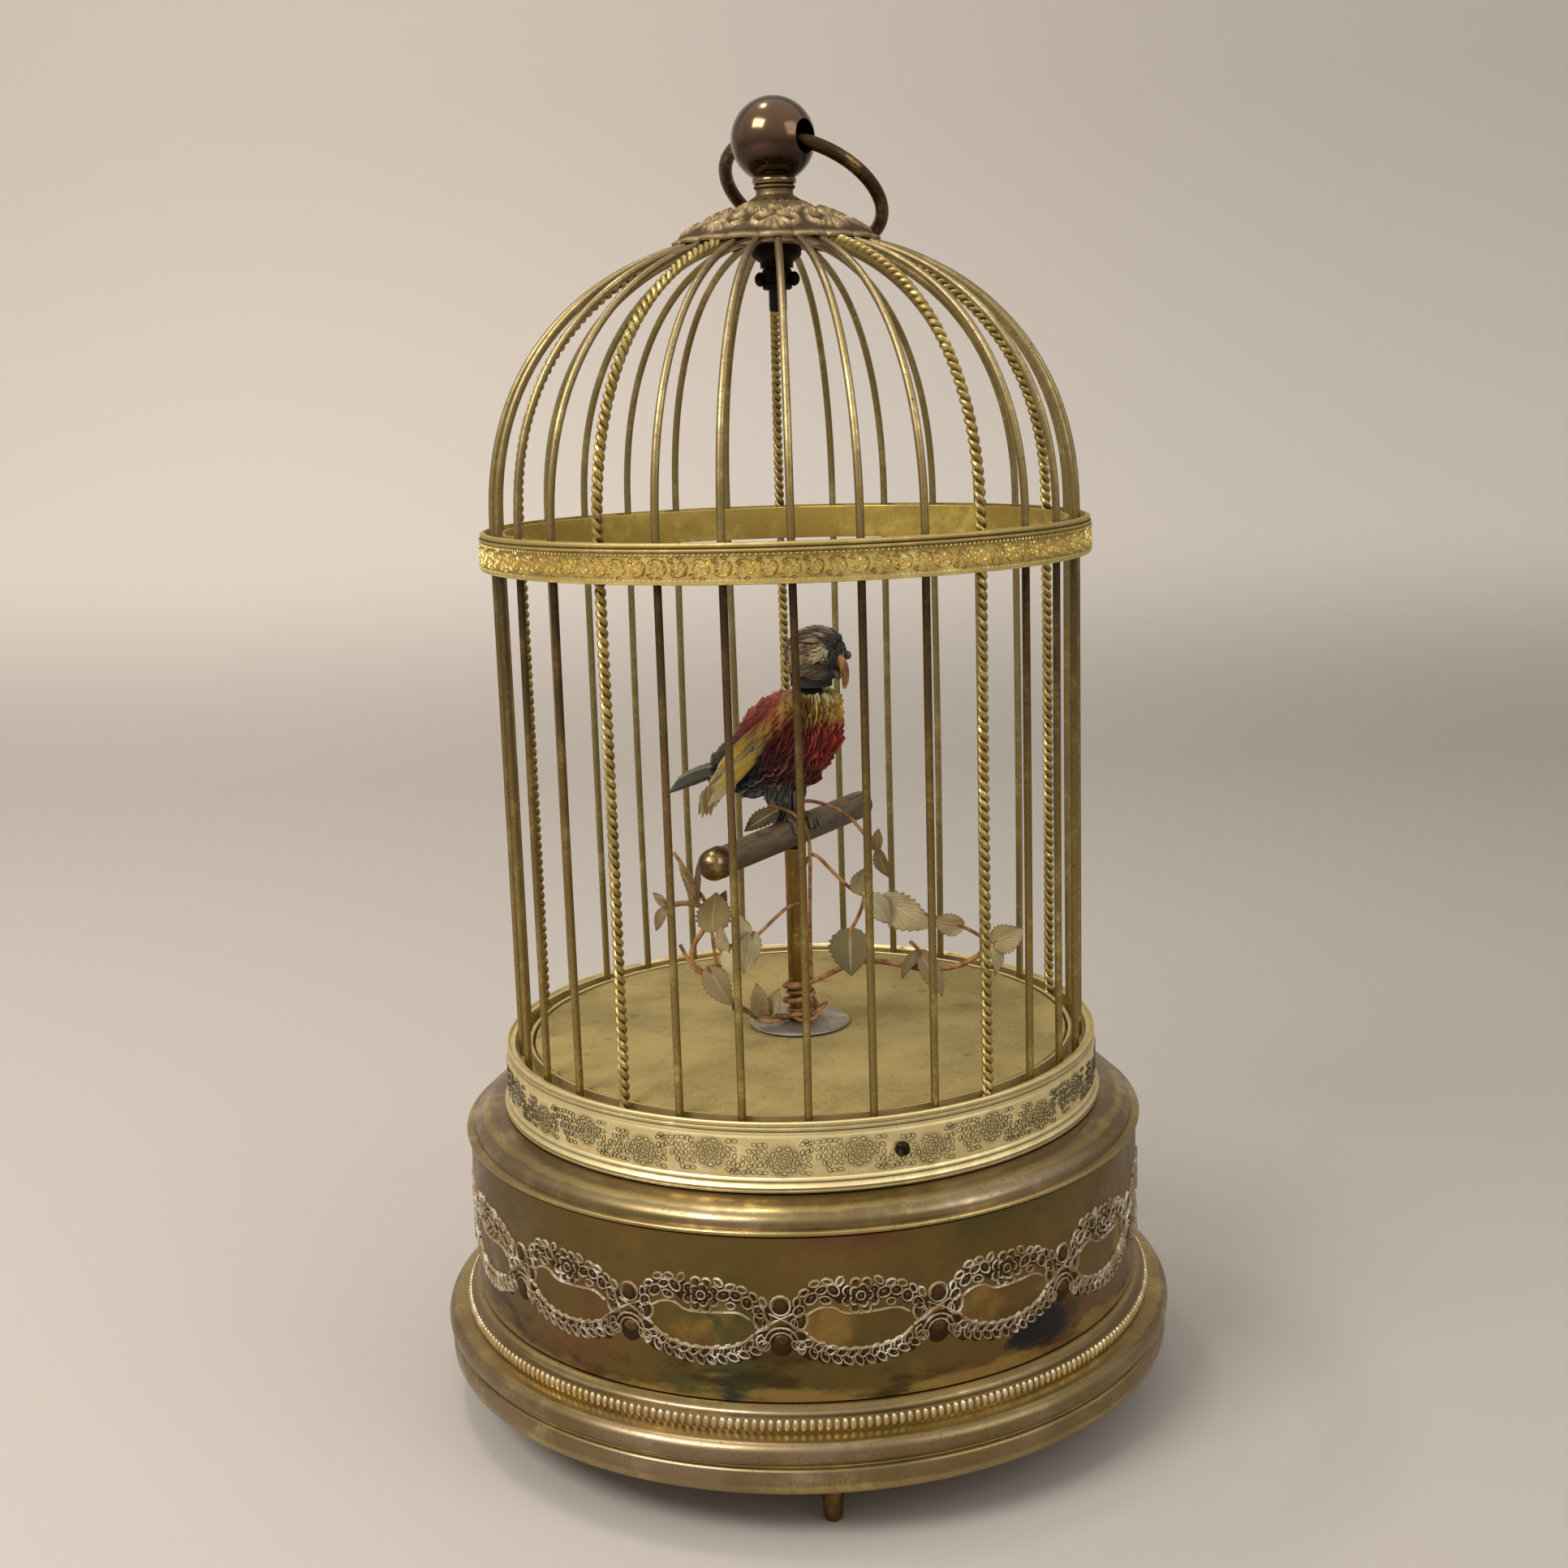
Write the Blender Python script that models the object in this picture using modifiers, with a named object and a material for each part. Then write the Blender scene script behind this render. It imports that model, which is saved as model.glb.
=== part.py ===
"""Singing bird automaton: a domed brass wire cage on a turned base, with one bird on a perch.

Every length below is in millimetres and every angle in degrees. Blender works in metres, so
the helpers scale by MM. The origin is on the table, on the axis of the cage: +Z is up and -Y
is the front. The clockwork that drives the bird stands inside the base.
"""
import math

import bmesh
import bpy
from mathutils import Matrix, Vector

MM = 0.001

# The base, from the table up.
FOOT_HEIGHT = 11.1
FOOT_CIRCLE = 70.0
FOOT_AZIMUTH = 3.0
PLINTH_RADIUS = 81.5
BOTTOM_PLATE_Z = 13.1
STOP_PIVOT_Y = 56.0
DRUM_RADIUS = 74.4
DRUM_WALL = 1.0
DRUM_BOTTOM = 27.4
DRUM_TOP = 61.3

# The cage, from the gallery up.
GALLERY_RADIUS = 65.5
SCREW_AZIMUTH = 17.0
SCREW_Z = 74.2
LEDGE_Z = 80.6
BAR_CIRCLE = 62.0
BAR_WIRE = 0.8
ROPE_WIRE = 1.2
BAR_FOOT_Z = 77.9
BARS_PER_SECTION = 5
SECTIONS = 5
BAR_STEP = 360.0 / (SECTIONS * (BARS_PER_SECTION + 1))
FRONT_BAR_AZIMUTH = 1.0
GIRDLE_BOTTOM = 185.0
GIRDLE_TOP = 192.8
DOME_SPRING_Z = 193.0
DOME_RISE = 59.0
DOME_POWER = 2.22
HUB_RADIUS = 9.6
HUB_TOP = 253.0

# The finial and its hanging ring.
BALL_Z = 271.2
BALL_RADIUS = 8.8
STEM_RADIUS = 1.9
STEM_BORE = 2.25
RING_RADIUS = 17.6
RING_WIRE = 1.45
RING_HOLE = 3.45
RING_AZIMUTH = -35.0
RING_DROOP = 36.0
RING_SHIFT = 0.8

# The floor of the cage, the perch and the bird.
FLOOR_PLATE_Z = 78.6
CLOTH_Z = 79.9
CLOTH_TOP = 80.6
POST_RADIUS = 2.1
POST_BORE = 1.2
PERCH_Z = 124.5
PERCH_RADIUS = 3.2
PERCH_NEAR = -31.5
PERCH_FAR = 33.0
BIRD_TURN = -29.2
NECK_X = 5.5
NECK_Z = 157.0
HEAD_BOTTOM = 158.3
HEAD_CENTRE = (7.3, 0.0, 164.2)
HEAD_SIZE = (7.8, 7.2, 6.6)
JAW_PIVOT = (12.0, 161.4)
TAIL_PIVOT = (-15.8, 137.4)

# The clockwork.
PLATE_Z = 18.3
UPPER_PLATE_Z = 46.1
PLATE_THICK = 1.6
GREAT_TEETH = 36
GREAT_MODULE = 1.2
PINION_TEETH = 8
CAM_WHEEL_TEETH = 24
SECOND_TEETH = 30
FLY_MODULE = 0.9
GREAT_RADIUS = GREAT_TEETH * GREAT_MODULE / 2
PINION_RADIUS = PINION_TEETH * GREAT_MODULE / 2
CAM_WHEEL_RADIUS = CAM_WHEEL_TEETH * GREAT_MODULE / 2
SECOND_RADIUS = SECOND_TEETH * FLY_MODULE / 2
FLY_PINION_RADIUS = PINION_TEETH * FLY_MODULE / 2
SECOND_DIRECTION = -35.0
FLY_DIRECTION = -80.0
WHISTLE_Y = 44.0
WHISTLE_Z = 36.0
BELLOWS_HINGE_X = 2.0
BELLOWS_TILT = 5.0
LEVER_PIVOT = (-20.0, 17.0)
CLICK_PIVOT = (14.6, 8.4)
RATCHET_RADIUS = 8.0
RATCHET_Z = 15.5

GAP = 0.3
TURNED_STEPS = 36


def polar(radius, degrees):
    """The point at a radius and an angle from +X, seen from above."""
    angle = math.radians(degrees)
    return radius * math.cos(angle), radius * math.sin(angle)


def azimuth(radius, degrees):
    """The point at a radius and an azimuth, counted from the front (-Y) towards +X."""
    return polar(radius, degrees - 90.0)


SECOND_XY = polar(GREAT_RADIUS + PINION_RADIUS, SECOND_DIRECTION)
FLY_OFFSET = polar(SECOND_RADIUS + FLY_PINION_RADIUS, FLY_DIRECTION)
FLY_XY = (SECOND_XY[0] + FLY_OFFSET[0], SECOND_XY[1] + FLY_OFFSET[1])
CAMS_XY = (-(GREAT_RADIUS + CAM_WHEEL_RADIUS), 0.0)
PILLARS = [(-34.0, -34.0), (46.0, -22.0), (46.0, 20.0), (-34.0, 24.0)]


def clear_scene():
    for old in list(bpy.data.objects):
        bpy.data.objects.remove(old, do_unlink=True)


def new_collection(name):
    collection = bpy.data.collections.new(name)
    bpy.context.scene.collection.children.link(collection)
    return collection


clear_scene()
PARTS = new_collection("singing_bird_automaton")
CUTTERS = new_collection("cutters")


def material(name, colour, metallic, roughness):
    made = bpy.data.materials.new(name)
    made.use_nodes = True
    shader = made.node_tree.nodes["Principled BSDF"]
    shader.inputs["Base Color"].default_value = (*colour, 1.0)
    shader.inputs["Metallic"].default_value = metallic
    shader.inputs["Roughness"].default_value = roughness
    return made


BRONZE = material("dark_bronze", (0.10, 0.055, 0.03), 1.0, 0.3)
COPPER = material("rose_copper", (0.42, 0.25, 0.15), 1.0, 0.4)
GOLD = material("gilt_brass", (0.62, 0.47, 0.20), 1.0, 0.35)
WIRE = material("old_wire", (0.42, 0.32, 0.14), 1.0, 0.4)
BROWN = material("brown_brass", (0.25, 0.17, 0.08), 1.0, 0.35)
STEEL = material("dark_steel", (0.12, 0.12, 0.13), 1.0, 0.4)
BRASS = material("clock_brass", (0.70, 0.55, 0.25), 1.0, 0.3)
CLOTH = material("olive_felt", (0.40, 0.34, 0.16), 0.0, 0.95)
WOOD = material("taupe_rod", (0.28, 0.24, 0.19), 0.0, 0.6)
VINE = material("copper_wire", (0.50, 0.24, 0.12), 0.6, 0.5)
RED = material("red_plumage", (0.28, 0.03, 0.02), 0.0, 0.9)
GREY = material("grey_plumage", (0.16, 0.13, 0.10), 0.0, 0.9)
HORN = material("beak_horn", (0.35, 0.20, 0.08), 0.0, 0.4)
LEATHER = material("kid_leather", (0.60, 0.52, 0.42), 0.0, 0.8)


def add(name, mesh, finish, location=(0, 0, 0), turn=0.0):
    """An object in the parts collection, placed in millimetres and turned about Z."""
    made = bpy.data.objects.new(name, mesh)
    made.location = Vector(location) * MM
    made.rotation_euler = (0, 0, math.radians(turn))
    mesh.materials.clear()
    mesh.materials.append(finish)
    PARTS.objects.link(made)
    return made


def to_cutters(made):
    for owner in list(made.users_collection):
        owner.objects.unlink(made)
    CUTTERS.objects.link(made)
    made.hide_render = True
    made.display_type = "WIRE"
    return made


def boolean(made, other, operation):
    """A live Boolean, whose operand goes to the cutters."""
    to_cutters(other)
    step = made.modifiers.new(operation.title(), "BOOLEAN")
    step.operation = operation
    step.object = other
    step.solver = "EXACT"
    return made


def cut(made, *others):
    for other in others:
        boolean(made, other, "DIFFERENCE")
    return made


def join(made, *others):
    for other in others:
        boolean(made, other, "UNION")
    return made


def smooth(mesh, degrees=35.0):
    mesh.shade_smooth()
    mesh.set_sharp_from_angle(angle=math.radians(degrees))


def arc(centre, radius, start, end, count):
    """Points of an arc in a profile, from one angle to another."""
    points = []
    for index in range(count):
        angle = math.radians(start + (end - start) * index / (count - 1))
        points.append((centre[0] + radius * math.cos(angle), centre[1] + radius * math.sin(angle)))
    return points


def turned(name, profile, finish, location=(0, 0, 0), steps=TURNED_STEPS):
    """A turned piece: the profile runs down the outer side, and closes unless it meets the axis."""
    mesh = bpy.data.meshes.new(name)
    points = [(radius * MM, 0.0, height * MM) for radius, height in profile]
    edges = [(index, index + 1) for index in range(len(points) - 1)]
    if profile[0][0] > 0.0:
        edges.append((len(points) - 1, 0))
    mesh.from_pydata(points, edges, [])
    made = add(name, mesh, finish, location)
    screw = made.modifiers.new("Turn", "SCREW")
    screw.axis = "Z"
    screw.steps = steps
    screw.render_steps = steps
    screw.use_merge_vertices = True
    screw.merge_threshold = 0.00001
    screw.use_smooth_shade = True
    return made


def shaft(name, radius, low, high, finish, place=(0, 0), sides=16):
    """An upright cylinder between two heights."""
    mesh = bpy.data.meshes.new(name)
    shape = bmesh.new()
    middle = Matrix.Translation((0, 0, (low + high) / 2 * MM))
    bmesh.ops.create_cone(
        shape, cap_ends=True, segments=sides, radius1=radius * MM, radius2=radius * MM,
        depth=(high - low) * MM, matrix=middle)
    shape.to_mesh(mesh)
    shape.free()
    smooth(mesh)
    return add(name, mesh, finish, (place[0], place[1], 0))


def bar_between(name, start, end, radius, finish, sides=12, end_radius=None):
    """A cylinder or, with an end radius, a cone from one point to another."""
    first = Vector(start)
    run = Vector(end) - first
    far_radius = radius if end_radius is None else end_radius
    mesh = bpy.data.meshes.new(name)
    shape = bmesh.new()
    bmesh.ops.create_cone(
        shape, cap_ends=True, segments=sides, radius1=radius * MM, radius2=far_radius * MM,
        depth=run.length * MM, matrix=Matrix.Translation((0, 0, run.length / 2 * MM)))
    shape.transform(run.to_track_quat("Z", "Y").to_matrix().to_4x4())
    shape.to_mesh(mesh)
    shape.free()
    smooth(mesh)
    return add(name, mesh, finish, start)


def block(name, low, high, finish, location=(0, 0, 0), turn=0.0):
    """A box between two corners."""
    mesh = bpy.data.meshes.new(name)
    shape = bmesh.new()
    size = [(b - a) * MM for a, b in zip(low, high)]
    middle = [(a + b) / 2 * MM for a, b in zip(low, high)]
    bmesh.ops.create_cube(shape, size=1.0, matrix=Matrix.Translation(middle) @ Matrix.Diagonal((*size, 1)))
    shape.to_mesh(mesh)
    shape.free()
    return add(name, mesh, finish, location, turn)


def ball(name, size, finish, location, turn=0.0, segments=16, rings=10):
    """An ellipsoid with three half-axes."""
    mesh = bpy.data.meshes.new(name)
    shape = bmesh.new()
    scale = Matrix.Diagonal((size[0] * MM, size[1] * MM, size[2] * MM, 1))
    bmesh.ops.create_uvsphere(shape, u_segments=segments, v_segments=rings, radius=1.0, matrix=scale)
    shape.to_mesh(mesh)
    shape.free()
    smooth(mesh, 60.0)
    return add(name, mesh, finish, location, turn)


def curve_mesh(curve_object):
    """The curve's evaluated mesh, with its caps welded; the curve itself goes."""
    bpy.context.view_layer.update()
    graph = bpy.context.evaluated_depsgraph_get()
    mesh = bpy.data.meshes.new_from_object(curve_object.evaluated_get(graph))
    shape = bmesh.new()
    shape.from_mesh(mesh)
    shape.transform(curve_object.matrix_world)
    bmesh.ops.remove_doubles(shape, verts=shape.verts, dist=0.000001)
    shape.to_mesh(mesh)
    shape.free()
    bpy.data.objects.remove(curve_object, do_unlink=True)
    return mesh


def tube(name, points, radius, finish, resolution=1, radii=None):
    """A round wire through points, as a mesh; radii scales it point by point."""
    curve = bpy.data.curves.new(name, "CURVE")
    curve.dimensions = "3D"
    curve.bevel_depth = radius * MM
    curve.bevel_resolution = resolution
    curve.use_fill_caps = True
    curve.render_resolution_u = 0
    spline = curve.splines.new("POLY")
    spline.points.add(len(points) - 1)
    for index, point in enumerate(points):
        spline.points[index].co = (*(Vector(point) * MM), 1.0)
        spline.points[index].radius = 1.0 if radii is None else radii[index]
    holder = bpy.data.objects.new(name, curve)
    PARTS.objects.link(holder)
    mesh = curve_mesh(holder)
    smooth(mesh)
    return add(name, mesh, finish)


def flat(name, outlines, low, high, finish, location=(0, 0, 0), turn=0.0):
    """A flat piece between two heights: the first outline, less the others."""
    curve = bpy.data.curves.new(name, "CURVE")
    curve.dimensions = "2D"
    curve.fill_mode = "BOTH"
    curve.extrude = (high - low) / 2 * MM
    curve.render_resolution_u = 0
    for outline in outlines:
        spline = curve.splines.new("POLY")
        spline.points.add(len(outline) - 1)
        spline.use_cyclic_u = True
        for index, point in enumerate(outline):
            spline.points[index].co = (point[0] * MM, point[1] * MM, 0.0, 1.0)
    holder = bpy.data.objects.new(name, curve)
    holder.location = (0, 0, (low + high) / 2 * MM)
    PARTS.objects.link(holder)
    mesh = curve_mesh(holder)
    return add(name, mesh, finish, location, turn)


def circle(radius, sides=16, centre=(0.0, 0.0)):
    points = []
    for index in range(sides):
        x, y = polar(radius, 360.0 * (index + 0.5) / sides)
        points.append((centre[0] + x, centre[1] + y))
    return points


def gear(teeth, module, phase=0.0):
    """A toothed outline; phase turns it, as a share of one tooth."""
    pitch_radius = teeth * module / 2
    outer = pitch_radius + 0.62 * module
    root = pitch_radius - 0.95 * module
    points = []
    for index in range(teeth):
        middle = 360.0 * (index + phase) / teeth
        for share, radius in ((-0.24, root), (-0.11, outer), (0.11, outer), (0.24, root)):
            points.append(polar(radius, middle + share * 360.0 / teeth))
    return points


def loft(name, sections, finish, location=(0, 0, 0), turn=0.0, levels=0):
    """A closed skin over rings of equal count, for a body that no turned shape makes."""
    mesh = bpy.data.meshes.new(name)
    shape = bmesh.new()
    rings = []
    for section in sections:
        rings.append([shape.verts.new(Vector(point) * MM) for point in section])
    for below, above in zip(rings, rings[1:]):
        count = len(below)
        for index in range(count):
            after = (index + 1) % count
            shape.faces.new((below[index], below[after], above[after], above[index]))
    shape.faces.new(list(reversed(rings[0])))
    shape.faces.new(rings[-1])
    bmesh.ops.recalc_face_normals(shape, faces=shape.faces)
    shape.to_mesh(mesh)
    shape.free()
    smooth(mesh, 60.0)
    made = add(name, mesh, finish, location, turn)
    if levels:
        skin = made.modifiers.new("Soften", "SUBSURF")
        skin.levels = levels
        skin.render_levels = levels
    return made


def dome_point(share):
    """The bar's path over the dome, from the girdle (0) to the hub (1)."""
    end = math.acos(((HUB_RADIUS + 0.4) / BAR_CIRCLE) ** (DOME_POWER / 2))
    angle = end * share
    radius = BAR_CIRCLE * math.cos(angle) ** (2 / DOME_POWER)
    height = DOME_SPRING_Z + DOME_RISE * math.sin(angle) ** (2 / DOME_POWER)
    return radius, height


def bar_path(direction, arches=6):
    """A bar's points: straight up from the gallery, then over the dome."""
    points = [(*azimuth(BAR_CIRCLE, direction), BAR_FOOT_Z)]
    for index in range(arches + 1):
        radius, height = dome_point(index / arches)
        points.append((*azimuth(radius, direction), height))
    return points


# The finial: a ball on a threaded stem that holds the whole cage top together.

def build_finial():
    profile = [(0.0, BALL_Z + BALL_RADIUS)]
    profile += arc((0.0, BALL_Z), BALL_RADIUS, 72.0, -62.0, 9)
    profile += [(4.4, 263.2), (4.4, 262.2), (STEM_RADIUS, 262.0), (STEM_RADIUS, 236.3), (0.0, 236.3)]
    made = turned("finial_ball", profile, BRONZE, steps=20)
    along = Vector((*polar(1.0, RING_AZIMUTH), 0.0)) * (BALL_RADIUS + 2.0)
    middle = Vector((0, 0, BALL_Z))
    cut(made, bar_between("ring_hole", middle - along, middle + along, RING_HOLE, BRONZE, 14))

    neck = [(4.3, 261.7), (4.3, 261.0), (3.9, 260.0), (4.3, 259.3), (5.1, 258.6), (5.1, 257.8),
            (4.8, 257.3), (STEM_BORE, 257.3), (STEM_BORE, 261.7)]
    turned("finial_neck", neck, GOLD, steps=16)


def build_hanging_ring():
    """The ring lies back to the right, through the hole in the ball."""
    along = Vector((*polar(1.0, RING_AZIMUTH), 0.0))
    back = Vector((*polar(1.0, RING_AZIMUTH + 90.0), 0.0))
    droop = math.radians(RING_DROOP)
    down = back * math.cos(droop) - Vector((0, 0, math.sin(droop)))
    centre = down * (RING_RADIUS - 1.2) - along * RING_SHIFT
    bpy.ops.mesh.primitive_torus_add(
        major_segments=28, minor_segments=8, major_radius=RING_RADIUS * MM, minor_radius=RING_WIRE * MM)
    torus = bpy.context.object
    mesh = torus.data
    facing = Matrix((along, down, along.cross(down))).transposed().to_4x4()
    mesh.transform(Matrix.Translation(centre * MM) @ facing)
    bpy.data.objects.remove(torus, do_unlink=True)
    smooth(mesh, 60.0)
    add("hanging_ring", mesh, BRONZE, (0, 0, BALL_Z))


def build_cage_top():
    rose = [(9.0, 256.5), (12.5, 255.6), (16.5, 254.2), (22.0, 251.5), (21.9, 250.9), (16.3, 253.3),
            (9.0, 255.6), (STEM_BORE, 256.0), (STEM_BORE, 257.0)]
    turned("cap_rose", rose, COPPER)

    hub = [(HUB_RADIUS, HUB_TOP), (HUB_RADIUS, 250.2), (5.2, 249.8), (5.2, 247.6), (4.2, 246.9),
           (STEM_BORE, 246.9), (STEM_BORE, HUB_TOP)]
    turned("dome_hub", hub, BRONZE, steps=24)

    nut = [(3.1, 245.2), (3.1, 241.6), (2.7, 240.9), (STEM_BORE, 240.9), (STEM_BORE, 245.2)]
    made = turned("finial_nut", nut, BRONZE, steps=14)
    reach = 4.6
    for side in (-1, 1):
        inner = (side * 2.8, 0.0, 243.0)
        join(made, bar_between("nut_ear", inner, (side * reach, 0.0, 243.0), 1.3, BRONZE, 10))


# The wirework: rope bars between sections of five plain bars, soldered to strips in the girdle.

def build_rope_bars():
    for index in range(SECTIONS):
        direction = FRONT_BAR_AZIMUTH + 36.0 + 72.0 * index
        tube(f"rope_bar_{index + 1}", bar_path(direction), ROPE_WIRE, GOLD, resolution=2)


def build_bar_sections():
    strip_low, strip_high = GIRDLE_BOTTOM + 1.0, GIRDLE_TOP - 1.6
    inner, outer = BAR_CIRCLE + 0.2, BAR_CIRCLE + 1.5
    half = 36.0 - math.degrees((ROPE_WIRE + 0.6) / BAR_CIRCLE)
    count = 9
    outline = [azimuth(outer, -half + 2 * half * index / count) for index in range(count + 1)]
    outline += [azimuth(inner, half - 2 * half * index / count) for index in range(count + 1)]
    strip = flat("bar_section_strip", [outline], strip_low, strip_high, WIRE)
    for index in range(BARS_PER_SECTION):
        direction = (index - (BARS_PER_SECTION - 1) / 2) * BAR_STEP
        join(strip, tube("plain_bar", bar_path(direction), BAR_WIRE, WIRE))
    bpy.context.view_layer.update()
    graph = bpy.context.evaluated_depsgraph_get()
    shared = bpy.data.meshes.new_from_object(strip.evaluated_get(graph))
    bars = [step.object for step in strip.modifiers]
    bpy.data.objects.remove(strip, do_unlink=True)
    for used in bars:
        bpy.data.objects.remove(used, do_unlink=True)
    smooth(shared)
    for index in range(SECTIONS):
        add(f"bar_section_{index + 1}", shared, WIRE, turn=FRONT_BAR_AZIMUTH + 72.0 * index)


def build_girdle():
    band = [(64.3, GIRDLE_TOP), (65.0, 192.1), (64.5, 191.3), (65.2, 190.9), (65.2, 185.5),
            (64.9, GIRDLE_BOTTOM), (63.9, GIRDLE_BOTTOM), (63.9, GIRDLE_TOP)]
    turned("girdle_band", band, GOLD)
    hoop = [(60.5, GIRDLE_TOP - 0.3), (60.5, GIRDLE_BOTTOM), (59.7, GIRDLE_BOTTOM), (59.7, GIRDLE_TOP - 0.3)]
    turned("girdle_hoop", hoop, GOLD)


def radial_cutter(name, radius, inner, outer, direction):
    start = (*azimuth(inner, direction), SCREW_Z)
    end = (*azimuth(outer, direction), SCREW_Z)
    return bar_between(name, start, end, radius, GOLD, 10)


def build_gallery():
    groove_inner = BAR_CIRCLE - ROPE_WIRE - 0.4
    groove_outer = BAR_CIRCLE + ROPE_WIRE + 0.4
    groove_floor = BAR_FOOT_Z - GAP
    profile = [(64.6, LEDGE_Z), (65.4, 81.1), (65.4, 79.5), (64.9, 79.0), (GALLERY_RADIUS, 78.4),
               (GALLERY_RADIUS, 68.3), (66.5, 67.6), (66.4, 67.1), (64.1, 67.1), (64.1, 75.9), (57.8, 75.9),
               (57.8, FLOOR_PLATE_Z - GAP), (59.7, FLOOR_PLATE_Z - GAP), (59.7, LEDGE_Z), (groove_inner, LEDGE_Z),
               (groove_inner, groove_floor), (groove_outer, groove_floor), (groove_outer, LEDGE_Z)]
    made = turned("gallery_ring", profile, GOLD)
    for index in range(3):
        direction = SCREW_AZIMUTH + 120.0 * index
        cut(made, radial_cutter("gallery_hole", 1.1, 63.9 - 0.5, 67.5, direction))
        head = radial_cutter(f"gallery_screw_{index + 1}", 1.5, GALLERY_RADIUS + 0.35, 66.7, direction)
        head.data.materials[0] = STEEL
        join(head, radial_cutter("screw_shank", 0.75, 61.4, 66.2, direction))


# The cage floor, with the cloth on it and the perch standing through it.

def build_floor():
    edge = 59.3
    plate = [circle(edge, TURNED_STEPS), circle(POST_RADIUS + 0.4, 14)]
    flat("floor_plate", plate, FLOOR_PLATE_Z, FLOOR_PLATE_Z + 1.0, BRASS)
    felt = [circle(edge - 0.1, TURNED_STEPS), circle(POST_RADIUS + 0.4, 14)]
    flat("floor_cloth", felt, CLOTH_Z, CLOTH_TOP, CLOTH)
    disc = [circle(11.2, 24), circle(POST_RADIUS + 0.4, 14)]
    flat("post_escutcheon", disc, CLOTH_TOP + GAP, CLOTH_TOP + 1.1, STEEL)


def perch_point(along, height, side=0.0):
    """A point in the bird's own directions: side is forward, along is the perch's way back."""
    turn = math.radians(BIRD_TURN)
    x = side * math.cos(turn) - along * math.sin(turn)
    y = side * math.sin(turn) + along * math.cos(turn)
    return x, y, height


def build_perch():
    top = PERCH_Z - PERCH_RADIUS - GAP
    post = [(POST_RADIUS, top), (POST_RADIUS, 71.0), (POST_BORE, 71.0), (POST_BORE, top)]
    turned("perch_post", post, BRASS, steps=16)
    rod = bar_between("perch_rod", perch_point(PERCH_NEAR, PERCH_Z), perch_point(PERCH_FAR, PERCH_Z),
                      PERCH_RADIUS, WOOD, 16)
    cut(rod, shaft("perch_bore", POST_BORE, PERCH_Z - 6.0, PERCH_Z + 6.0, WOOD, sides=12))
    knob_radius = 3.4
    flat = 2.4
    neck = PERCH_NEAR - GAP
    middle = perch_point(neck - flat, PERCH_Z)
    knob = ball("perch_knob", (knob_radius,) * 3, GOLD, middle, BIRD_TURN, 12, 8)
    cut(knob, block("knob_flat", (-8.0, flat, -8.0), (8.0, 12.0, 8.0), GOLD, middle, BIRD_TURN))


VINE_WIRE = 0.6
VINE_WRAPS = 2
VINE_RIGHT = [
    (40.5, 1.0, 94.7), (35.9, 0.0, 92.4), (28.7, -1.0, 92.2), (23.2, -1.5, 93.6), (16.0, -2.0, 95.3),
    (10.5, -2.5, 94.2), (5.6, -3.2, 92.0)]
VINE_LEFT = [
    (-6.2, -4.2, 83.4), (-10.5, -6.0, 84.6), (-14.9, -8.0, 88.2), (-17.5, -8.5, 92.6), (-20.7, -8.5, 95.2),
    (-23.6, -8.5, 97.4), (-23.0, -8.5, 101.6), (-19.8, -8.0, 105.6), (-19.3, -8.0, 109.4),
    (-23.0, -8.0, 111.2), (-28.3, -8.0, 110.6)]


def build_vine():
    """The wire comes in from the right, winds round the foot of the post and leaves to the left."""
    high, low, radius = 90.4, 83.4, POST_RADIUS + VINE_WIRE + 0.7
    per_turn = 9
    first = -60.0
    sweep = 360.0 * VINE_WRAPS + 30.0
    count = VINE_WRAPS * per_turn
    wraps = []
    for index in range(count + 1):
        share = index / count
        wraps.append((*polar(radius, first - sweep * share), high + (low - high) * share))
    tube("vine_wire", VINE_RIGHT + wraps + VINE_LEFT, VINE_WIRE, VINE)


# The bird, in its own directions: +X is forward along its heading and +Y is the perch's way back.

def tilted_ring(centre, tilt, half_length, half_width, count=12):
    """A ring square to the bird's backbone: tilt leans it from level towards upright."""
    lean = math.radians(tilt)
    points = []
    for index in range(count):
        angle = 2 * math.pi * index / count
        reach = half_length * math.cos(angle)
        points.append((centre[0] + reach * math.cos(lean), half_width * math.sin(angle),
                       centre[1] - reach * math.sin(lean)))
    return points


BODY_RINGS = [
    ((4.8, NECK_Z), 0.0, 6.4, 6.0), ((4.6, 153.5), 10.0, 8.3, 7.8), ((3.2, 149.2), 24.0, 10.0, 9.2),
    ((0.0, 144.6), 42.0, 9.8, 9.4), ((-5.4, 141.3), 54.0, 8.2, 8.2), ((-10.8, 139.2), 62.0, 6.0, 6.2),
    ((-15.6, 137.8), 66.0, 3.4, 4.2)]


def build_bird_body():
    rings = [tilted_ring(*ring) for ring in reversed(BODY_RINGS)]
    body = loft("bird_body", rings, RED, turn=BIRD_TURN, levels=1)
    bore = shaft("spindle_bore", 1.0, 146.0, NECK_Z + 4.0, RED, perch_point(0.0, 0.0, NECK_X)[:2], 10)
    rod_bore = shaft("rod_bore", POST_BORE, 126.0, 143.0, RED, sides=10)
    cut(body, bore, rod_bore)


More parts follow.
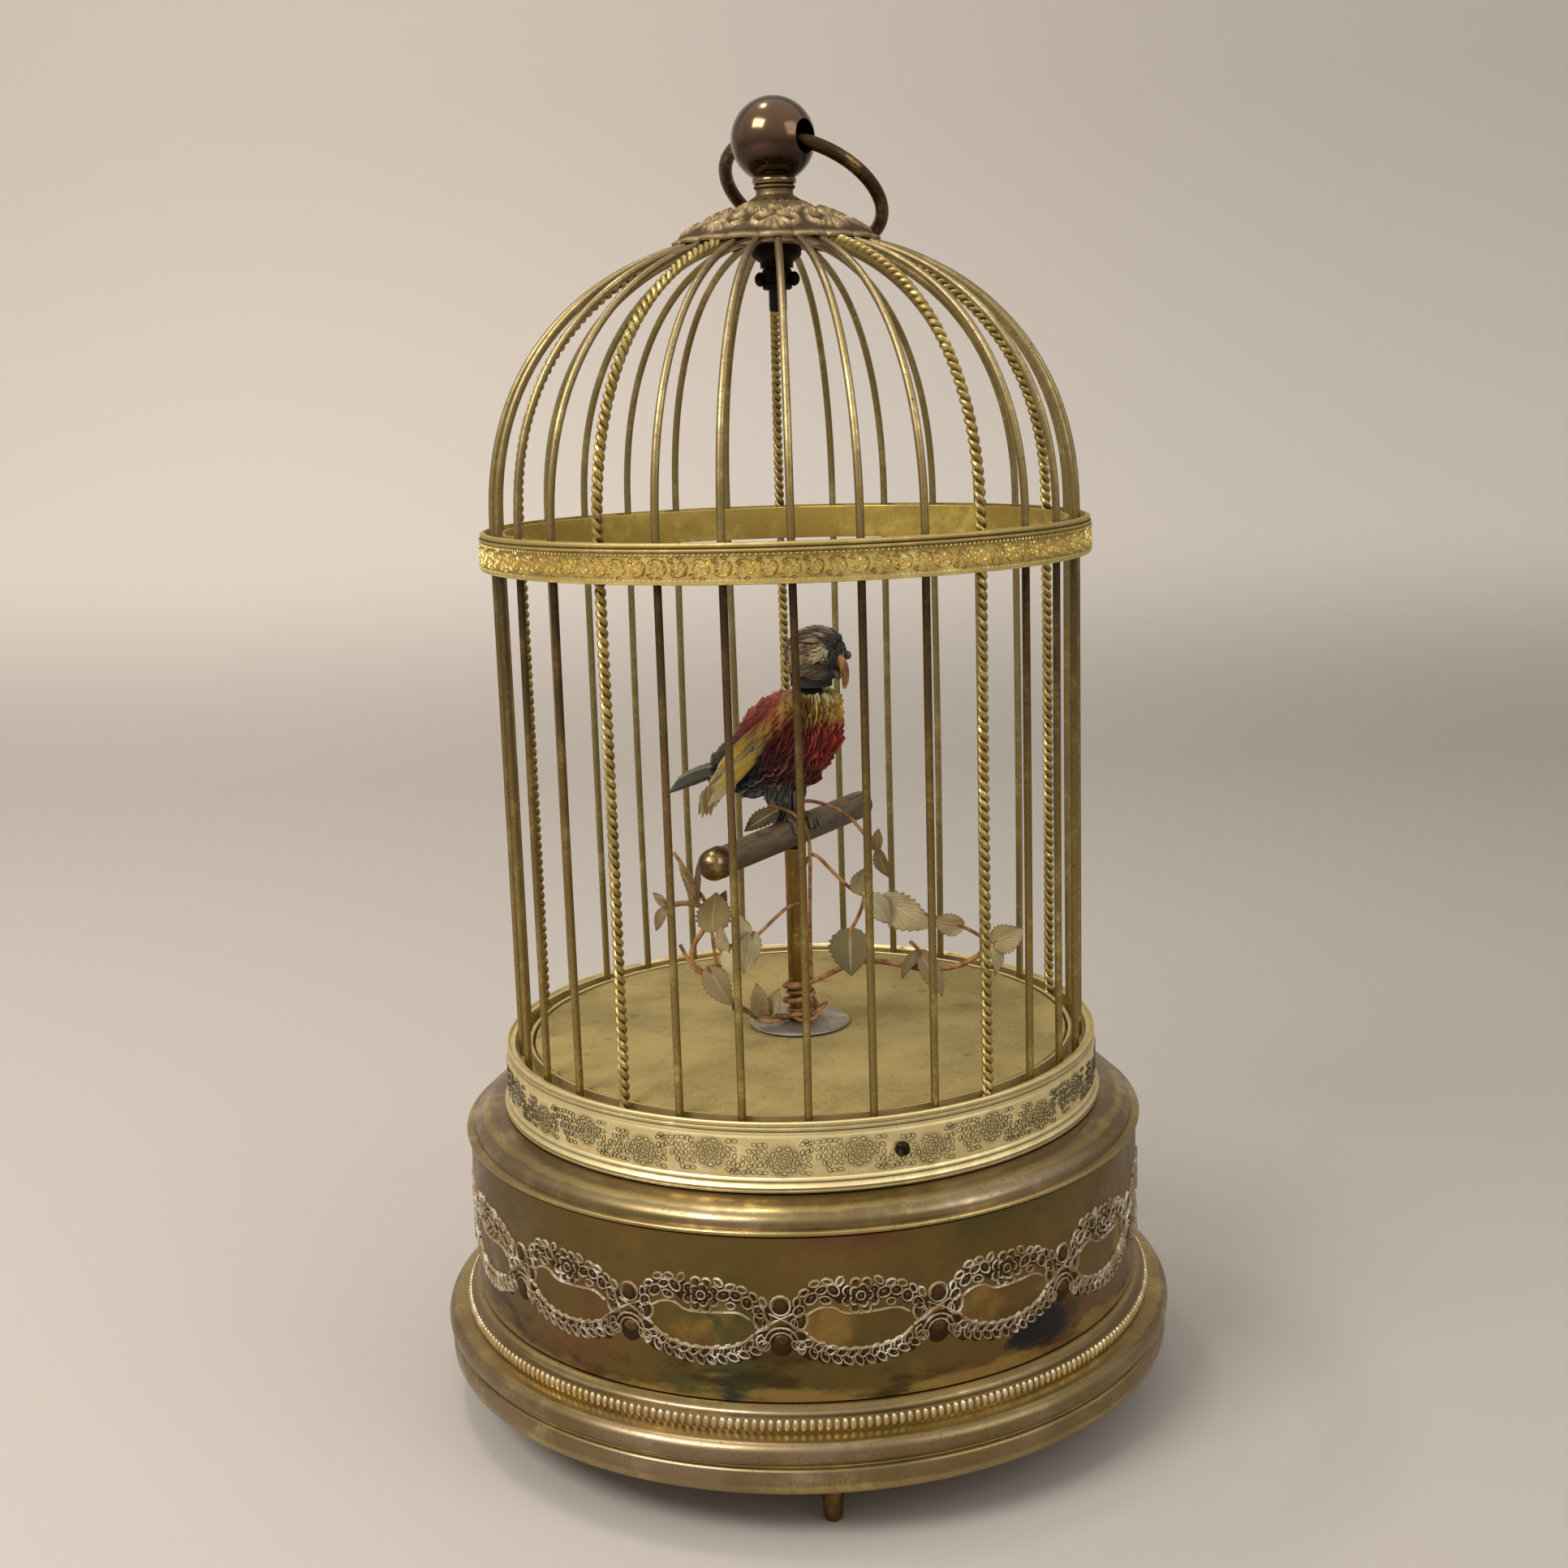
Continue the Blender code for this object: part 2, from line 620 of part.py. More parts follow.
def build_bird_legs():
    """Two thighs on a saddle that sits on the perch, with the control rod between them."""
    saddle_z = PERCH_Z + PERCH_RADIUS + GAP
    legs = block("bird_legs", (-3.4, -5.2, saddle_z), (3.4, 5.2, saddle_z + 1.0), GREY, turn=BIRD_TURN)
    for side in (-1, 1):
        foot = perch_point(3.3 * side, saddle_z + 0.7, 0.6)
        knee = perch_point(3.5 * side, saddle_z + 5.9, -1.6)
        join(legs, bar_between("thigh", foot, knee, 1.3, GREY, 10, 1.9))
    cut(legs, shaft("leg_bore", POST_BORE, PERCH_Z, PERCH_Z + 14.0, GREY, sides=10))


def build_bird_head():
    """The skull with its hooked upper beak; both turn about the neck spindle."""
    pivot = perch_point(0.0, 0.0, NECK_X)
    centre = (HEAD_CENTRE[0] - NECK_X, 0.0, HEAD_CENTRE[2])
    skull_place = perch_point(0.0, HEAD_CENTRE[2], HEAD_CENTRE[0])
    skull = ball("bird_head", HEAD_SIZE, GREY, skull_place, BIRD_TURN, 16, 12)
    offset = Matrix.Translation((centre[0] * MM, 0, centre[2] * MM))
    skull.data.transform(offset)
    skull.location = Vector(pivot) * MM
    beak_points = [(4.0, 0.0, 166.0), (7.0, 0.0, 165.4), (8.9, 0.0, 163.4), (9.4, 0.0, 160.4), (8.9, 0.0, 157.2)]
    hook = tube("beak_hook", beak_points, 1.0, HORN, 2, [2.2, 2.0, 1.5, 1.0, 0.35])
    hook.location = skull.location
    hook.rotation_euler = skull.rotation_euler
    join(skull, hook)
    level = block("head_base", (-20.0, -20.0, 140.0), (7.4, 20.0, HEAD_BOTTOM), GREY, pivot, BIRD_TURN)
    socket = shaft("head_socket", 1.0, 140.0, HEAD_BOTTOM + 2.6, GREY, pivot[:2], 10)
    cut(skull, level, socket)

    shaft("head_spindle", 0.6, 147.0, HEAD_BOTTOM + 2.2, BRASS, pivot[:2], 8)

    jaw_place = perch_point(0.0, JAW_PIVOT[1], JAW_PIVOT[0])
    wedge = [
        [(0.3, -1.7, 0.6), (0.3, 1.7, 0.6), (0.3, 1.7, -1.8), (0.3, -1.7, -1.8)],
        [(1.6, -1.0, 0.0), (1.6, 1.0, 0.0), (1.5, 1.0, -2.8), (1.5, -1.0, -2.8)]]
    loft("bird_beak", wedge, HORN, jaw_place, BIRD_TURN)
    cut(skull, block("jaw_room", (-0.2, -2.1, -5.0), (2.0, 2.1, 1.0), GREY, jaw_place, BIRD_TURN))


def build_bird_tail():
    """Stiff tail feathers on a hinge at the rump."""
    place = perch_point(0.0, TAIL_PIVOT[1], TAIL_PIVOT[0])
    rings = []
    for along, drop, width, thick in ((-0.5, 0.0, 2.6, 2.4), (-6.0, -2.0, 3.4, 1.8), (-16.5, -6.2, 1.6, 0.7)):
        rings.append([(along, -width, drop - thick / 2), (along, width, drop - thick / 2),
                      (along, width, drop + thick / 2), (along, -width, drop + thick / 2)])
    loft("bird_tail", rings, GREY, place, BIRD_TURN)


def build_control_rod():
    shaft("control_rod", 0.7, 62.0, 141.0, STEEL, sides=8)


# The base: a shoulder, a plain drum and a plinth on three feet, closed by a plate.

def build_base():
    shoulder = [(63.7, 75.4), (63.7, 66.8), (68.4, 66.6), (68.9, 65.9), (68.5, 65.4), (70.6, 65.1),
                (72.5, 64.3), (73.4, 63.0), (75.0, 62.7), (75.0, 61.7), (73.05, 61.7), (73.05, 59.6),
                (72.0, 59.6), (72.0, 62.4), (69.0, 64.2), (62.4, 64.6), (62.4, 75.4)]
    made = turned("base_shoulder", shoulder, BROWN)
    for index in range(3):
        direction = SCREW_AZIMUTH + 120.0 * index
        cut(made, radial_cutter("collar_hole", 1.1, 61.0, 64.6, direction))

    inner = DRUM_RADIUS - DRUM_WALL
    drum = [(DRUM_RADIUS, DRUM_TOP), (DRUM_RADIUS - 0.2, DRUM_BOTTOM), (inner, DRUM_BOTTOM), (inner, DRUM_TOP)]
    turned("base_drum", drum, BROWN)

    plinth = [(73.05, 31.0), (73.05, 27.1), (74.4, 27.1), (75.0, 25.7), (76.4, 25.0), (77.0, 24.2),
              (77.0, 22.9), (76.5, 22.2), (77.9, 22.0)]
    plinth += arc((79.0, 19.6), PLINTH_RADIUS - 79.0, 75.0, -70.0, 5)
    plinth += [(80.6, 16.6), (80.7, 12.2), (80.2, 11.4), (66.0, 11.4), (66.0, 12.8), (78.9, 12.8),
               (78.6, 18.6), (72.0, 25.0), (72.0, 31.0)]
    ring = turned("base_plinth", plinth, BROWN)
    foot = [(0.0, FOOT_HEIGHT + 4.4), (0.9, FOOT_HEIGHT + 4.4), (0.9, FOOT_HEIGHT), (3.4, FOOT_HEIGHT), (3.2, 9.0),
            (2.4, 6.0), (1.9, 1.0), (1.6, 0.0), (0.0, 0.0)]
    for index in range(3):
        place = azimuth(FOOT_CIRCLE, FOOT_AZIMUTH + 120.0 * index)
        turned(f"foot_{index + 1}", foot, BRASS, (*place, 0.0), 12)
        cut(ring, shaft("foot_hole", 1.3, 10.0, 14.0, BRASS, place, 10))

    plate = [circle(74.0, TURNED_STEPS), circle(3.4, 12), circle(2.1, 10, (0.0, STOP_PIVOT_Y))]
    for index in range(3):
        place = azimuth(FOOT_CIRCLE, FOOT_AZIMUTH + 120.0 * index)
        plate.append(circle(1.4, 10, place))
    flat("bottom_plate", plate, BOTTOM_PLATE_Z, BOTTOM_PLATE_Z + 1.2, BRASS)


def build_stop_lever():
    """A flat lever under the plinth, whose tip shows at the back."""
    low, high = 9.4, 10.8
    half = 2.6
    outline = [(-half, -3.0), (half, -3.0), (half, 20.0), (3.6, 23.5), (0.0, 25.0), (-3.6, 23.5), (-half, 20.0)]
    lever = flat("stop_lever", [outline], low, high, STEEL, (0, STOP_PIVOT_Y, 0))
    pin = shaft("stop_pin", 1.6, high - 0.6, 17.0, STEEL, sides=12)
    pin.location = lever.location
    join(lever, pin)


def build_winding_key():
    key = shaft("winding_key", 3.9, 3.6, 12.6, STEEL, sides=20)
    handle = []
    for index in range(24):
        angle = 2 * math.pi * index / 24
        spread = 14.0 * math.cos(angle)
        rise = (3.4 - 0.9 * math.cos(2 * angle)) * math.sin(angle)
        handle.append((spread, rise + 5.2))
    wings = flat("key_wings", [handle], -0.9, 0.9, STEEL)
    wings.rotation_euler = (math.radians(90), 0, 0)
    join(key, wings)
    cut(key, block("key_square", (-1.9, -1.9, 8.0), (1.9, 1.9, 14.0), STEEL))


# The clockwork, on upright arbors between two plates.

def build_plates():
    pivots = [(0.0, 0.0, 3.0), (*SECOND_XY, 1.1), (*FLY_XY, 1.1), (*CAMS_XY, 1.1), (*LEVER_PIVOT, 1.1),
              (*CLICK_PIVOT, 1.1)]
    outline = [circle(64.0, 32)]
    for x, y, radius in pivots:
        outline.append(circle(radius, 8, (x, y)))
    lower = flat("lower_plate", outline, PLATE_Z, PLATE_Z + PLATE_THICK, BRASS)
    for index, place in enumerate(PILLARS):
        profile = [(0.0, 49.0), (1.3, 49.0), (1.3, UPPER_PLATE_Z - GAP), (2.4, UPPER_PLATE_Z - GAP),
                   (2.4, 14.6), (0.0, 14.6)]
        join(lower, turned(f"pillar_{index}", profile, BRASS, (*place, 0.0), 8))

    rim = []
    for index in range(25):
        rim.append(polar(56.0, 150.0 + 240.0 * index / 24))
    outline = [rim]
    for x, y, radius in pivots[:5]:
        outline.append(circle(min(radius, 2.1), 8, (x, y)))
    for place in PILLARS:
        outline.append(circle(1.7, 8, place))
    flat("upper_plate", outline, UPPER_PLATE_Z, UPPER_PLATE_Z + PLATE_THICK, BRASS)


def build_barrel():
    outer, wall = 17.0, 1.4
    profile = [(outer, 40.4), (outer, 21.6), (3.2, 21.6), (3.2, 22.8), (outer - wall, 22.8),
               (outer - wall, 39.2), (3.2, 39.2), (3.2, 40.4)]
    barrel = turned("spring_barrel", profile, BRASS, steps=24)
    teeth = [gear(GREAT_TEETH, GREAT_MODULE), circle(outer - wall / 2, 20)]
    join(barrel, flat("great_wheel", teeth, 22.0, 24.0, BRASS))

    turns, per_turn, inner, pitch, thick = 5, 10, 3.8, 2.1, 0.5
    outside, inside = [], []
    for index in range(turns * per_turn + 1):
        share = index / per_turn
        outside.append(polar(inner + thick + pitch * share, 360.0 * share))
        inside.append(polar(inner + pitch * share, 360.0 * share))
    spiral = outside + list(reversed(inside))
    flat("mainspring", [spiral], 24.0, 38.0, STEEL)

    arbor = [(0.0, 49.5), (1.6, 49.5), (1.6, 45.6), (2.6, 45.4), (2.6, RATCHET_Z), (2.4, 12.9), (1.4, 12.6),
             (1.4, 8.6), (0.0, 8.6)]
    made = turned("barrel_arbor", arbor, STEEL, steps=12)
    ratchet = []
    teeth = 14
    for index in range(teeth):
        ratchet.append(polar(RATCHET_RADIUS, 360.0 * index / teeth))
        ratchet.append(polar(RATCHET_RADIUS - 1.3, 360.0 * (index + 0.12) / teeth))
    join(made, flat("ratchet", [ratchet], RATCHET_Z, RATCHET_Z + 1.4, STEEL))


def build_click():
    """The pawl hangs under the lower plate, its nose just clear of the ratchet."""
    x, y = CLICK_PIVOT
    nose = polar(RATCHET_RADIUS + 0.45, 8.0)
    heel = polar(RATCHET_RADIUS + 2.0, 2.0)
    outline = [(nose[0] - x, nose[1] - y), (heel[0] - x, heel[1] - y), (2.0, -1.4), (2.4, 0.8), (1.0, 2.4),
               (-1.2, 2.0)]
    click = flat("click", [outline], RATCHET_Z, RATCHET_Z + 1.4, STEEL, (x, y, 0))
    pin = shaft("click_pin", 0.7, RATCHET_Z + 0.7, PLATE_Z + PLATE_THICK + 0.6, STEEL, sides=10)
    pin.location = click.location
    join(click, pin)


def arbor_profile(radius, pivot=0.7):
    low, high = PLATE_Z + 0.4, UPPER_PLATE_Z + 1.2
    inner_low, inner_high = PLATE_Z + PLATE_THICK + 0.4, UPPER_PLATE_Z - 0.4
    return [(0.0, high), (pivot, high), (pivot, inner_high), (radius, inner_high), (radius, inner_low),
            (pivot, inner_low), (pivot, low), (0.0, low)]


def build_train():
    place = (*SECOND_XY, 0.0)
    second = turned("second_wheel", arbor_profile(1.2), BRASS, place, 10)
    pinion = gear(PINION_TEETH, GREAT_MODULE, phase=0.5 + PINION_TEETH * (SECOND_DIRECTION + 180.0) / 360.0
                  + GREAT_TEETH * SECOND_DIRECTION / 360.0)
    wheel = gear(SECOND_TEETH, FLY_MODULE)
    join(second, flat("second_pinion", [pinion], 21.4, 24.6, BRASS, place),
         flat("second_teeth", [wheel], 42.0, 43.4, BRASS, place))

    place = (*FLY_XY, 0.0)
    fly = turned("fly_governor", arbor_profile(1.0), BRASS, place, 10)
    pinion = gear(PINION_TEETH, FLY_MODULE, phase=0.5 + PINION_TEETH * (FLY_DIRECTION + 180.0) / 360.0
                  + SECOND_TEETH * FLY_DIRECTION / 360.0)
    join(fly, flat("fly_pinion", [pinion], 41.2, 44.2, BRASS, place),
         block("fly_vanes", (-7.0, -0.3, 26.0), (7.0, 0.3, 38.0), BRASS, place))

    place = (*CAMS_XY, 0.0)
    cams = turned("cam_stack", arbor_profile(1.5), BRASS, place, 10)
    wheel = gear(CAM_WHEEL_TEETH, GREAT_MODULE, phase=0.5 + (CAM_WHEEL_TEETH + GREAT_TEETH) * 180.0 / 360.0)
    join(cams, flat("cam_wheel", [wheel], 22.0, 24.0, BRASS, place))
    for index, lobes in enumerate((3, 5, 4)):
        outline = []
        for step in range(20):
            angle = 18.0 * step + 4.0
            radius = 9.4 + 1.5 * math.cos(math.radians(lobes * angle + 25.0 * index))
            outline.append(polar(radius, angle))
        low = 27.0 + 4.1 * index
        join(cams, flat("song_cam", [outline], low, low + 1.6, BRASS, place))


def build_cam_lever():
    """A bell crank: one arm rides the top cam, and the other pushes the whistle's piston."""
    x, y = LEVER_PIVOT
    tip = (CAMS_XY[0] + 0.6 - x, 12.5 - y)
    low, high = 35.2, 36.8
    reach = WHISTLE_Y - y
    outline = [(-1.5, -2.2), (1.5, -2.2), (1.5, reach + 1.5), (-1.5, reach + 1.5), (-1.5, 2.0),
               (tip[0] - 0.6, tip[1] + 1.0), (tip[0] - 0.6, tip[1] - 0.6), (tip[0] + 0.6, tip[1] - 0.6)]
    lever = flat("cam_lever", [outline], low, high, STEEL, (x, y, 0))
    pin = turned("lever_pin", arbor_profile(1.1), STEEL, (x, y, 0.0), 10)
    join(lever, pin)


def build_whistle():
    left, right = -11.0, 16.0
    outer, bore = 4.5, 2.7
    start, end = (left, WHISTLE_Y, WHISTLE_Z), (right, WHISTLE_Y, WHISTLE_Z)
    body = bar_between("whistle_body", start, end, outer, BRASS, 18)
    hollow = bar_between("whistle_bore", (left - 2.0, WHISTLE_Y, WHISTLE_Z), (right - 3.0, WHISTLE_Y, WHISTLE_Z),
                         bore, BRASS, 14)
    mouth = block("whistle_mouth", (6.0, WHISTLE_Y - 1.8, WHISTLE_Z + 1.0), (8.4, WHISTLE_Y + 1.8, WHISTLE_Z + 6.0),
                  BRASS)
    cut(body, hollow, mouth)
    rod_start = (LEVER_PIVOT[0] + 1.5 + 0.5, WHISTLE_Y, WHISTLE_Z)
    piston = bar_between("whistle_piston", rod_start, (-6.0, WHISTLE_Y, WHISTLE_Z), 0.9, STEEL, 10)
    join(piston, bar_between("piston_head", (-8.0, WHISTLE_Y, WHISTLE_Z), (-2.0, WHISTLE_Y, WHISTLE_Z), 2.3, STEEL,
                             12))


def build_bellows():
    low = PLATE_Z + PLATE_THICK + GAP
    board_top = low + 2.0
    board = block("bellows_base", (-8.0, 33.0, low), (40.0, 58.0, board_top), BRASS)
    riser = block("wind_chest", (-8.0, 40.0, board_top - 0.5), (-1.0, 48.0, WHISTLE_Z - 4.5 - GAP), BRASS)
    join(board, riser)

    hinge_z = board_top + 2.4
    top = block("bellows_top", (0.0, 34.0, 0.0), (37.0, 57.0, 1.4), BRASS, (BELLOWS_HINGE_X, 0, hinge_z))
    top.rotation_euler = (0, math.radians(-BELLOWS_TILT), 0)

    slope = math.tan(math.radians(BELLOWS_TILT))
    near, far = BELLOWS_HINGE_X + 0.6, BELLOWS_HINGE_X + 35.5
    sections = []
    for x in (near, far):
        high = hinge_z + (x - BELLOWS_HINGE_X) * slope - GAP - 0.1
        sections.append([(x, 34.5, board_top + GAP), (x, 56.5, board_top + GAP), (x, 56.5, high), (x, 34.5, high)])
    loft("bellows_leather", sections, LEATHER)


build_finial()
build_hanging_ring()
build_cage_top()
build_rope_bars()
build_bar_sections()
build_girdle()
build_gallery()
build_floor()
build_perch()
build_vine()
build_bird_body()
build_bird_legs()
build_bird_head()
build_bird_tail()
build_control_rod()
build_base()
build_stop_lever()
build_winding_key()
build_plates()
build_barrel()
build_click()
build_train()
build_cam_lever()
build_whistle()
build_bellows()
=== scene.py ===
# %% [markdown]
# # A singing bird automaton
# The object is a piece of parlour clockwork: a small feathered bird in a domed brass cage, on a
# turned base that hides the movement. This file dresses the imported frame, piece by piece. Each
# step first says what the piece is on the real object and why it is made the way it is.

# %% Load the frame
import math
import random
from math import cos, pi, radians, sin

import bmesh
import bpy
import numpy as np
from mathutils import Matrix, Vector


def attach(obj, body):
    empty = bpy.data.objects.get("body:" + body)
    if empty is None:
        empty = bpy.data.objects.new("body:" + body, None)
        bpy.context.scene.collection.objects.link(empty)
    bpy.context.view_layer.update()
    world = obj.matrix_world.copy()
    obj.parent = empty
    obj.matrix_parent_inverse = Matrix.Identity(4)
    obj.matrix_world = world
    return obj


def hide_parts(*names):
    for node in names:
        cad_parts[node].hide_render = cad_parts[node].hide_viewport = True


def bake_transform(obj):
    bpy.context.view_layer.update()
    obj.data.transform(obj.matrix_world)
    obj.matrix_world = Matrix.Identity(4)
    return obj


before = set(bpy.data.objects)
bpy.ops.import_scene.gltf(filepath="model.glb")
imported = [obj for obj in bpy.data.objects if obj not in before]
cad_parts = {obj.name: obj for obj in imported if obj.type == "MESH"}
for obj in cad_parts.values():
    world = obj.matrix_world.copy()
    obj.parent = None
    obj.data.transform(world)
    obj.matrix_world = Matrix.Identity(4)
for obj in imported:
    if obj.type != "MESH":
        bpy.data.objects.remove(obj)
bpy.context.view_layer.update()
MM = 0.001
BODY = "cage_and_base"

# %% [markdown]
# ## The camera
# The photograph looks slightly down from less than half a metre away, so the rings of the cage
# show as ellipses of quite different heights. The camera stands at that distance, with the same
# small roll, because a long lens further off could not give those ellipses.

# %% Place the camera
CAMERA_PLACE = Vector((0.0, -435.5, 218.4)) * MM
CAMERA_PITCH = radians(10.81)
CAMERA_YAW = radians(-0.25)
CAMERA_ROLL = radians(-1.80)
CAMERA_LENS = 46.3

forward = Vector((sin(CAMERA_YAW) * cos(CAMERA_PITCH),
                  cos(CAMERA_YAW) * cos(CAMERA_PITCH), -sin(CAMERA_PITCH)))
level_right = forward.cross(Vector((0, 0, 1))).normalized()
level_up = level_right.cross(forward)
right = level_right * cos(CAMERA_ROLL) + level_up * sin(CAMERA_ROLL)
above = level_up * cos(CAMERA_ROLL) - level_right * sin(CAMERA_ROLL)

camera_data = bpy.data.cameras.new("camera")
camera_data.lens = CAMERA_LENS
camera_data.sensor_width = 36.0
camera = bpy.data.objects.new("camera", camera_data)
camera.matrix_world = Matrix((right, above, -forward)).transposed().to_4x4()
camera.location = CAMERA_PLACE
bpy.context.scene.collection.objects.link(camera)
bpy.context.scene.camera = camera
bpy.context.scene.view_settings.view_transform = "Standard"

# %% [markdown]
# ## Small helpers
# Lengths are easier to read in millimetres, so every helper takes millimetres and scales once,
# at the end. `put` adds a shader or geometry node and fills its sockets in one line. A `Field` is
# a node's output that can be added, multiplied and so on, so a finish reads like a formula.


# %% Helpers for nodes
class Field:
    """A node's output. Sums and products of fields are Math nodes, so a finish reads as a formula."""

    def __init__(self, socket):
        self.socket = socket

    def math(self, operation, *others):
        """A Math node's result from this field and others."""
        sockets = dict(enumerate((self, *others)))
        return field(self.socket.id_data, "ShaderNodeMath", sockets, operation=operation)

    def __add__(self, other):
        return self.math("ADD", other)

    def __sub__(self, other):
        return self.math("SUBTRACT", other)

    def __mul__(self, other):
        return self.math("MULTIPLY", other)

    def __truediv__(self, other):
        return self.math("DIVIDE", other)


def put(tree, kind, sockets=None, **settings):
    """A new node, with its settings, and its sockets filled with values or fields."""
    node = tree.nodes.new(kind)
    for name, value in settings.items():
        setattr(node, name, value)
    for key, value in (sockets or {}).items():
        if isinstance(value, Field):
            tree.links.new(value.socket, node.inputs[key])
        else:
            node.inputs[key].default_value = value
    return node


def field(tree, kind, sockets=None, output=0, **settings):
    """One output of a new node, as a field."""
    return Field(put(tree, kind, sockets, **settings).outputs[output])


def tree_of(*values):
    """The node tree of the first field among some values."""
    return next(value.socket.id_data for value in values if isinstance(value, Field))


def vector(operation, first, second, output=0):
    """A Vector Math node's result."""
    key = "Scale" if operation == "SCALE" else 1
    return field(tree_of(first), "ShaderNodeVectorMath", {0: first, key: second}, output, operation=operation)


def paint(red, green, blue):
    """A colour as it reads on a screen, from 0 to 255, turned to the linear values of a shader."""
    channels = []
    for value in (red, green, blue):
        share = value / 255
        channels.append(share / 12.92 if share <= 0.04045 else ((share + 0.055) / 1.055) ** 2.4)
    return (*channels, 1.0)


# %% Helpers for node groups
def new_group(name, kind, inputs, outputs):
    """A node group, its inputs as fields, and its output node. A socket is (name, kind), and a value."""
    tree = bpy.data.node_groups.new(name, kind)
    for way, sockets in (("INPUT", inputs), ("OUTPUT", outputs)):
        for title, form, *values in sockets:
            socket = tree.interface.new_socket(title, in_out=way, socket_type="NodeSocket" + form)
            if values:
                socket.default_value = values[0]
    given = put(tree, "NodeGroupInput").outputs
    return tree, {title: Field(given[title]) for title, *_ in inputs}, put(tree, "NodeGroupOutput")


def close_group(ending, **results):
    """Links a group's results to its outputs."""
    for name, result in results.items():
        ending.id_data.links.new(result.socket, ending.inputs[name])


def end_tree(ending, copies, finish):
    """Ends a geometry tree: the copies are made real and given their finish."""
    plain = field(ending.id_data, "GeometryNodeRealizeInstances", {0: copies})
    sockets = {"Geometry": plain, "Material": finish}
    close_group(ending, Geometry=field(ending.id_data, "GeometryNodeSetMaterial", sockets))


# %% Helpers for meshes
def keep(name, mesh, *finishes):
    """A mesh as an object at the origin, with its materials."""
    made = bpy.data.objects.new(name, mesh)
    for finish in finishes:
        mesh.materials.append(finish)
    bpy.context.scene.collection.objects.link(made)
    return made


def settle(made, name=None):
    """Turns an object and its modifiers into a plain mesh object."""
    bpy.context.view_layer.update()
    graph = bpy.context.evaluated_depsgraph_get()
    mesh = bpy.data.meshes.new_from_object(made.evaluated_get(graph))
    mesh.transform(made.matrix_world)
    title = name or made.name
    bpy.data.objects.remove(made, do_unlink=True)
    return keep(title, mesh)


def dress(made, nodes, body=BODY):
    """Hands a finished piece to the frame: the nodes it stands for and its body."""
    made.data.shade_smooth()
    made.data.set_sharp_from_angle(angle=radians(40))
    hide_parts(*nodes)
    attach(made, body)
    return made


def bend(points, closed=False):
    """Rounds the corners of an outline twice, by cutting each at a quarter of its sides."""
    for _ in range(2):
        cut = [] if closed else [points[0]]
        pairs = zip(points, points[1:] + points[:1] if closed else points[1:])
        for first, second in pairs:
            cut.append(tuple(0.75 * a + 0.25 * b for a, b in zip(first, second)))
            cut.append(tuple(0.25 * a + 0.75 * b for a, b in zip(first, second)))
        points = cut if closed else cut + [points[-1]]
    return points


def round_stretch(centre, radius, start, end, count=8):
    """Points of a round stretch in a profile, between two angles in degrees."""
    angles = np.radians(np.linspace(start, end, count))
    return [(centre[0] + radius * cos(angle), centre[1] + radius * sin(angle)) for angle in angles]


def note(mesh, name, kind, values):
    """Writes one value for each point of a mesh, for its finish or its tree to read."""
    key = {"FLOAT": "value", "FLOAT_VECTOR": "vector", "FLOAT_COLOR": "color"}[kind]
    values = np.array(values, dtype=np.float32).reshape(-1)
    mesh.attributes.new(name, kind, "POINT").data.foreach_set(key, values)


def skin(name, strands, *finishes):
    """Closed skins over rows of points in millimetres. Each row is a loop. A strand is (rows, joined):
    its last row joins the first, or else both are closed with a face."""
    places = []
    faces = []
    for rows, joined in strands:
        rows = np.array(rows, dtype=float)
        here = len(places) + np.arange(rows.shape[0] * rows.shape[1]).reshape(rows.shape[:2])
        after = np.roll(here, -1, 0)
        wall = np.stack([here, np.roll(here, -1, 1), np.roll(after, -1, 1), after], -1)
        faces += (wall if joined else wall[:-1]).reshape(-1, 4).tolist()
        faces += [] if joined else [here[0].tolist(), here[-1].tolist()]
        places += (rows.reshape(-1, 3) * MM).tolist()
    mesh = bpy.data.meshes.new(name)
    mesh.from_pydata(places, [], faces)
    shape = bmesh.new()
    shape.from_mesh(mesh)
    bmesh.ops.recalc_face_normals(shape, faces=shape.faces)
    shape.to_mesh(mesh)
    shape.free()
    return keep(name, mesh, *finishes)


def turned(name, profile, steps, finish, press=None):
    """A closed profile carried round the axis. press(angle, radius, height) gives each point's
    push outwards and upwards, and how deep it lies in a hollow, which the finishes read."""
    angles = np.linspace(0, 2 * pi, steps, endpoint=False)
    angle, radius = np.meshgrid(angles, [point[0] for point in profile], indexing="ij")
    height = radius * 0 + np.array([point[1] for point in profile])
    outward, upward, hollow = press(angle, radius, height) if press else (0, 0, 0)
    radius = radius + outward
    rows = np.stack([radius * np.sin(angle), -radius * np.cos(angle), height + upward], -1)
    made = skin(name, [(rows, True)], finish)
    note(made.data, "hollow", "FLOAT", radius * 0 + hollow)
    return made


def spun(name, profile, steps, place=(0, 0, 0)):
    """A solid turned piece whose profile starts and ends on its own axis."""
    mesh = bpy.data.meshes.new(name)
    points = [(radius * MM, 0, height * MM) for radius, height in profile]
    mesh.from_pydata(points, [(index, index + 1) for index in range(len(points) - 1)], [])
    made = keep(name, mesh)
    made.location = Vector(place) * MM
    screw = made.modifiers.new("Turn", "SCREW")
    screw.steps = steps
    screw.render_steps = steps
    screw.use_merge_vertices = True
    screw.merge_threshold = 0.00001
    return settle(made)


def cut_away(made, cutter):
    """Takes a cutter's shape out of a piece, and the cutter out of the scene."""
    cut = made.modifiers.new("Cut", "BOOLEAN")
    cut.operation = "DIFFERENCE"
    cut.object = cutter
    made = settle(made)
    bpy.data.objects.remove(cutter, do_unlink=True)
    return made


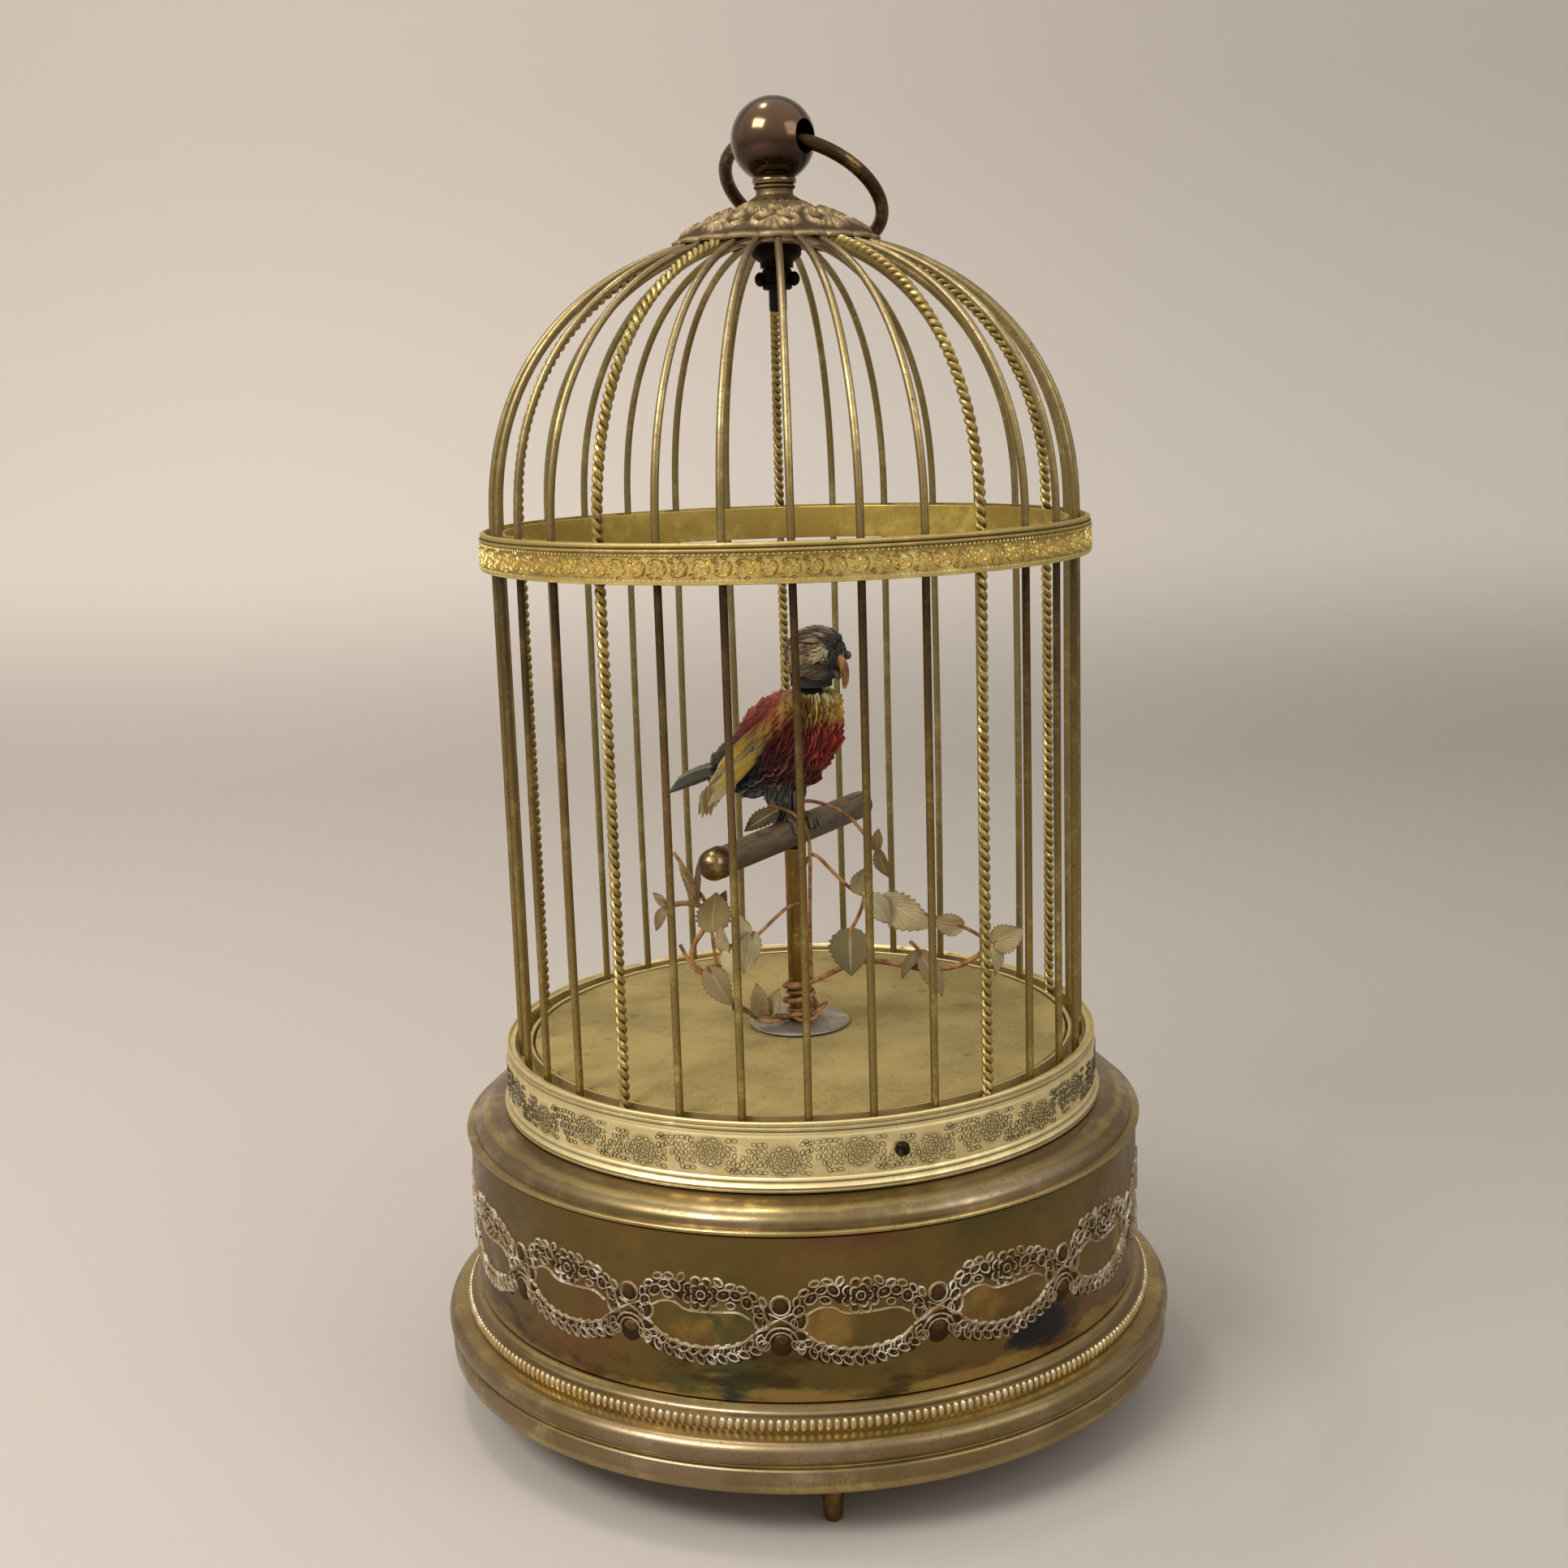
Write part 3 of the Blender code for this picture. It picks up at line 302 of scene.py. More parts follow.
# %% Helpers for finishes
def noise(where, scale, detail=4, roughness=0.6):
    """A Noise Texture's value."""
    sockets = {"Vector": where, "Scale": scale, "Detail": detail, "Roughness": roughness}
    return field(tree_of(where), "ShaderNodeTexNoise", sockets, "Fac")


def spread(value, low, high, to_low=0, to_high=1):
    """A value's stretch from low to high, spread softly over another one."""
    sockets = {0: value, 1: low, 2: high, 3: to_low, 4: to_high}
    return field(tree_of(value), "ShaderNodeMapRange", sockets, interpolation_type="SMOOTHSTEP")


def tint(share, first, second):
    """Two colours mixed by a share."""
    sockets = {0: share, 6: first, 7: second}
    return field(tree_of(share, first, second), "ShaderNodeMix", sockets, 2, data_type="RGBA")


def ramp(value, first, *middle, last):
    """A colour from a value, by stops given as (position, colour)."""
    node = put(tree_of(value), "ShaderNodeValToRGB", {0: value})
    stops = node.color_ramp.elements
    stops[0].position, stops[0].color = first
    stops[1].position, stops[1].color = last
    for position, tone in middle:
        stops.new(position).color = tone
    return Field(node.outputs[0])


def axis(where, name):
    """One coordinate of a place."""
    return field(tree_of(where), "ShaderNodeSeparateXYZ", {0: where}, name)


def stretched(where, scale, turn=0):
    """A place scaled and then turned about Z, so that what reads it is stretched."""
    sockets = {0: where, "Scale": scale, "Rotation": (0, 0, turn)}
    return field(tree_of(where), "ShaderNodeMapping", sockets)


def own(where, name, output):
    """A piece's own attribute."""
    return field(tree_of(where), "ShaderNodeAttribute", None, output, attribute_name=name)


def finish_tree(name, **plain):
    """A new material, its shader with some plain values, and the Object coordinates."""
    finish = bpy.data.materials.new(name)
    finish.use_nodes = True
    shader = finish.node_tree.nodes["Principled BSDF"]
    for title, value in plain.items():
        shader.inputs[title.replace("_", " ")].default_value = value
    return finish, shader, field(finish.node_tree, "ShaderNodeTexCoord", None, "Object")


def surface(shader, colour, height=None, depth=0.1, roughness=None):
    """Links what changes over the surface to the shader; depth is the relief in millimetres."""
    results = {"Base Color": colour, "Roughness": roughness}
    if height is not None:
        bump = {"Strength": 1, "Distance": depth * MM, "Height": height}
        results["Normal"] = field(shader.id_data, "ShaderNodeBump", bump)
    for title, result in results.items():
        if result is not None:
            shader.id_data.links.new(result.socket, shader.inputs[title])


# %% [markdown]
# ## Stage and light
# A pale table that curves up into a pale wall gives the brass something soft to mirror. Metal
# shows its surroundings more than its own colour, so the world is a gradient, bright overhead
# and darker low down, and one large lamp stands up to the left as in the photograph.

# %% Table and wall
table_finish, shader, place = finish_tree("table", Roughness=0.85, Specular_IOR_Level=0.2)
# The table and wall are painted darker towards the right: a painted shade of the light from the left falling
# off across them.
shade_to_right = spread(axis(place, "X"), -0.5, 0.5)
table_tone = tint(shade_to_right, paint(192, 182, 172), paint(160, 153, 145))
wall_tone = tint(shade_to_right, paint(226, 215, 203), paint(201, 193, 183))
surface(shader, tint(spread(axis(place, "Z"), 0, 0.12), table_tone, wall_tone))

stage_profile = [(-1.6, 0), (0.75, 0)]
stage_profile += [(0.75 + 0.45 * sin(angle), 0.45 - 0.45 * cos(angle))
                  for angle in np.linspace(0.1, pi / 2, 12)]
stage_profile += [(1.2, 2.2)]
stage_points = [(side * 2.2, along, high) for along, high in stage_profile for side in (-1, 1)]
stage_faces = [(2 * index, 2 * index + 1, 2 * index + 3, 2 * index + 2)
               for index in range(len(stage_profile) - 1)]
stage_mesh = bpy.data.meshes.new("stage")
stage_mesh.from_pydata(stage_points, [], stage_faces)
stage_mesh.shade_smooth()
stage = keep("stage", stage_mesh, table_finish)


# %% World and lamps
def lamp(name, place, target, size, power, tone):
    """A square area lamp that faces its target."""
    data = bpy.data.lights.new(name, "AREA")
    data.shape = "RECTANGLE"
    data.size, data.size_y = size
    data.energy = power
    data.color = tone
    made = bpy.data.objects.new(name, data)
    made.location = place
    made.rotation_euler = (Vector(target) - Vector(place)).to_track_quat("-Z", "Y").to_euler()
    bpy.context.scene.collection.objects.link(made)


world = bpy.data.worlds.new("room")
bpy.context.scene.world = world
world.use_nodes = True
room = world.node_tree
room.nodes.clear()
upness = axis(field(room, "ShaderNodeTexCoord", None, "Generated"), "Z")
sky = ramp(field(room, "ShaderNodeMapRange", {0: upness, 1: -1, 2: 1}), (0.30, (0.20, 0.19, 0.18, 1)),
           (0.58, (0.53, 0.52, 0.50, 1)), last=(0.95, (1, 0.98, 0.95, 1)))
put(room, "ShaderNodeOutputWorld", {"Surface": field(room, "ShaderNodeBackground",
                                                     {"Color": sky, "Strength": 1})})

lamp("window", (-0.55, -0.55, 0.85), (0, 0, 0.12), (0.5, 0.35), 7.5, (1, 0.98, 0.96))
lamp("ceiling", (-0.24, 0.12, 1.2), (0, 0, 0.07), (0.16, 0.1), 2.6, (1, 0.99, 0.96))
lamp("room_light", (0.7, -0.5, 0.6), (0, 0, 0.1), (0.5, 0.5), 1.6, (0.97, 0.98, 1))

# %% [markdown]
# ## Old metal
# Every metal here has aged in one way: rubbed bright where hands reach, dull elsewhere, with dark
# specks and dirt in the hollows. One group mixes three colours from noise on Object coordinates,
# so each metal only gives its own colours and amounts. A group keeps the ageing of all the
# pieces alike, which separate node trees would not.

# %% The patina group
patina, old, ending = new_group("patina", "ShaderNodeTree", [
    ("Bright", "Color", (0.6, 0.45, 0.2, 1)), ("Dull", "Color", (0.3, 0.2, 0.1, 1)),
    ("Dark", "Color", (0.03, 0.02, 0.01, 1)), ("Wear", "Float", 0.5), ("Specks", "Float", 0.3),
    ("Size", "Float", 120), ("Hollow", "Float", 0), ("Shine", "Float", 0.3)],
                                [("Color", "Color"), ("Roughness", "Float"), ("Height", "Float")])
where = field(patina, "ShaderNodeTexCoord", None, "Object")
patches = noise(where, old["Size"], 5)
mottle = noise(where, old["Size"] * 7, 3)
grain = noise(where, old["Size"] * 22, 2)
edge = old["Wear"] * -0.35 + 0.65
rubbed = spread(mottle * 0.3 + patches * 0.7, edge, edge + 0.24)
speck = spread(grain, 0.60, 0.72) * old["Specks"]
colour = tint(rubbed, old["Dull"], old["Bright"])
colour = tint(speck, colour, old["Dark"])
colour = tint(old["Hollow"], colour, old["Dark"])
rough = rubbed * -0.18 + old["Shine"] + 0.18 + speck * 0.3 + old["Hollow"] * 0.25
close_group(ending, Color=colour, Roughness=rough, Height=mottle * 0.5 - speck)


def age(shader, depth, **values):
    """Links a patina to a shader, with its own values or fields."""
    aged = put(shader.id_data, "ShaderNodeGroup", values, node_tree=patina).outputs
    surface(shader, Field(aged["Color"]), Field(aged["Height"]), depth, Field(aged["Roughness"]))


# %% A metal from the patina
def metal(name, bright, dull, dark, wear=0.5, specks=0.3, size=120, shine=0.3, hollow=False, metallic=1):
    """An old metal. With hollow, the piece's own attribute of that name darkens its hollows."""
    finish, shader, place = finish_tree(name, Metallic=metallic)
    hollows = own(place, "hollow", "Fac") if hollow else 0
    age(shader, 0.03, Bright=paint(*bright), Dull=paint(*dull), Dark=paint(*dark), Wear=wear, Specks=specks,
        Size=size, Shine=shine, Hollow=hollows)
    return finish


ring_bronze = metal("ring_bronze", (150, 118, 74), (70, 54, 36), (22, 17, 11), 0.5, 0.5, 130, 0.18)
rose_copper = metal("rose_copper", (204, 184, 138), (150, 128, 94), (58, 42, 29), 0.5, 0.5, 260, 0.42, True)
rope_gilding = metal("rope_gilding", (214, 198, 130), (156, 134, 80), (48, 34, 20), 0.55, 0.6, 300, 0.3)
knob_brass = metal("knob_brass", (196, 172, 118), (96, 76, 50), (30, 22, 15), 0.5, 0.6, 150, 0.2)
clock_brass = metal("clock_brass", (206, 174, 100), (176, 142, 78), (80, 58, 30), 0.5, 0.2, 150, 0.25)
post_brass = metal("post_brass", (192, 162, 84), (126, 98, 52), (48, 34, 20), 0.5, 0.5, 120, 0.24)
dark_steel = metal("dark_steel", (120, 118, 114), (74, 70, 66), (28, 24, 22), 0.5, 0.4, 200, 0.32)
screw_steel = metal("screw_steel", (170, 164, 150), (48, 40, 32), (14, 11, 9), 0.35, 0.4, 500, 0.2)
disc_metal = metal("disc_metal", (214, 210, 202), (170, 164, 150), (96, 88, 72), 0.55, 0.3, 160, 0.34)


# %% Metals that change with height
def banded_metal(name, bands, specks, size, shine, behind=None):
    """An old metal whose colours change with height; some of its bands are painted shade. A band is (height,
    bright, dull), in millimetres, and behind gives the bright and dull colours of the far side, a painted
    light."""
    finish, shader, place = finish_tree(name, Metallic=1)
    ragged = noise(place, 130) * 2 + axis(place, "Z") * (1 / MM) - 1
    # The far side's own colours are a painted light.
    far = spread(axis(place, "Y"), -0.04, 0.03)
    tones = {}
    for column, title in ((1, "Bright"), (2, "Dull")):
        tone = paint(*bands[0][column])
        for before, band in zip(bands, bands[1:]):
            tone = tint(spread(ragged, before[0], band[0]), tone, paint(*band[column]))
        tones[title] = tint(far, tone, paint(*behind[column - 1])) if behind else tone
    age(shader, 0.03, Dark=paint(30, 22, 15), Wear=0.5, Specks=specks, Size=size, Shine=shine, **tones)
    return finish


# The dark bands on the ball's underside, from the collar up to about 268 mm, are painted shade.
ball_bronze = banded_metal("ball_bronze", [
    (254, (40, 30, 24), (22, 17, 13)), (256, (176, 142, 100), (120, 92, 64)),
    (262.9, (168, 134, 96), (112, 86, 62)), (263.6, (50, 36, 27), (36, 26, 20)),
    (267, (66, 48, 36), (52, 38, 29)), (272, (118, 90, 64), (98, 73, 52))],
    0.12, 60, 0.02)
ball_shader = ball_bronze.node_tree.nodes["Principled BSDF"]
ball_shader.inputs["Coat Weight"].default_value = 0.35
ball_shader.inputs["Coat Roughness"].default_value = 0.06
hub_bronze = banded_metal("hub_bronze", [
    (249.8, (58, 46, 32), (30, 24, 18)), (250.2, (214, 196, 158), (186, 164, 126))], 0.3, 200, 0.4)
# The dark band just under the girdle is painted shade, for the dark that the near bars mirror there, and the
# paler far side is painted light.
bar_gilding = banded_metal("bar_gilding", [
    (100, (196, 176, 108), (142, 122, 72)), (140, (174, 152, 92), (122, 100, 60)),
    (168, (134, 110, 70), (88, 70, 46)), (187, (98, 78, 52), (56, 43, 30)),
    (194, (190, 172, 112), (140, 120, 76)), (232, (204, 188, 136), (158, 138, 98)),
    (250, (172, 150, 112), (120, 100, 74))], 0.8, 110, 0.27, ((190, 176, 120), (146, 130, 84)))
print("metals", len(bpy.data.materials))

# %% [markdown]
# ## What repeats round the axis
# Almost everything on this object repeats round one axis: beads, screws, feet, roses and the links
# of the garland. A geometry tree turns one modelled shape round Z as often as asked. An Array
# modifier could do the same, but it can't start at a chosen angle without a second object.

# %% The tree that goes round the axis
round_axis, given, ending = new_group("round_the_axis", "GeometryNodeTree", [
    ("Shape", "Object"), ("Count", "Int"), ("First", "Float"), ("Finish", "Material")],
                                      [("Geometry", "Geometry")])
seats = field(round_axis, "GeometryNodePoints", {"Count": given["Count"]})
turn = field(round_axis, "GeometryNodeInputIndex") / given["Count"] * (2 * pi) + given["First"]
facing = field(round_axis, "ShaderNodeCombineXYZ", {"Z": turn})
facing = field(round_axis, "FunctionNodeEulerToRotation", {0: facing})
shape = field(round_axis, "GeometryNodeObjectInfo", {"Object": given["Shape"]}, "Geometry",
              transform_space="ORIGINAL")
copies = {"Points": seats, "Instance": shape, "Rotation": facing}
end_tree(ending, field(round_axis, "GeometryNodeInstanceOnPoints", copies), given["Finish"])


# %% Helpers that run a tree
def from_tree(name, tree, mesh=None, **values):
    """A plain mesh object made by a geometry tree, whose named inputs are given as values."""
    holder = keep(name, mesh or bpy.data.meshes.new(name))
    modifier = holder.modifiers.new("Tree", "NODES")
    modifier.node_group = tree
    for item in tree.interface.items_tree:
        if item.in_out == "INPUT" and item.name in values:
            modifier[item.identifier] = values[item.name]
    return settle(holder, name)


def go_round(name, shape, count, first, finish):
    """One shape, modelled at the front, repeated round the axis from an azimuth in degrees."""
    made = from_tree(name, round_axis, Shape=shape, Count=count, First=radians(first), Finish=finish)
    bpy.data.objects.remove(shape, do_unlink=True)
    print(name, count, "copies,", len(made.data.polygons), "faces")
    return made


# %% [markdown]
# ## Raised ornament
# The garlands and roses were pressed from thin sheet: raised lines with small domes between them.
# They are drawn flat, in millimetres, as outlines. A line becomes a low ridge and an outline
# becomes a dome, and both are wrapped on their wall. A bump texture would be quicker, but these
# ornaments show at the edge of the object and cast small shadows.


# %% Helpers for raised ornament
def placed(centre, shares, turn):
    """Flat points turned by an angle in degrees and moved to a centre."""
    lean = radians(turn)
    return [(centre[0] + u * cos(lean) - v * sin(lean), centre[1] + u * sin(lean) + v * cos(lean))
            for u, v in shares]


def oval(centre, across, along=None, turn=0.0, count=12):
    """A closed oval outline, turned by an angle in degrees."""
    angles = [2 * pi * index / count for index in range(count)]
    return placed(centre, [(across * cos(angle), (along or across) * sin(angle)) for angle in angles], turn)


def leaf_outline(centre, length, width, turn):
    """A closed leaf outline, pointed at both ends."""
    shares = [(-1, 0), (-0.6, 0.75), (0, 1), (0.6, 0.75), (1, 0), (0.6, -0.75), (0, -1), (-0.6, -0.75)]
    return placed(centre, [(u * length / 2, v * width / 2) for u, v in shares], turn)


def raised_lines(name, lines, wrap, width, rise):
    """Low ridges along flat outlines, given as (points, closed), and closed underneath."""
    strands = []
    for points, closed in lines:
        count = len(points)
        rows = []
        for index, (u, v) in enumerate(points):
            before = points[index - 1] if closed or index else points[index]
            after = points[(index + 1) % count] if closed or index < count - 1 else points[index]
            run = math.hypot(after[0] - before[0], after[1] - before[1]) or 1.0
            thin = 0.45 if not closed and index in (0, count - 1) else 1.0
            side_u = -(after[1] - before[1]) / run * width / 2 * thin
            side_v = (after[0] - before[0]) / run * width / 2 * thin
            corners = ((side_u, side_v, -0.15), (0, 0, rise * thin), (-side_u, -side_v, -0.15))
            rows.append([wrap(u + du, v + dv, up) for du, dv, up in corners])
        strands.append((rows, closed))
    return skin(name, strands)


def raised_domes(name, outlines, wrap, rise):
    """Low domes over flat closed outlines, closed underneath."""
    strands = []
    for points in outlines:
        middle = np.mean(points, axis=0)
        levels = ((1.0, -0.15), (0.82, rise * 0.55), (0.45, rise * 0.92), (0.08, rise))
        strands.append(([[wrap(*(middle + (np.array(point) - middle) * part), up) for point in points]
                         for part, up in levels], False))
    return skin(name, strands)


def finish_shape(name, shape):
    """A bmesh as an object."""
    mesh = bpy.data.meshes.new(name)
    shape.to_mesh(mesh)
    shape.free()
    return keep(name, mesh)


def wall_wrap(radius, middle):
    """Wraps flat ornament on an upright wall of a radius, about a height."""
    def wrap(u, v, rise):
        reach = radius + rise
        return reach * sin(u / radius), -reach * cos(u / radius), middle + v
    return wrap


# %% [markdown]
# ## The drum
# The drum is a plain sheet-brass wall whose lacquer has gone: olive, brown and green with a blue
# stain, and bright only where it was rubbed near the foot. Its colours change over whole hands'
# breadths, so they come from slow noise, and the patina group adds the fine wear.

# %% The drum's finish
DRUM_RADIUS = 74.4
DRUM_FOOT_RADIUS = 74.2
DRUM_TOP = 61.3
DRUM_FOOT = 27.4
DRUM_WALL = 1.0
STAIN_SQUASH = 2.2
STAIN = Vector((46, -58.3, 33.5 * STAIN_SQUASH)) * MM

drum_finish, shader, place = finish_tree("drum_brass", Metallic=1)
hues = ramp(noise(place, 24, 3, 0.5), (0.32, paint(52, 74, 62)), (0.40, paint(92, 92, 56)),
            (0.46, paint(112, 96, 54)), (0.60, paint(124, 100, 58)), last=(0.68, paint(122, 84, 60)))
height = axis(place, "Z") * (1 / MM)
drawn = stretched(place, (1, 1, 3))
foot_wear = spread(noise(drawn, 55, 6) * 22 + height, 42, 38.5, 0, 0.8)
# The band of dark patches just above the foot is painted shade.
shade_band = spread(noise(drawn, 42, 6), 0.48, 0.60, 0, 0.75) * spread(height, 42, 35)
oval_wear = spread(noise(place, 75, 5), 0.46, 0.62, 0, 0.6) * spread((height - 43).math("ABSOLUTE"), 6, 3)
from_stain = vector("DISTANCE", stretched(place, (1, 1, STAIN_SQUASH)), STAIN, "Value")
stained = spread(noise(drawn, 70, 6) * 0.024 + from_stain, 0.0225, 0.0185, 0, 0.9)
worn_and_shaded = tint(oval_wear, hues, paint(176, 140, 74))
worn_and_shaded = tint(shade_band, worn_and_shaded, paint(70, 54, 34))
worn_and_shaded = tint(foot_wear, worn_and_shaded, paint(176, 146, 84))
worn_and_shaded = tint(stained, worn_and_shaded, paint(30, 38, 46))
age(shader, 0.02, Bright=worn_and_shaded, Dull=tint(0.78, paint(66, 48, 28), worn_and_shaded), Dark=paint(26, 30, 34), Wear=0.55,
    Specks=0.12, Size=70, Shine=0.27)

# %% The drum's wall
drum_profile = [(DRUM_RADIUS - 0.15, DRUM_TOP), (DRUM_RADIUS, DRUM_TOP - 0.15)]
drum_profile += [(DRUM_FOOT_RADIUS + (DRUM_RADIUS - DRUM_FOOT_RADIUS) * share / 4,
                  DRUM_FOOT + (DRUM_TOP - DRUM_FOOT) * share / 4) for share in (3, 2, 1)]
drum_profile += [(DRUM_FOOT_RADIUS, DRUM_FOOT), (DRUM_RADIUS - DRUM_WALL, DRUM_FOOT),
                 (DRUM_RADIUS - DRUM_WALL, DRUM_TOP)]
dress(turned("drum_wall", drum_profile, 240, drum_finish), ["base_drum"])

# %% [markdown]
# ## The garland on the drum
# Fifteen rosettes stand in a ring, with a knot of arches between each two, and a wreath of leaves
# above and below a plain oval. One rosette with the knot at its right is drawn, and the tree
# repeats it. Pale polish has dried along the ridges, and the domes between them stay brown.

# %% Draw one rosette with its knot
GARLAND_UNITS = 15
GARLAND_HEIGHT = 44.0
GARLAND_FIRST = 7.8
garland_pitch = 2 * pi * DRUM_RADIUS / GARLAND_UNITS
knot = garland_pitch / 2
hand = random.Random(7)
ridges = [(oval((0, 5.0), 0.9, count=10), True), (oval((knot, 3.5), 1.95, count=14), True)]
bosses = [oval((0, 5.0), 0.6, count=8), oval((knot, 3.5), 1.3, count=10), oval((knot, -3.6), 1.7, 1.4)]
for ring, (petals, reach, size) in enumerate(((5, 1.55, 0.85), (8, 2.75, 1.0))):
    for petal in range(petals):
        angle = 360 / petals * petal + 20 * ring
        seat = (reach * cos(radians(angle)), 5.0 + reach * sin(radians(angle)))
        ridges.append((round_stretch(seat, size, angle - 95, angle + 95, 7), False))
        bosses.append(oval(seat, size * 0.55, count=6))
for u, v, across, along, turn in ((-5.3, 6.5, 1.0, 1.4, 40), (-7.6, 6.6, 1.2, 0.8, 30),
                                  (-6.9, 4.5, 1.2, 0.8, -20), (-9.6, 4.9, 1.5, 1.0, 50),
                                  (4.6, 5.3, 1.4, 1.1, 20), (7.0, 5.4, 1.2, 1.0, -15),
                                  (9.2, 4.0, 1.1, 1.3, 20), (5.9, 3.2, 0.9, 0.7, 0),
                                  (-12.0, 2.4, 1.0, 1.3, -30), (11.4, 2.2, 1.0, 1.4, 35),
                                  (knot - 3.9, 0.2, 1.3, 1.9, 14), (knot + 3.9, 0.2, 1.3, 1.9, -14),
                                  (knot - 3.7, -4.6, 1.1, 0.8, 40), (knot + 3.7, -4.6, 1.1, 0.8, -40)):
    ridges.append((oval((u, v), across, along, turn + hand.uniform(-8, 8), 10), True))
    bosses.append(oval((u, v), across * 0.6, along * 0.6, turn, 8))
for radius in (2.3, 3.3):
    ridges.append((round_stretch((knot, -4.3), radius, 5, 175, 11), False))
for side in (-1, 1):
    crossing = [(knot + side * 5.2, -2.4), (knot + side * 2.2, -0.4), (knot, 0.9), (knot - side * 2.4, 1.9)]
    ridges.append((bend(crossing), False))
over = [(-10.4, 1.6), (-8.2, 3.0), (-5.4, 3.1), (-3.6, 1.5), (0, 1.4), (3.4, 1.6), (7.2, 2.0), (9.8, 0.4)]
under = [(-10.2, -2.8), (-7.6, -4.9), (-3.8, -5.9), (0.4, -6.0), (4.4, -5.7), (8.0, -4.6), (10.2, -2.6)]
for edge in (over, under):
    ridges.append((bend(edge), False))

# %% Draw the leaves of the wreath
for step in range(22):
    u = -11.6 + 1.1 * step
    v = -7.6 + 0.022 * u * u + (0.9 if step % 2 else -0.6)
    lean = (50 if step % 2 else -50) + 3 * u + hand.uniform(-15, 15)
    ridges.append((leaf_outline((u, v), 2.7, 1.5, lean), True))
    ridges.append(([(u, v), placed((u, v), [(1.0, 0)], lean)[0]], False))
for u, v, lean in ((-12.4, 4.2, 70), (-11.0, 6.1, 30), (-8.9, 7.9, 20), (-6.4, 8.2, -20), (-4.0, 8.2, 60),
                   (3.6, 7.8, -40), (5.9, 7.0, 10), (8.2, 6.6, -30), (10.4, 5.2, -50), (12.2, 4.2, -70),
                   (-12.9, -0.2, 100), (12.6, -0.3, 80), (-12.8, -4.6, 110), (12.6, -4.9, 60)):
    ridges.append((leaf_outline((u, v), 2.2, 1.3, lean + hand.uniform(-15, 15)), True))
ground_places = [(-12.2, 3.0), (-9.4, 5.6), (-6.6, 5.8), (-3.6, 5.6), (0, 5.0), (3.6, 5.6), (6.6, 5.2),
                 (9.6, 4.2), (12.0, 1.6), (-12.4, -3.9), (-9.8, -5.8), (-6.6, -6.9), (-3.2, -7.5),
                 (0.2, -7.6), (3.6, -7.4), (6.8, -6.8), (9.8, -5.8), (12.4, -3.6), (knot, 2.2), (knot, -2.2),
                 (knot, -5.2), (-12.6, 0.2)]
grounds = [oval(spot, 2.3, 1.9, hand.uniform(0, 90), 10) for spot in ground_places]
print("garland", len(ridges), "lines and", len(bosses), "domes in one unit")

# %% Wrap it on the drum and repeat it
polish = metal("dried_polish", (240, 234, 216), (150, 128, 94), (60, 44, 28), 0.5, 0.8, 230, 0.5,
               metallic=0.2)
dome_brass = metal("garland_brass", (146, 116, 68), (84, 64, 40), (32, 24, 15), 0.35, 0.4, 260, 0.3)
ground_brass = metal("garland_ground", (112, 88, 52), (64, 48, 30), (30, 22, 14), 0.3, 0.5, 200, 0.36)
drum_wrap = wall_wrap(DRUM_RADIUS - 0.08, GARLAND_HEIGHT)
for name, shape, finish in (
        ("garland_ridges", raised_lines("garland_ridge", ridges, drum_wrap, 0.66, 0.5), polish),
        ("garland_bosses", raised_domes("garland_dome", bosses, drum_wrap, 0.5), dome_brass),
        ("garland_grounds", raised_domes("garland_back", grounds, drum_wrap, 0.2), ground_brass)):
    dress(go_round(name, shape, GARLAND_UNITS, GARLAND_FIRST, finish), ["base_drum"])

# %% [markdown]
# ## Shoulder and plinth
# Both mouldings were spun over a former, so a profile carried round the axis makes them exactly.
# Their round stretches get enough points to catch a smooth line of light, and the edges that a
# polishing cloth reaches are brighter than the hollows between them.


# %% The finish of the spun mouldings
def moulding_metal(name, bright_edges, wear):
    """Brown lacquered brass, rubbed to gold at given heights, in millimetres."""
    finish, shader, place = finish_tree(name, Metallic=1)
    ragged = noise(place, 90) * 1.2 + axis(place, "Z") * (1 / MM) - 0.6
    golden = 0
    for middle, half in bright_edges:
        golden = spread((ragged - middle).math("ABSOLUTE"), half, half * 0.4).math("MAXIMUM", golden)
    golden = golden * spread(noise(place, 30, 3), 0.35, 0.6, 0.3, 0.9)
    slow = spread(noise(place, 26, 3), 0.42, 0.60)
    bright = tint(golden, tint(slow, paint(184, 164, 130), paint(166, 146, 104)), paint(204, 178, 116))
    dull = tint(golden, tint(slow, paint(142, 122, 94), paint(126, 108, 72)), paint(168, 146, 94))
    age(shader, 0.02, Bright=bright, Dull=dull, Dark=paint(46, 34, 22), Wear=wear, Specks=0.4, Size=60,
        Shine=0.16)
    return finish


shoulder_finish = moulding_metal("shoulder_brass", ((62.2, 0.9), (65.9, 0.5)), 0.5)
plinth_finish = moulding_metal("plinth_brass", ((17, 0.7), (12.4, 1.3), (26.6, 0.8), (22.2, 0.5)), 0.45)

# %% The shoulder
shoulder_profile = [(63.7, 75.4), (63.7, 66.9), (66.3, 66.85)]
shoulder_profile += [(66.4 + 7.0 * sin(angle), 63.05 + 3.75 * cos(angle))
                     for angle in np.linspace(0.03, 1.5, 20)]
shoulder_profile += [(73.5, 62.85), (74.6, 62.75)] + round_stretch((74.7, 62.2), 0.5, 70, -70, 6)
shoulder_profile += [(73.05, 61.7), (73.05, 59.6), (72.0, 59.6), (72.0, 62.4), (69.0, 64.2), (62.4, 64.6),
                     (62.4, 75.4)]
shoulder = turned("shoulder_moulding", shoulder_profile, 240, shoulder_finish)
dress(shoulder, ["base_shoulder"])

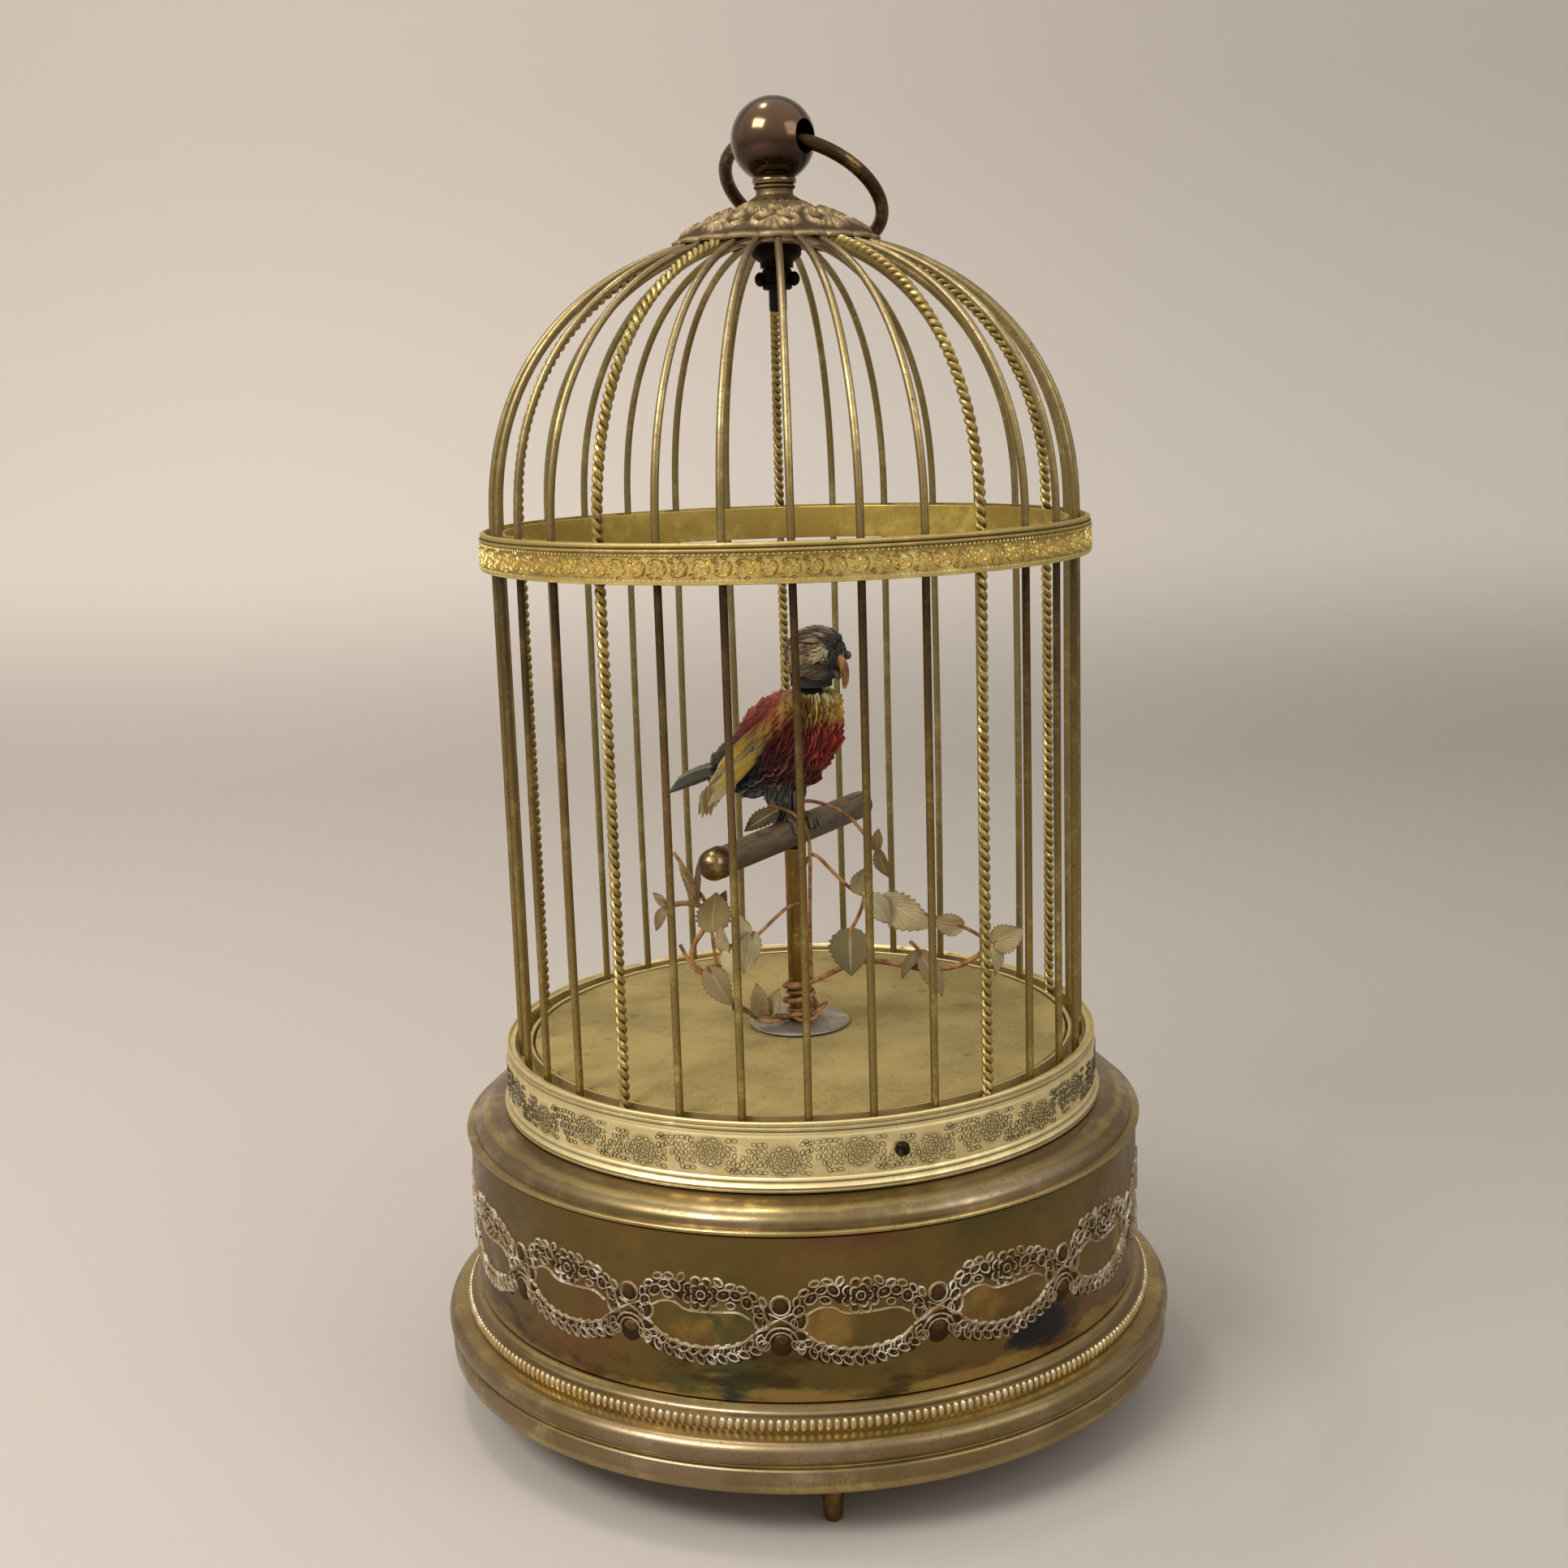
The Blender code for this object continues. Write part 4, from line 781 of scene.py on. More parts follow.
# %% The plinth
plinth_profile = [(73.05, 31.0), (73.05, 27.1), (74.3, 27.1), (74.7, 26.9), (74.8, 26.4)]
plinth_profile += [(76.2 - 1.3 * cos(angle), 26.3 - 1.1 * sin(angle)) for angle in np.linspace(0.2, 1.4, 5)]
plinth_profile += [(76.3, 25.1), (76.5, 24.7), (76.6, 22.8), (76.6, 22.35), (77.5, 22.3)]
plinth_profile += round_stretch((78.95, 19.6), 2.55, 78, -62, 14)
plinth_profile += [(79.85, 17.0), (79.9, 16.75), (80.5, 16.55), (80.85, 16.1), (80.95, 14.0), (80.9, 12.4),
                   (80.6, 11.8), (80.2, 11.4), (66.0, 11.4), (66.0, 12.8), (78.9, 12.8), (78.6, 18.0),
                   (72.0, 25.0), (72.0, 31.0)]
dress(turned("plinth_moulding", plinth_profile, 240, plinth_finish), ["base_plinth"])

# %% The bead ring in the plinth
BEAD_COUNT = 300
bead_brass = metal("bead_brass", (240, 226, 188), (196, 172, 128), (76, 58, 36), 0.62, 0.2, 300, 0.34)
bead_shape = bmesh.new()
bead_size = Matrix.Diagonal(Vector((0.68, 0.68, 1.3, 1 / MM)) * MM)
bead_place = Matrix.Translation(Vector((0, -76.45, 23.7)) * MM) @ bead_size
bmesh.ops.create_uvsphere(bead_shape, u_segments=8, v_segments=6, radius=1.0, matrix=bead_place)
beads = go_round("plinth_beads", finish_shape("bead", bead_shape), BEAD_COUNT, 0.0, bead_brass)
dress(beads, ["base_plinth"])

# %% The feet
foot_profile = [(0, 15.5), (0.9, 15.5), (0.9, 11.1), (3.0, 11.1), (3.4, 10.8), (3.4, 9.9), (3.1, 9.2),
                (2.8, 8.2), (2.3, 5.6), (1.95, 2.6), (1.95, 1.2), (1.7, 0.4), (1.2, 0.0), (0, 0)]
foot = spun("foot_shape", foot_profile, 32, (0, -70.0, 0))
foot_brass = metal("foot_brass", (170, 136, 78), (112, 84, 48), (40, 28, 18), 0.5, 0.4, 300, 0.3)
feet = go_round("turned_feet", foot, 3, 3.0, foot_brass)
dress(feet, ["foot_1", "foot_2", "foot_3"])

# %% [markdown]
# ## The gallery
# The gallery is the ring that the bars stand in. Its wall carries a pressed band of roses with
# leaves, pale over gold, with plain points between them. The roses are drawn as the garland was,
# as one low rose, one high rose and their leaves, and repeated fourteen times.

# %% The gallery's wall
GALLERY_RADIUS = 65.5
FRIEZE_UNITS = 14
FRIEZE_HEIGHT = 74.0
FRIEZE_FIRST = -3.4
frieze_pitch = 2 * pi * GALLERY_RADIUS / FRIEZE_UNITS
frieze_gold = metal("frieze_gold", (250, 234, 180), (226, 206, 150), (104, 92, 66), 0.6, 0.2, 200, 0.3,
                    hollow=True)
gallery_profile = [(64.6, 80.6), (64.75, 80.95)] + round_stretch((65.05, 80.75), 0.38, 100, -60, 6)
gallery_profile += [(65.25, 80.3), (65.05, 80.0), (65.3, 79.75), (65.3, 79.35), (64.95, 79.1), (65.35, 78.8),
                    (65.35, 78.3)]
gallery_profile += [(GALLERY_RADIUS, height) for height in np.linspace(78.1, 69.9, 22)]
gallery_profile += [(65.8, 69.6), (65.85, 69.2), (65.6, 68.95), (66.1, 68.5), (66.4, 68.1), (66.3, 67.6),
                    (66.5, 67.4), (66.4, 67.1), (64.1, 67.1), (64.1, 75.9), (57.8, 75.9), (57.8, 78.3),
                    (59.7, 78.3), (59.7, 80.45), (59.85, 80.6), (60.4, 80.6), (60.4, 77.6), (63.6, 77.6),
                    (63.6, 80.6)]


def gallery_press(angle, radius, height):
    """The lined edges are darker in their grooves, and so are the ground under the roses and the inner faces.
    """
    across = np.mod((angle - radians(FRIEZE_FIRST)) * GALLERY_RADIUS, frieze_pitch)
    ground = np.zeros(radius.shape)
    for middle, lift in ((0, -0.7), (frieze_pitch, -0.7), (frieze_pitch / 2, 0.7), (1.5 * frieze_pitch, 0.7)):
        rose = np.hypot(across - middle, height - FRIEZE_HEIGHT - lift) / 3.3
        ground = np.maximum(ground, np.clip((1.1 - rose) / 0.15, 0, 0.3))
    groove = sum(np.exp(-((height - level) / 0.27) ** 2) for level in (80.0, 79.1, 68.95, 67.5)) * 0.75
    outer = np.maximum(groove, ground * (radius > 65.45)) * (radius > 64.3)
    return 0.0, 0.0, np.clip(outer + 0.5 * (radius < 64.3) * (height < 80.0), 0, 1)


gallery = turned("gallery_wall", gallery_profile, 900, frieze_gold, gallery_press)
dress(gallery, ["gallery_ring"])

# %% Draw a pair of roses
frieze_lines = []
frieze_domes = []
sprig = random.Random(3)
for middle, lift, flip in ((0.0, -0.7, 1), (frieze_pitch / 2, 0.7, -1)):
    frieze_lines.append((oval((middle, lift), 0.6, count=8), True))
    for petals, reach, size in ((6, 1.35, 0.62), (9, 2.55, 0.75)):
        for petal in range(petals):
            angle = 360 / petals * petal + 12 * reach
            seat = (middle + reach * cos(radians(angle)), lift + reach * sin(radians(angle)))
            frieze_lines.append((oval(seat, size * 0.55, size, angle, 7), True))
            frieze_domes.append(oval(seat, size * 0.3, size * 0.5, angle, 6))
    for row in (-1, -0.5, 0, 0.5, 1):
        high = 2.9 * row
        for side, column in [(-1, column) for column in range(round(5 - 2 * row * flip))] + [(1, 0), (1, 1)]:
            spot = (middle + side * (3.7 + 1.1 * column) + sprig.uniform(-0.2, 0.2),
                    lift * 0.3 + high + sprig.uniform(-0.2, 0.2))
            lean = side * (90 - 70 * row * flip) + sprig.uniform(-30, 30)
            frieze_lines.append((leaf_outline(spot, 1.4, 0.8, lean), True))
print("frieze", len(frieze_lines), "lines in one unit, pitch", round(frieze_pitch, 1), "mm")

# %% Wrap the roses on the gallery
frieze_silver = metal("frieze_silver", (190, 184, 164), (104, 96, 78), (50, 44, 36), 0.4, 0.6, 330, 0.45)
frieze_wrap = wall_wrap(GALLERY_RADIUS - 0.05, FRIEZE_HEIGHT)
for name, shape, finish in (
        ("gallery_roses", raised_lines("rose_lines", frieze_lines, frieze_wrap, 0.34, 0.22), frieze_silver),
        ("gallery_petals", raised_domes("rose_petals", frieze_domes, frieze_wrap, 0.18), frieze_gold)):
    dress(go_round(name, shape, FRIEZE_UNITS, FRIEZE_FIRST, finish), ["gallery_ring"])

# %% The slotted screws
head_profile = [(0, 0.95), (0.5, 0.93), (1.0, 0.82), (1.35, 0.55), (1.5, 0.2), (1.5, 0.0), (1.3, -0.25),
                (0, -0.25)]
slot_shape = bmesh.new()
bmesh.ops.create_cube(slot_shape, size=1.0, matrix=Matrix.Translation((0, 0, 0.9 * MM))
                      @ Matrix.Rotation(radians(-38), 4, "Z")
                      @ Matrix.Diagonal((4 * MM, 0.5 * MM, 0.9 * MM, 1)))
screw_head = cut_away(spun("screw_shape", head_profile, 24), finish_shape("screw_slot", slot_shape))
screw_place = Matrix.Translation(Vector((0, -65.75, 74.2)) * MM)
screw_head.data.transform(screw_place @ Matrix.Rotation(pi / 2, 4, "X"))
screws = go_round("gallery_screws", screw_head, 3, 17.0, screw_steel)
dress(screws, ["gallery_screw_1", "gallery_screw_2", "gallery_screw_3"])

# %% [markdown]
# ## The girdle
# The girdle is a strip of gallery wire with a scroll pressed in it, under a smooth double bead.
# The scroll is too small to follow leaf by leaf, but its sparkle shows, so it is real relief too:
# one S-shaped scroll with its leaves, repeated forty-eight times.

# %% The girdle's band
GIRDLE_RADIUS = 65.2
girdle_gold = metal("girdle_gold", (246, 222, 142), (210, 186, 116), (88, 68, 38), 0.6, 0.45, 200, 0.3,
                    hollow=True)
girdle_profile = [(63.9, 192.8), (64.25, 192.8)] + round_stretch((64.35, 192.3), 0.5, 80, -50, 6)
girdle_profile += [(64.6, 191.75)] + round_stretch((64.7, 191.35), 0.38, 70, -60, 5)
girdle_profile += [(64.75, 190.85), (64.95, 190.55), (64.95, 188.0), (64.95, 186.2), (65.05, 185.95),
                   (65.15, 185.5), (64.95, 185.1), (64.7, 185.0), (63.9, 185.0)]


def girdle_press(angle, radius, height):
    """Dirt lies under the beads and along the band's two edges."""
    dirt = np.exp(-((height - 190.7) / 0.3) ** 2) + 0.7 * np.exp(-((height - 186.1) / 0.25) ** 2)
    dirt += 0.8 * np.exp(-((height - 191.75) / 0.15) ** 2) + 0.35 * (height > 190.95)
    return 0.0, 0.0, np.clip(dirt * (radius > 64.2), 0, 1)


girdle = turned("girdle_wall", girdle_profile, 240, girdle_gold, girdle_press)
dress(girdle, ["girdle_band"])

# %% The girdle's scroll and fine beads
SCROLL_UNITS = 48
scroll_pitch = 2 * pi * GIRDLE_RADIUS / SCROLL_UNITS
half_scroll = [(-5.4, -0.9), (-4.2, -1.7), (-2.6, -1.6), (-1.4, -0.4), (-1.5, 0.9), (-2.6, 1.3), (-3.4, 0.6),
               (-3.1, -0.2), (-2.5, -0.1)]
scroll_lines = []
for side in (1, -1):
    shift = 0.0 if side > 0 else scroll_pitch / 2
    scroll_lines.append((bend([(u + shift, side * v) for u, v in half_scroll]), False))
    for u, v, lean in ((-4.4, 0.5, 60), (-5.0, 1.5, 20), (-0.6, -1.4, -50), (-0.2, 0.9, 70), (-3.9, -0.6, 10),
                       (-1.9, 0.3, 100), (-2.0, -0.9, 60), (-3.0, 1.9, 0)):
        scroll_lines.append((leaf_outline((u + shift, side * v), 1.2, 0.65, side * lean), True))
scroll_wrap = wall_wrap(64.9, 188.3)
scroll_gold = metal("scroll_gold", (255, 236, 160), (206, 180, 110), (74, 54, 28), 0.6, 0.5, 260, 0.24)
scroll_shape = raised_lines("scroll_lines", scroll_lines, scroll_wrap, 0.4, 0.3)
scroll = go_round("girdle_scroll", scroll_shape, SCROLL_UNITS, 0.0, scroll_gold)
dress(scroll, ["girdle_band"])
fine_bead = bmesh.new()
for height in (190.62, 185.85):
    bead_place = Matrix.Translation(Vector((0, -64.95, height)) * MM) @ Matrix.Scale(0.3 * MM, 4)
    bmesh.ops.create_icosphere(fine_bead, subdivisions=1, radius=1.0, matrix=bead_place)
fine_beads = go_round("girdle_beads", finish_shape("fine_bead", fine_bead), 380, 0.0, scroll_gold)
dress(fine_beads, ["girdle_band"])

# %% The hoop inside the bars
hoop_gold = metal("hoop_gold", (250, 228, 126), (190, 164, 88), (70, 52, 26), 0.6, 0.3, 40, 0.3)
hoop_profile = [(60.4, 192.5), (60.5, 192.3), (60.5, 185.15), (60.35, 185.0), (59.8, 185.0), (59.7, 185.2),
                (59.7, 192.35), (59.85, 192.5)]
dress(turned("inner_hoop", hoop_profile, 240, hoop_gold), ["girdle_hoop"])

# %% [markdown]
# ## Wires
# The bars are drawn wire and the rope bars are two such wires twisted together. Both follow one
# path from the gallery up over the dome, so one geometry tree makes both: it copies the path once
# for each strand, winds the copies round it, and sweeps a circle along them. A plain bar is a rope
# of one strand with no twist. A Screw modifier could twist a straight rope, but not a bent one.

# %% The tree that makes wires
wire_tree, given, ending = new_group("twisted_wire", "GeometryNodeTree", [
    ("Path", "Geometry"), ("Strand radius", "Float"), ("Twist radius", "Float"), ("Lay", "Float"),
    ("Strands", "Int"), ("Step", "Float"), ("Sides", "Int"), ("Finish", "Material")],
                                     [("Geometry", "Geometry")])
curve = field(wire_tree, "GeometryNodeMeshToCurve", {"Mesh": given["Path"]})
curve = field(wire_tree, "GeometryNodeResampleCurve", {"Curve": curve, "Length": given["Step"]},
              mode="LENGTH")
strands = put(wire_tree, "GeometryNodeDuplicateElements", {"Geometry": curve, "Amount": given["Strands"]},
              domain="SPLINE").outputs
turns = field(wire_tree, "GeometryNodeSplineParameter", None, "Length") / given["Lay"]
angle = (Field(strands["Duplicate Index"]) / given["Strands"] - turns) * (2 * pi)
normal = field(wire_tree, "GeometryNodeInputNormal")
across = vector("CROSS_PRODUCT", field(wire_tree, "GeometryNodeInputTangent"), normal)
outward = vector("ADD", vector("SCALE", normal, angle.math("COSINE")),
                 vector("SCALE", across, angle.math("SINE")))
wound = field(wire_tree, "GeometryNodeSetPosition", {
    "Geometry": Field(strands["Geometry"]), "Offset": vector("SCALE", outward, given["Twist radius"])})
circle = field(wire_tree, "GeometryNodeCurvePrimitiveCircle",
               {"Resolution": given["Sides"], "Radius": given["Strand radius"]})
swept = {"Curve": wound, "Profile Curve": circle, "Fill Caps": True}
end_tree(ending, field(wire_tree, "GeometryNodeCurveToMesh", swept), given["Finish"])


# %% Helpers that draw wires
def path_mesh(name, paths):
    """Open paths in millimetres, as the edges of one mesh."""
    points = []
    edges = []
    for path in paths:
        start = len(points)
        points += [tuple(value * MM for value in point) for point in path]
        edges += [(start + index, start + index + 1) for index in range(len(path) - 1)]
    mesh = bpy.data.meshes.new(name)
    mesh.from_pydata(points, edges, [])
    return mesh


def wires(name, paths, radius, finish, step=1.0, sides=8, strands=1, twist=0.0, lay=4.0):
    """Round wires of one thickness along paths. Lengths are in millimetres."""
    values = {"Strand radius": radius * MM, "Twist radius": twist * MM, "Lay": lay * MM, "Strands": strands,
              "Step": step * MM, "Sides": sides, "Finish": finish}
    made = from_tree(name, wire_tree, path_mesh(name, paths), **values)
    print(name, len(paths), "paths,", len(made.data.polygons), "faces")
    return made


# %% The path of one bar
BAR_CIRCLE = 62.0
BAR_FOOT = 77.9
SPRING_LINE = 193.0
DOME_RISE = 59.0
DOME_POWER = 2.22
HUB_CIRCLE = 10.0
bar_sway = random.Random(11)


def bar_path(azimuth):
    """A bar from the gallery straight up and over the dome to the hub, a little out of true."""
    turn = radians(azimuth)
    sway = bar_sway.uniform(-0.35, 0.35)
    outline = [(BAR_CIRCLE, height) for height in np.linspace(BAR_FOOT, SPRING_LINE, 13)[:-1]]
    last = math.acos((HUB_CIRCLE / BAR_CIRCLE) ** (DOME_POWER / 2))
    for share in np.linspace(0, 1, 26):
        rise = share * last
        outline.append((BAR_CIRCLE * cos(rise) ** (2 / DOME_POWER),
                        SPRING_LINE + DOME_RISE * sin(rise) ** (2 / DOME_POWER)))
    path = []
    for radius, height in outline:
        low = max(0.0, min(1.0, (height - BAR_FOOT) / (186 - BAR_FOOT)))
        lean = sway * sin(pi * low) / BAR_CIRCLE
        path.append((radius * sin(turn + lean), -radius * cos(turn + lean), height))
    return path


# %% The plain bars, in five soldered sections
BAR_STEP = 12
FIRST_BAR = 1.0
plain_azimuths = [FIRST_BAR + 72 * section + BAR_STEP * bar
                  for section in range(5) for bar in (-2, -1, 0, 1, 2)]
plain_bars = wires("plain_bars", [bar_path(azimuth) for azimuth in plain_azimuths], 0.8, bar_gilding, 1.6, 10)
sections = ["bar_section_1", "bar_section_2", "bar_section_3", "bar_section_4", "bar_section_5"]
dress(plain_bars, sections)

# %% The soldered strips behind the girdle
strip_section = [(62.3, 186.1), (63.4, 186.1), (63.4, 191.1), (62.3, 191.1)]
strip_rows = [[(radius * sin(turn), -radius * cos(turn), height) for radius, height in strip_section]
              for turn in np.radians(np.linspace(-34.3, 34.3, 25))]
strips = go_round("soldered_strips", skin("strip", [(strip_rows, False)]), 5, FIRST_BAR, bar_gilding)
dress(strips, sections)

# %% The rope bars
ROPE_LAY = 3.95
rope_azimuths = [FIRST_BAR + 36 + 72 * rope for rope in range(5)]
ropes = wires("rope_bars", [bar_path(azimuth) for azimuth in rope_azimuths], 0.6, rope_gilding, 0.33, 8, 2,
              0.58, ROPE_LAY)
dress(ropes, ["rope_bar_1", "rope_bar_2", "rope_bar_3", "rope_bar_4", "rope_bar_5"])

# %% [markdown]
# ## The finial
# A ball, a collar and a pressed rose are drawn down on the bars by one long stem with a nut. The
# rose is thin copper-coloured sheet with scrolls and leaves in relief and a scalloped edge. Its
# relief is reckoned from the distance to a few drawn lines, which gives soft pressed ridges and
# tells the finish where dirt collects.

# %% The rose
ROSE_REPEATS = 9
ROSE_TOP = np.array([(2.25, 257.6), (5.6, 257.7), (6.0, 258.7), (6.8, 258.3), (8.0, 257.7), (9.4, 257.0),
                     (12.5, 255.8), (16.5, 253.9), (20.0, 251.9), (22.0, 250.75)])
rose_radii = np.linspace(2.25, 22.0, 56)
rose_heights = np.interp(rose_radii, ROSE_TOP[:, 0], ROSE_TOP[:, 1])
rose_profile = list(zip(rose_radii, rose_heights)) + [(22.0, 250.5), (21.9, 250.25), (20.2, 251.2),
                                                      (16.3, 253.0), (12.5, 254.7), (9.0, 255.9),
                                                      (2.25, 256.4)]


def spiral(centre, start, turns, small, large, count=40):
    """Points of a scroll that opens from a small radius to a large one."""
    angles = np.radians(start) + np.linspace(0, turns * 2 * pi, count)
    radii = np.linspace(small, large, count)
    return np.stack([centre[0] + radii * np.cos(angles), centre[1] + radii * np.sin(angles)], -1)


rose_strokes = []
for side in (-1, 1):
    scroll_points = spiral((2.1, 13.6), 160, 1.25, 0.35, 1.75)
    tail = np.array(bend([(2.1 + 1.75 * cos(radians(250)), 13.6 - 1.6), (3.6, 15.4), (3.9, 17.4),
                          (2.7, 18.6)]))
    for stroke in (scroll_points, tail):
        rose_strokes.append(stroke * (side, 1))
for lean in (-0.9, -0.45, 0, 0.45, 0.9):
    reach = np.linspace(0, 1, 9)[:, None]
    rose_strokes.append(np.array([(0.0, 16.2)]) + reach * np.array([(lean * 2.4, 3.6 - abs(lean) * 1.3)]))
    rose_strokes.append(np.array([(4.75, 10.4)]) + reach * np.array([(lean * 1.5, 2.6 - abs(lean))]))
rose_strokes.append(np.array(bend([(-1.6, 10.1), (0.0, 11.4), (1.6, 10.1)])))
rose_points = np.concatenate(rose_strokes)


def rose_press(angle, radius, height):
    """Ridges near the drawn strokes on the upper face, and a scalloped rim."""
    phase = np.mod(angle * ROSE_REPEATS / (2 * pi) + 0.5, 1.0) - 0.5
    flat_x = phase * 9.6
    distance = np.full(radius.shape, 9.0)
    for shift in (-9.6, 0.0, 9.6):
        for point in rose_points:
            distance = np.minimum(distance, np.hypot(flat_x - point[0] - shift, radius - point[1]))
    top = height > np.interp(radius, ROSE_TOP[:, 0], ROSE_TOP[:, 1]) - 0.05
    ridge = np.exp(-(distance / 0.42) ** 2)
    ground = np.clip((radius - 9.3) / 0.8, 0, 1) * np.clip((21.4 - radius) / 0.8, 0, 1)
    fine = 0.35 * np.cos(angle * 28) * np.exp(-((radius - 6.8) / 0.7) ** 2)
    edge = np.clip((radius - 18.5) / 3.5, 0, 1)
    lobes = np.abs(np.cos(angle * ROSE_REPEATS)) ** 0.6
    outward = edge * (lobes - 1.0) * 1.5
    upward = top * (0.95 * ridge * ground + fine * 0.5) - 0.15 * edge * (1 - lobes)
    hollow = np.clip(top * ground * (0.8 - 1.6 * ridge) + 0.1 * (1 - top), 0, 1)
    return outward, upward, hollow


rose = turned("pressed_rose", rose_profile, 432, rose_copper, rose_press)
dress(rose, ["cap_rose"])
print("rose", len(rose.data.vertices), "points")

# %% The collar under the ball
neck_profile = [(2.25, 262.15), (3.9, 262.15), (4.3, 261.9), (4.35, 261.5), (4.1, 261.3), (3.9, 261.1),
                (3.85, 260.5), (3.9, 260.1), (4.2, 259.8), (4.7, 259.5), (5.3, 259.1), (5.65, 258.8),
                (5.7, 258.4), (5.4, 258.1), (4.95, 257.9), (4.9, 257.7), (2.25, 257.65)]


def neck_press(angle, radius, height):
    """The lowest ring is cut into small scallops."""
    near = np.exp(-((height - 258.6) / 0.4) ** 2) * (radius > 5.0)
    lobes = np.abs(np.cos(angle * 8))
    dirt = np.clip(near * 0.7 + np.exp(-((height - 261.35) / 0.2) ** 2) * 0.6, 0, 1)
    return near * (lobes - 0.7) * 0.7, 0.0, dirt


neck_gilding = metal("collar_gilding", (178, 154, 110), (112, 94, 64), (34, 26, 18), 0.45, 0.6, 200, 0.4,
                     hollow=True)
neck = turned("finial_collar", neck_profile, 96, neck_gilding, neck_press)
dress(neck, ["finial_neck"])

# %% The ball with its hole and stem
BALL_CENTRE = Vector((0, 0, 271.2))
BALL_RADIUS = 8.8
RING_HOLE = 3.45
RING_AZIMUTH = radians(-35)
ball_profile = [(0, BALL_CENTRE.z + BALL_RADIUS)]
ball_profile += round_stretch((0, BALL_CENTRE.z), BALL_RADIUS, 86, -59, 36)
ball_profile += [(4.45, 263.4), (4.6, 263.2), (4.65, 262.8), (4.5, 262.35), (4.2, 262.2), (1.9, 262.2),
                 (1.9, 236.7), (1.6, 236.35), (0, 236.3)]
drill_shape = bmesh.new()
drill_place = (Matrix.Translation(BALL_CENTRE * MM) @ Matrix.Rotation(RING_AZIMUTH, 4, "Z")
               @ Matrix.Rotation(pi / 2, 4, "Y"))
bmesh.ops.create_cone(drill_shape, cap_ends=True, segments=64, radius1=RING_HOLE * MM, radius2=RING_HOLE * MM,
                      depth=24 * MM, matrix=drill_place)
ball = cut_away(spun("finial_globe", ball_profile, 96), finish_shape("ring_hole", drill_shape))
ball.data.materials.clear()
ball.data.materials.append(ball_bronze)
dress(ball, ["finial_ball"])

# %% The hub and its nut
hub_profile = [(2.25, 253.0), (9.3, 253.0), (9.6, 252.7), (9.6, 250.5), (9.3, 250.2), (5.6, 249.95),
               (5.2, 249.6), (5.2, 247.9), (4.9, 247.5), (4.2, 246.9), (3.5, 246.5), (3.45, 245.35),
               (2.25, 245.35)]
dress(turned("bar_hub", hub_profile, 96, hub_bronze), ["dome_hub"])
nut_profile = [(2.0, 245.2), (2.8, 245.2), (3.1, 244.9), (3.1, 244.2), (2.75, 243.9), (2.75, 242.4),
               (3.1, 242.0), (3.1, 241.2), (2.8, 240.9), (2.0, 240.9)]
nut = turned("stem_nut", nut_profile, 48, hub_bronze)
ear_shape = bmesh.new()
ear_shape.from_mesh(nut.data)
for side in (-1, 1):
    bmesh.ops.create_uvsphere(ear_shape, u_segments=20, v_segments=14, radius=1.0,
                              matrix=Matrix.Translation(Vector((side * 3.5, 0, 243.1)) * MM)
                              @ Matrix.Diagonal((1.25 * MM, 0.9 * MM, 1.5 * MM, 1)))
ear_shape.to_mesh(nut.data)
ear_shape.free()
dress(nut, ["finial_nut"])

# %% The hanging ring
RING_RADIUS = 17.6
RING_WIRE = 1.45
RING_DROOP = radians(36)
along = Vector((cos(RING_AZIMUTH), sin(RING_AZIMUTH), 0))
back = Vector((-sin(RING_AZIMUTH), cos(RING_AZIMUTH), 0))
down = back * cos(RING_DROOP) - Vector((0, 0, sin(RING_DROOP)))
ring_centre = BALL_CENTRE + down * 16.4 - along * 1.8
ring_side = along.cross(down)
ring_rows = []
for turn in np.linspace(0, 2 * pi, 120, endpoint=False):
    outward = along * cos(turn) + down * sin(turn)
    ring_rows.append([ring_centre + outward * (RING_RADIUS + RING_WIRE * cos(spin))
                      + ring_side * RING_WIRE * sin(spin) for spin in np.linspace(0, 2 * pi, 21)[:-1]])
dress(skin("carrying_ring", [(ring_rows, True)], ring_bronze), ["hanging_ring"], "ring")

# %% [markdown]
# ## The floor of the cage
# A disc of mustard felt lies loose on the floor plate and has puckered a little towards the bars.
# Felt is a mat of short fibres with no weave, so its finish mixes two noises stretched in two
# directions. A small grey plate covers the hole round the post.

# %% The felt
FELT_TOP = 80.45
FELT_UNDER = 79.65
felt_finish, shader, place = finish_tree("mustard_felt", Roughness=0.95, Specular_IOR_Level=0.15,
                                         Sheen_Weight=0.1)
cloudy = noise(place, 38.0, 4.0)
one_way = stretched(place, (1, 5, 1), 0.6)
other_way = stretched(place, (5, 1, 1), 0.3)
fibres = noise(one_way, 700, 3).math("MAXIMUM", noise(other_way, 700, 3))
soft = tint(spread(cloudy, 0.38, 0.62), paint(136, 114, 56), paint(160, 137, 74))
soft = tint(spread(fibres, 0.48, 0.72, 0.0, 0.5), soft, paint(180, 162, 108))
soft = tint(spread(noise(place, 250.0, 3.0), 0.60, 0.72, 0.0, 0.5), soft, paint(92, 76, 42))
surface(shader, soft, fibres, 0.35)

felt_profile = [(radius, FELT_TOP) for radius in np.linspace(2.9, 58.7, 44)]
felt_profile += [(59.0, FELT_TOP - 0.1), (59.15, FELT_TOP - 0.35), (59.1, FELT_UNDER + 0.05),
                 (58.9, FELT_UNDER), (30.0, FELT_UNDER), (2.9, FELT_UNDER), (2.7, FELT_UNDER + 0.1),
                 (2.7, FELT_TOP - 0.12)]


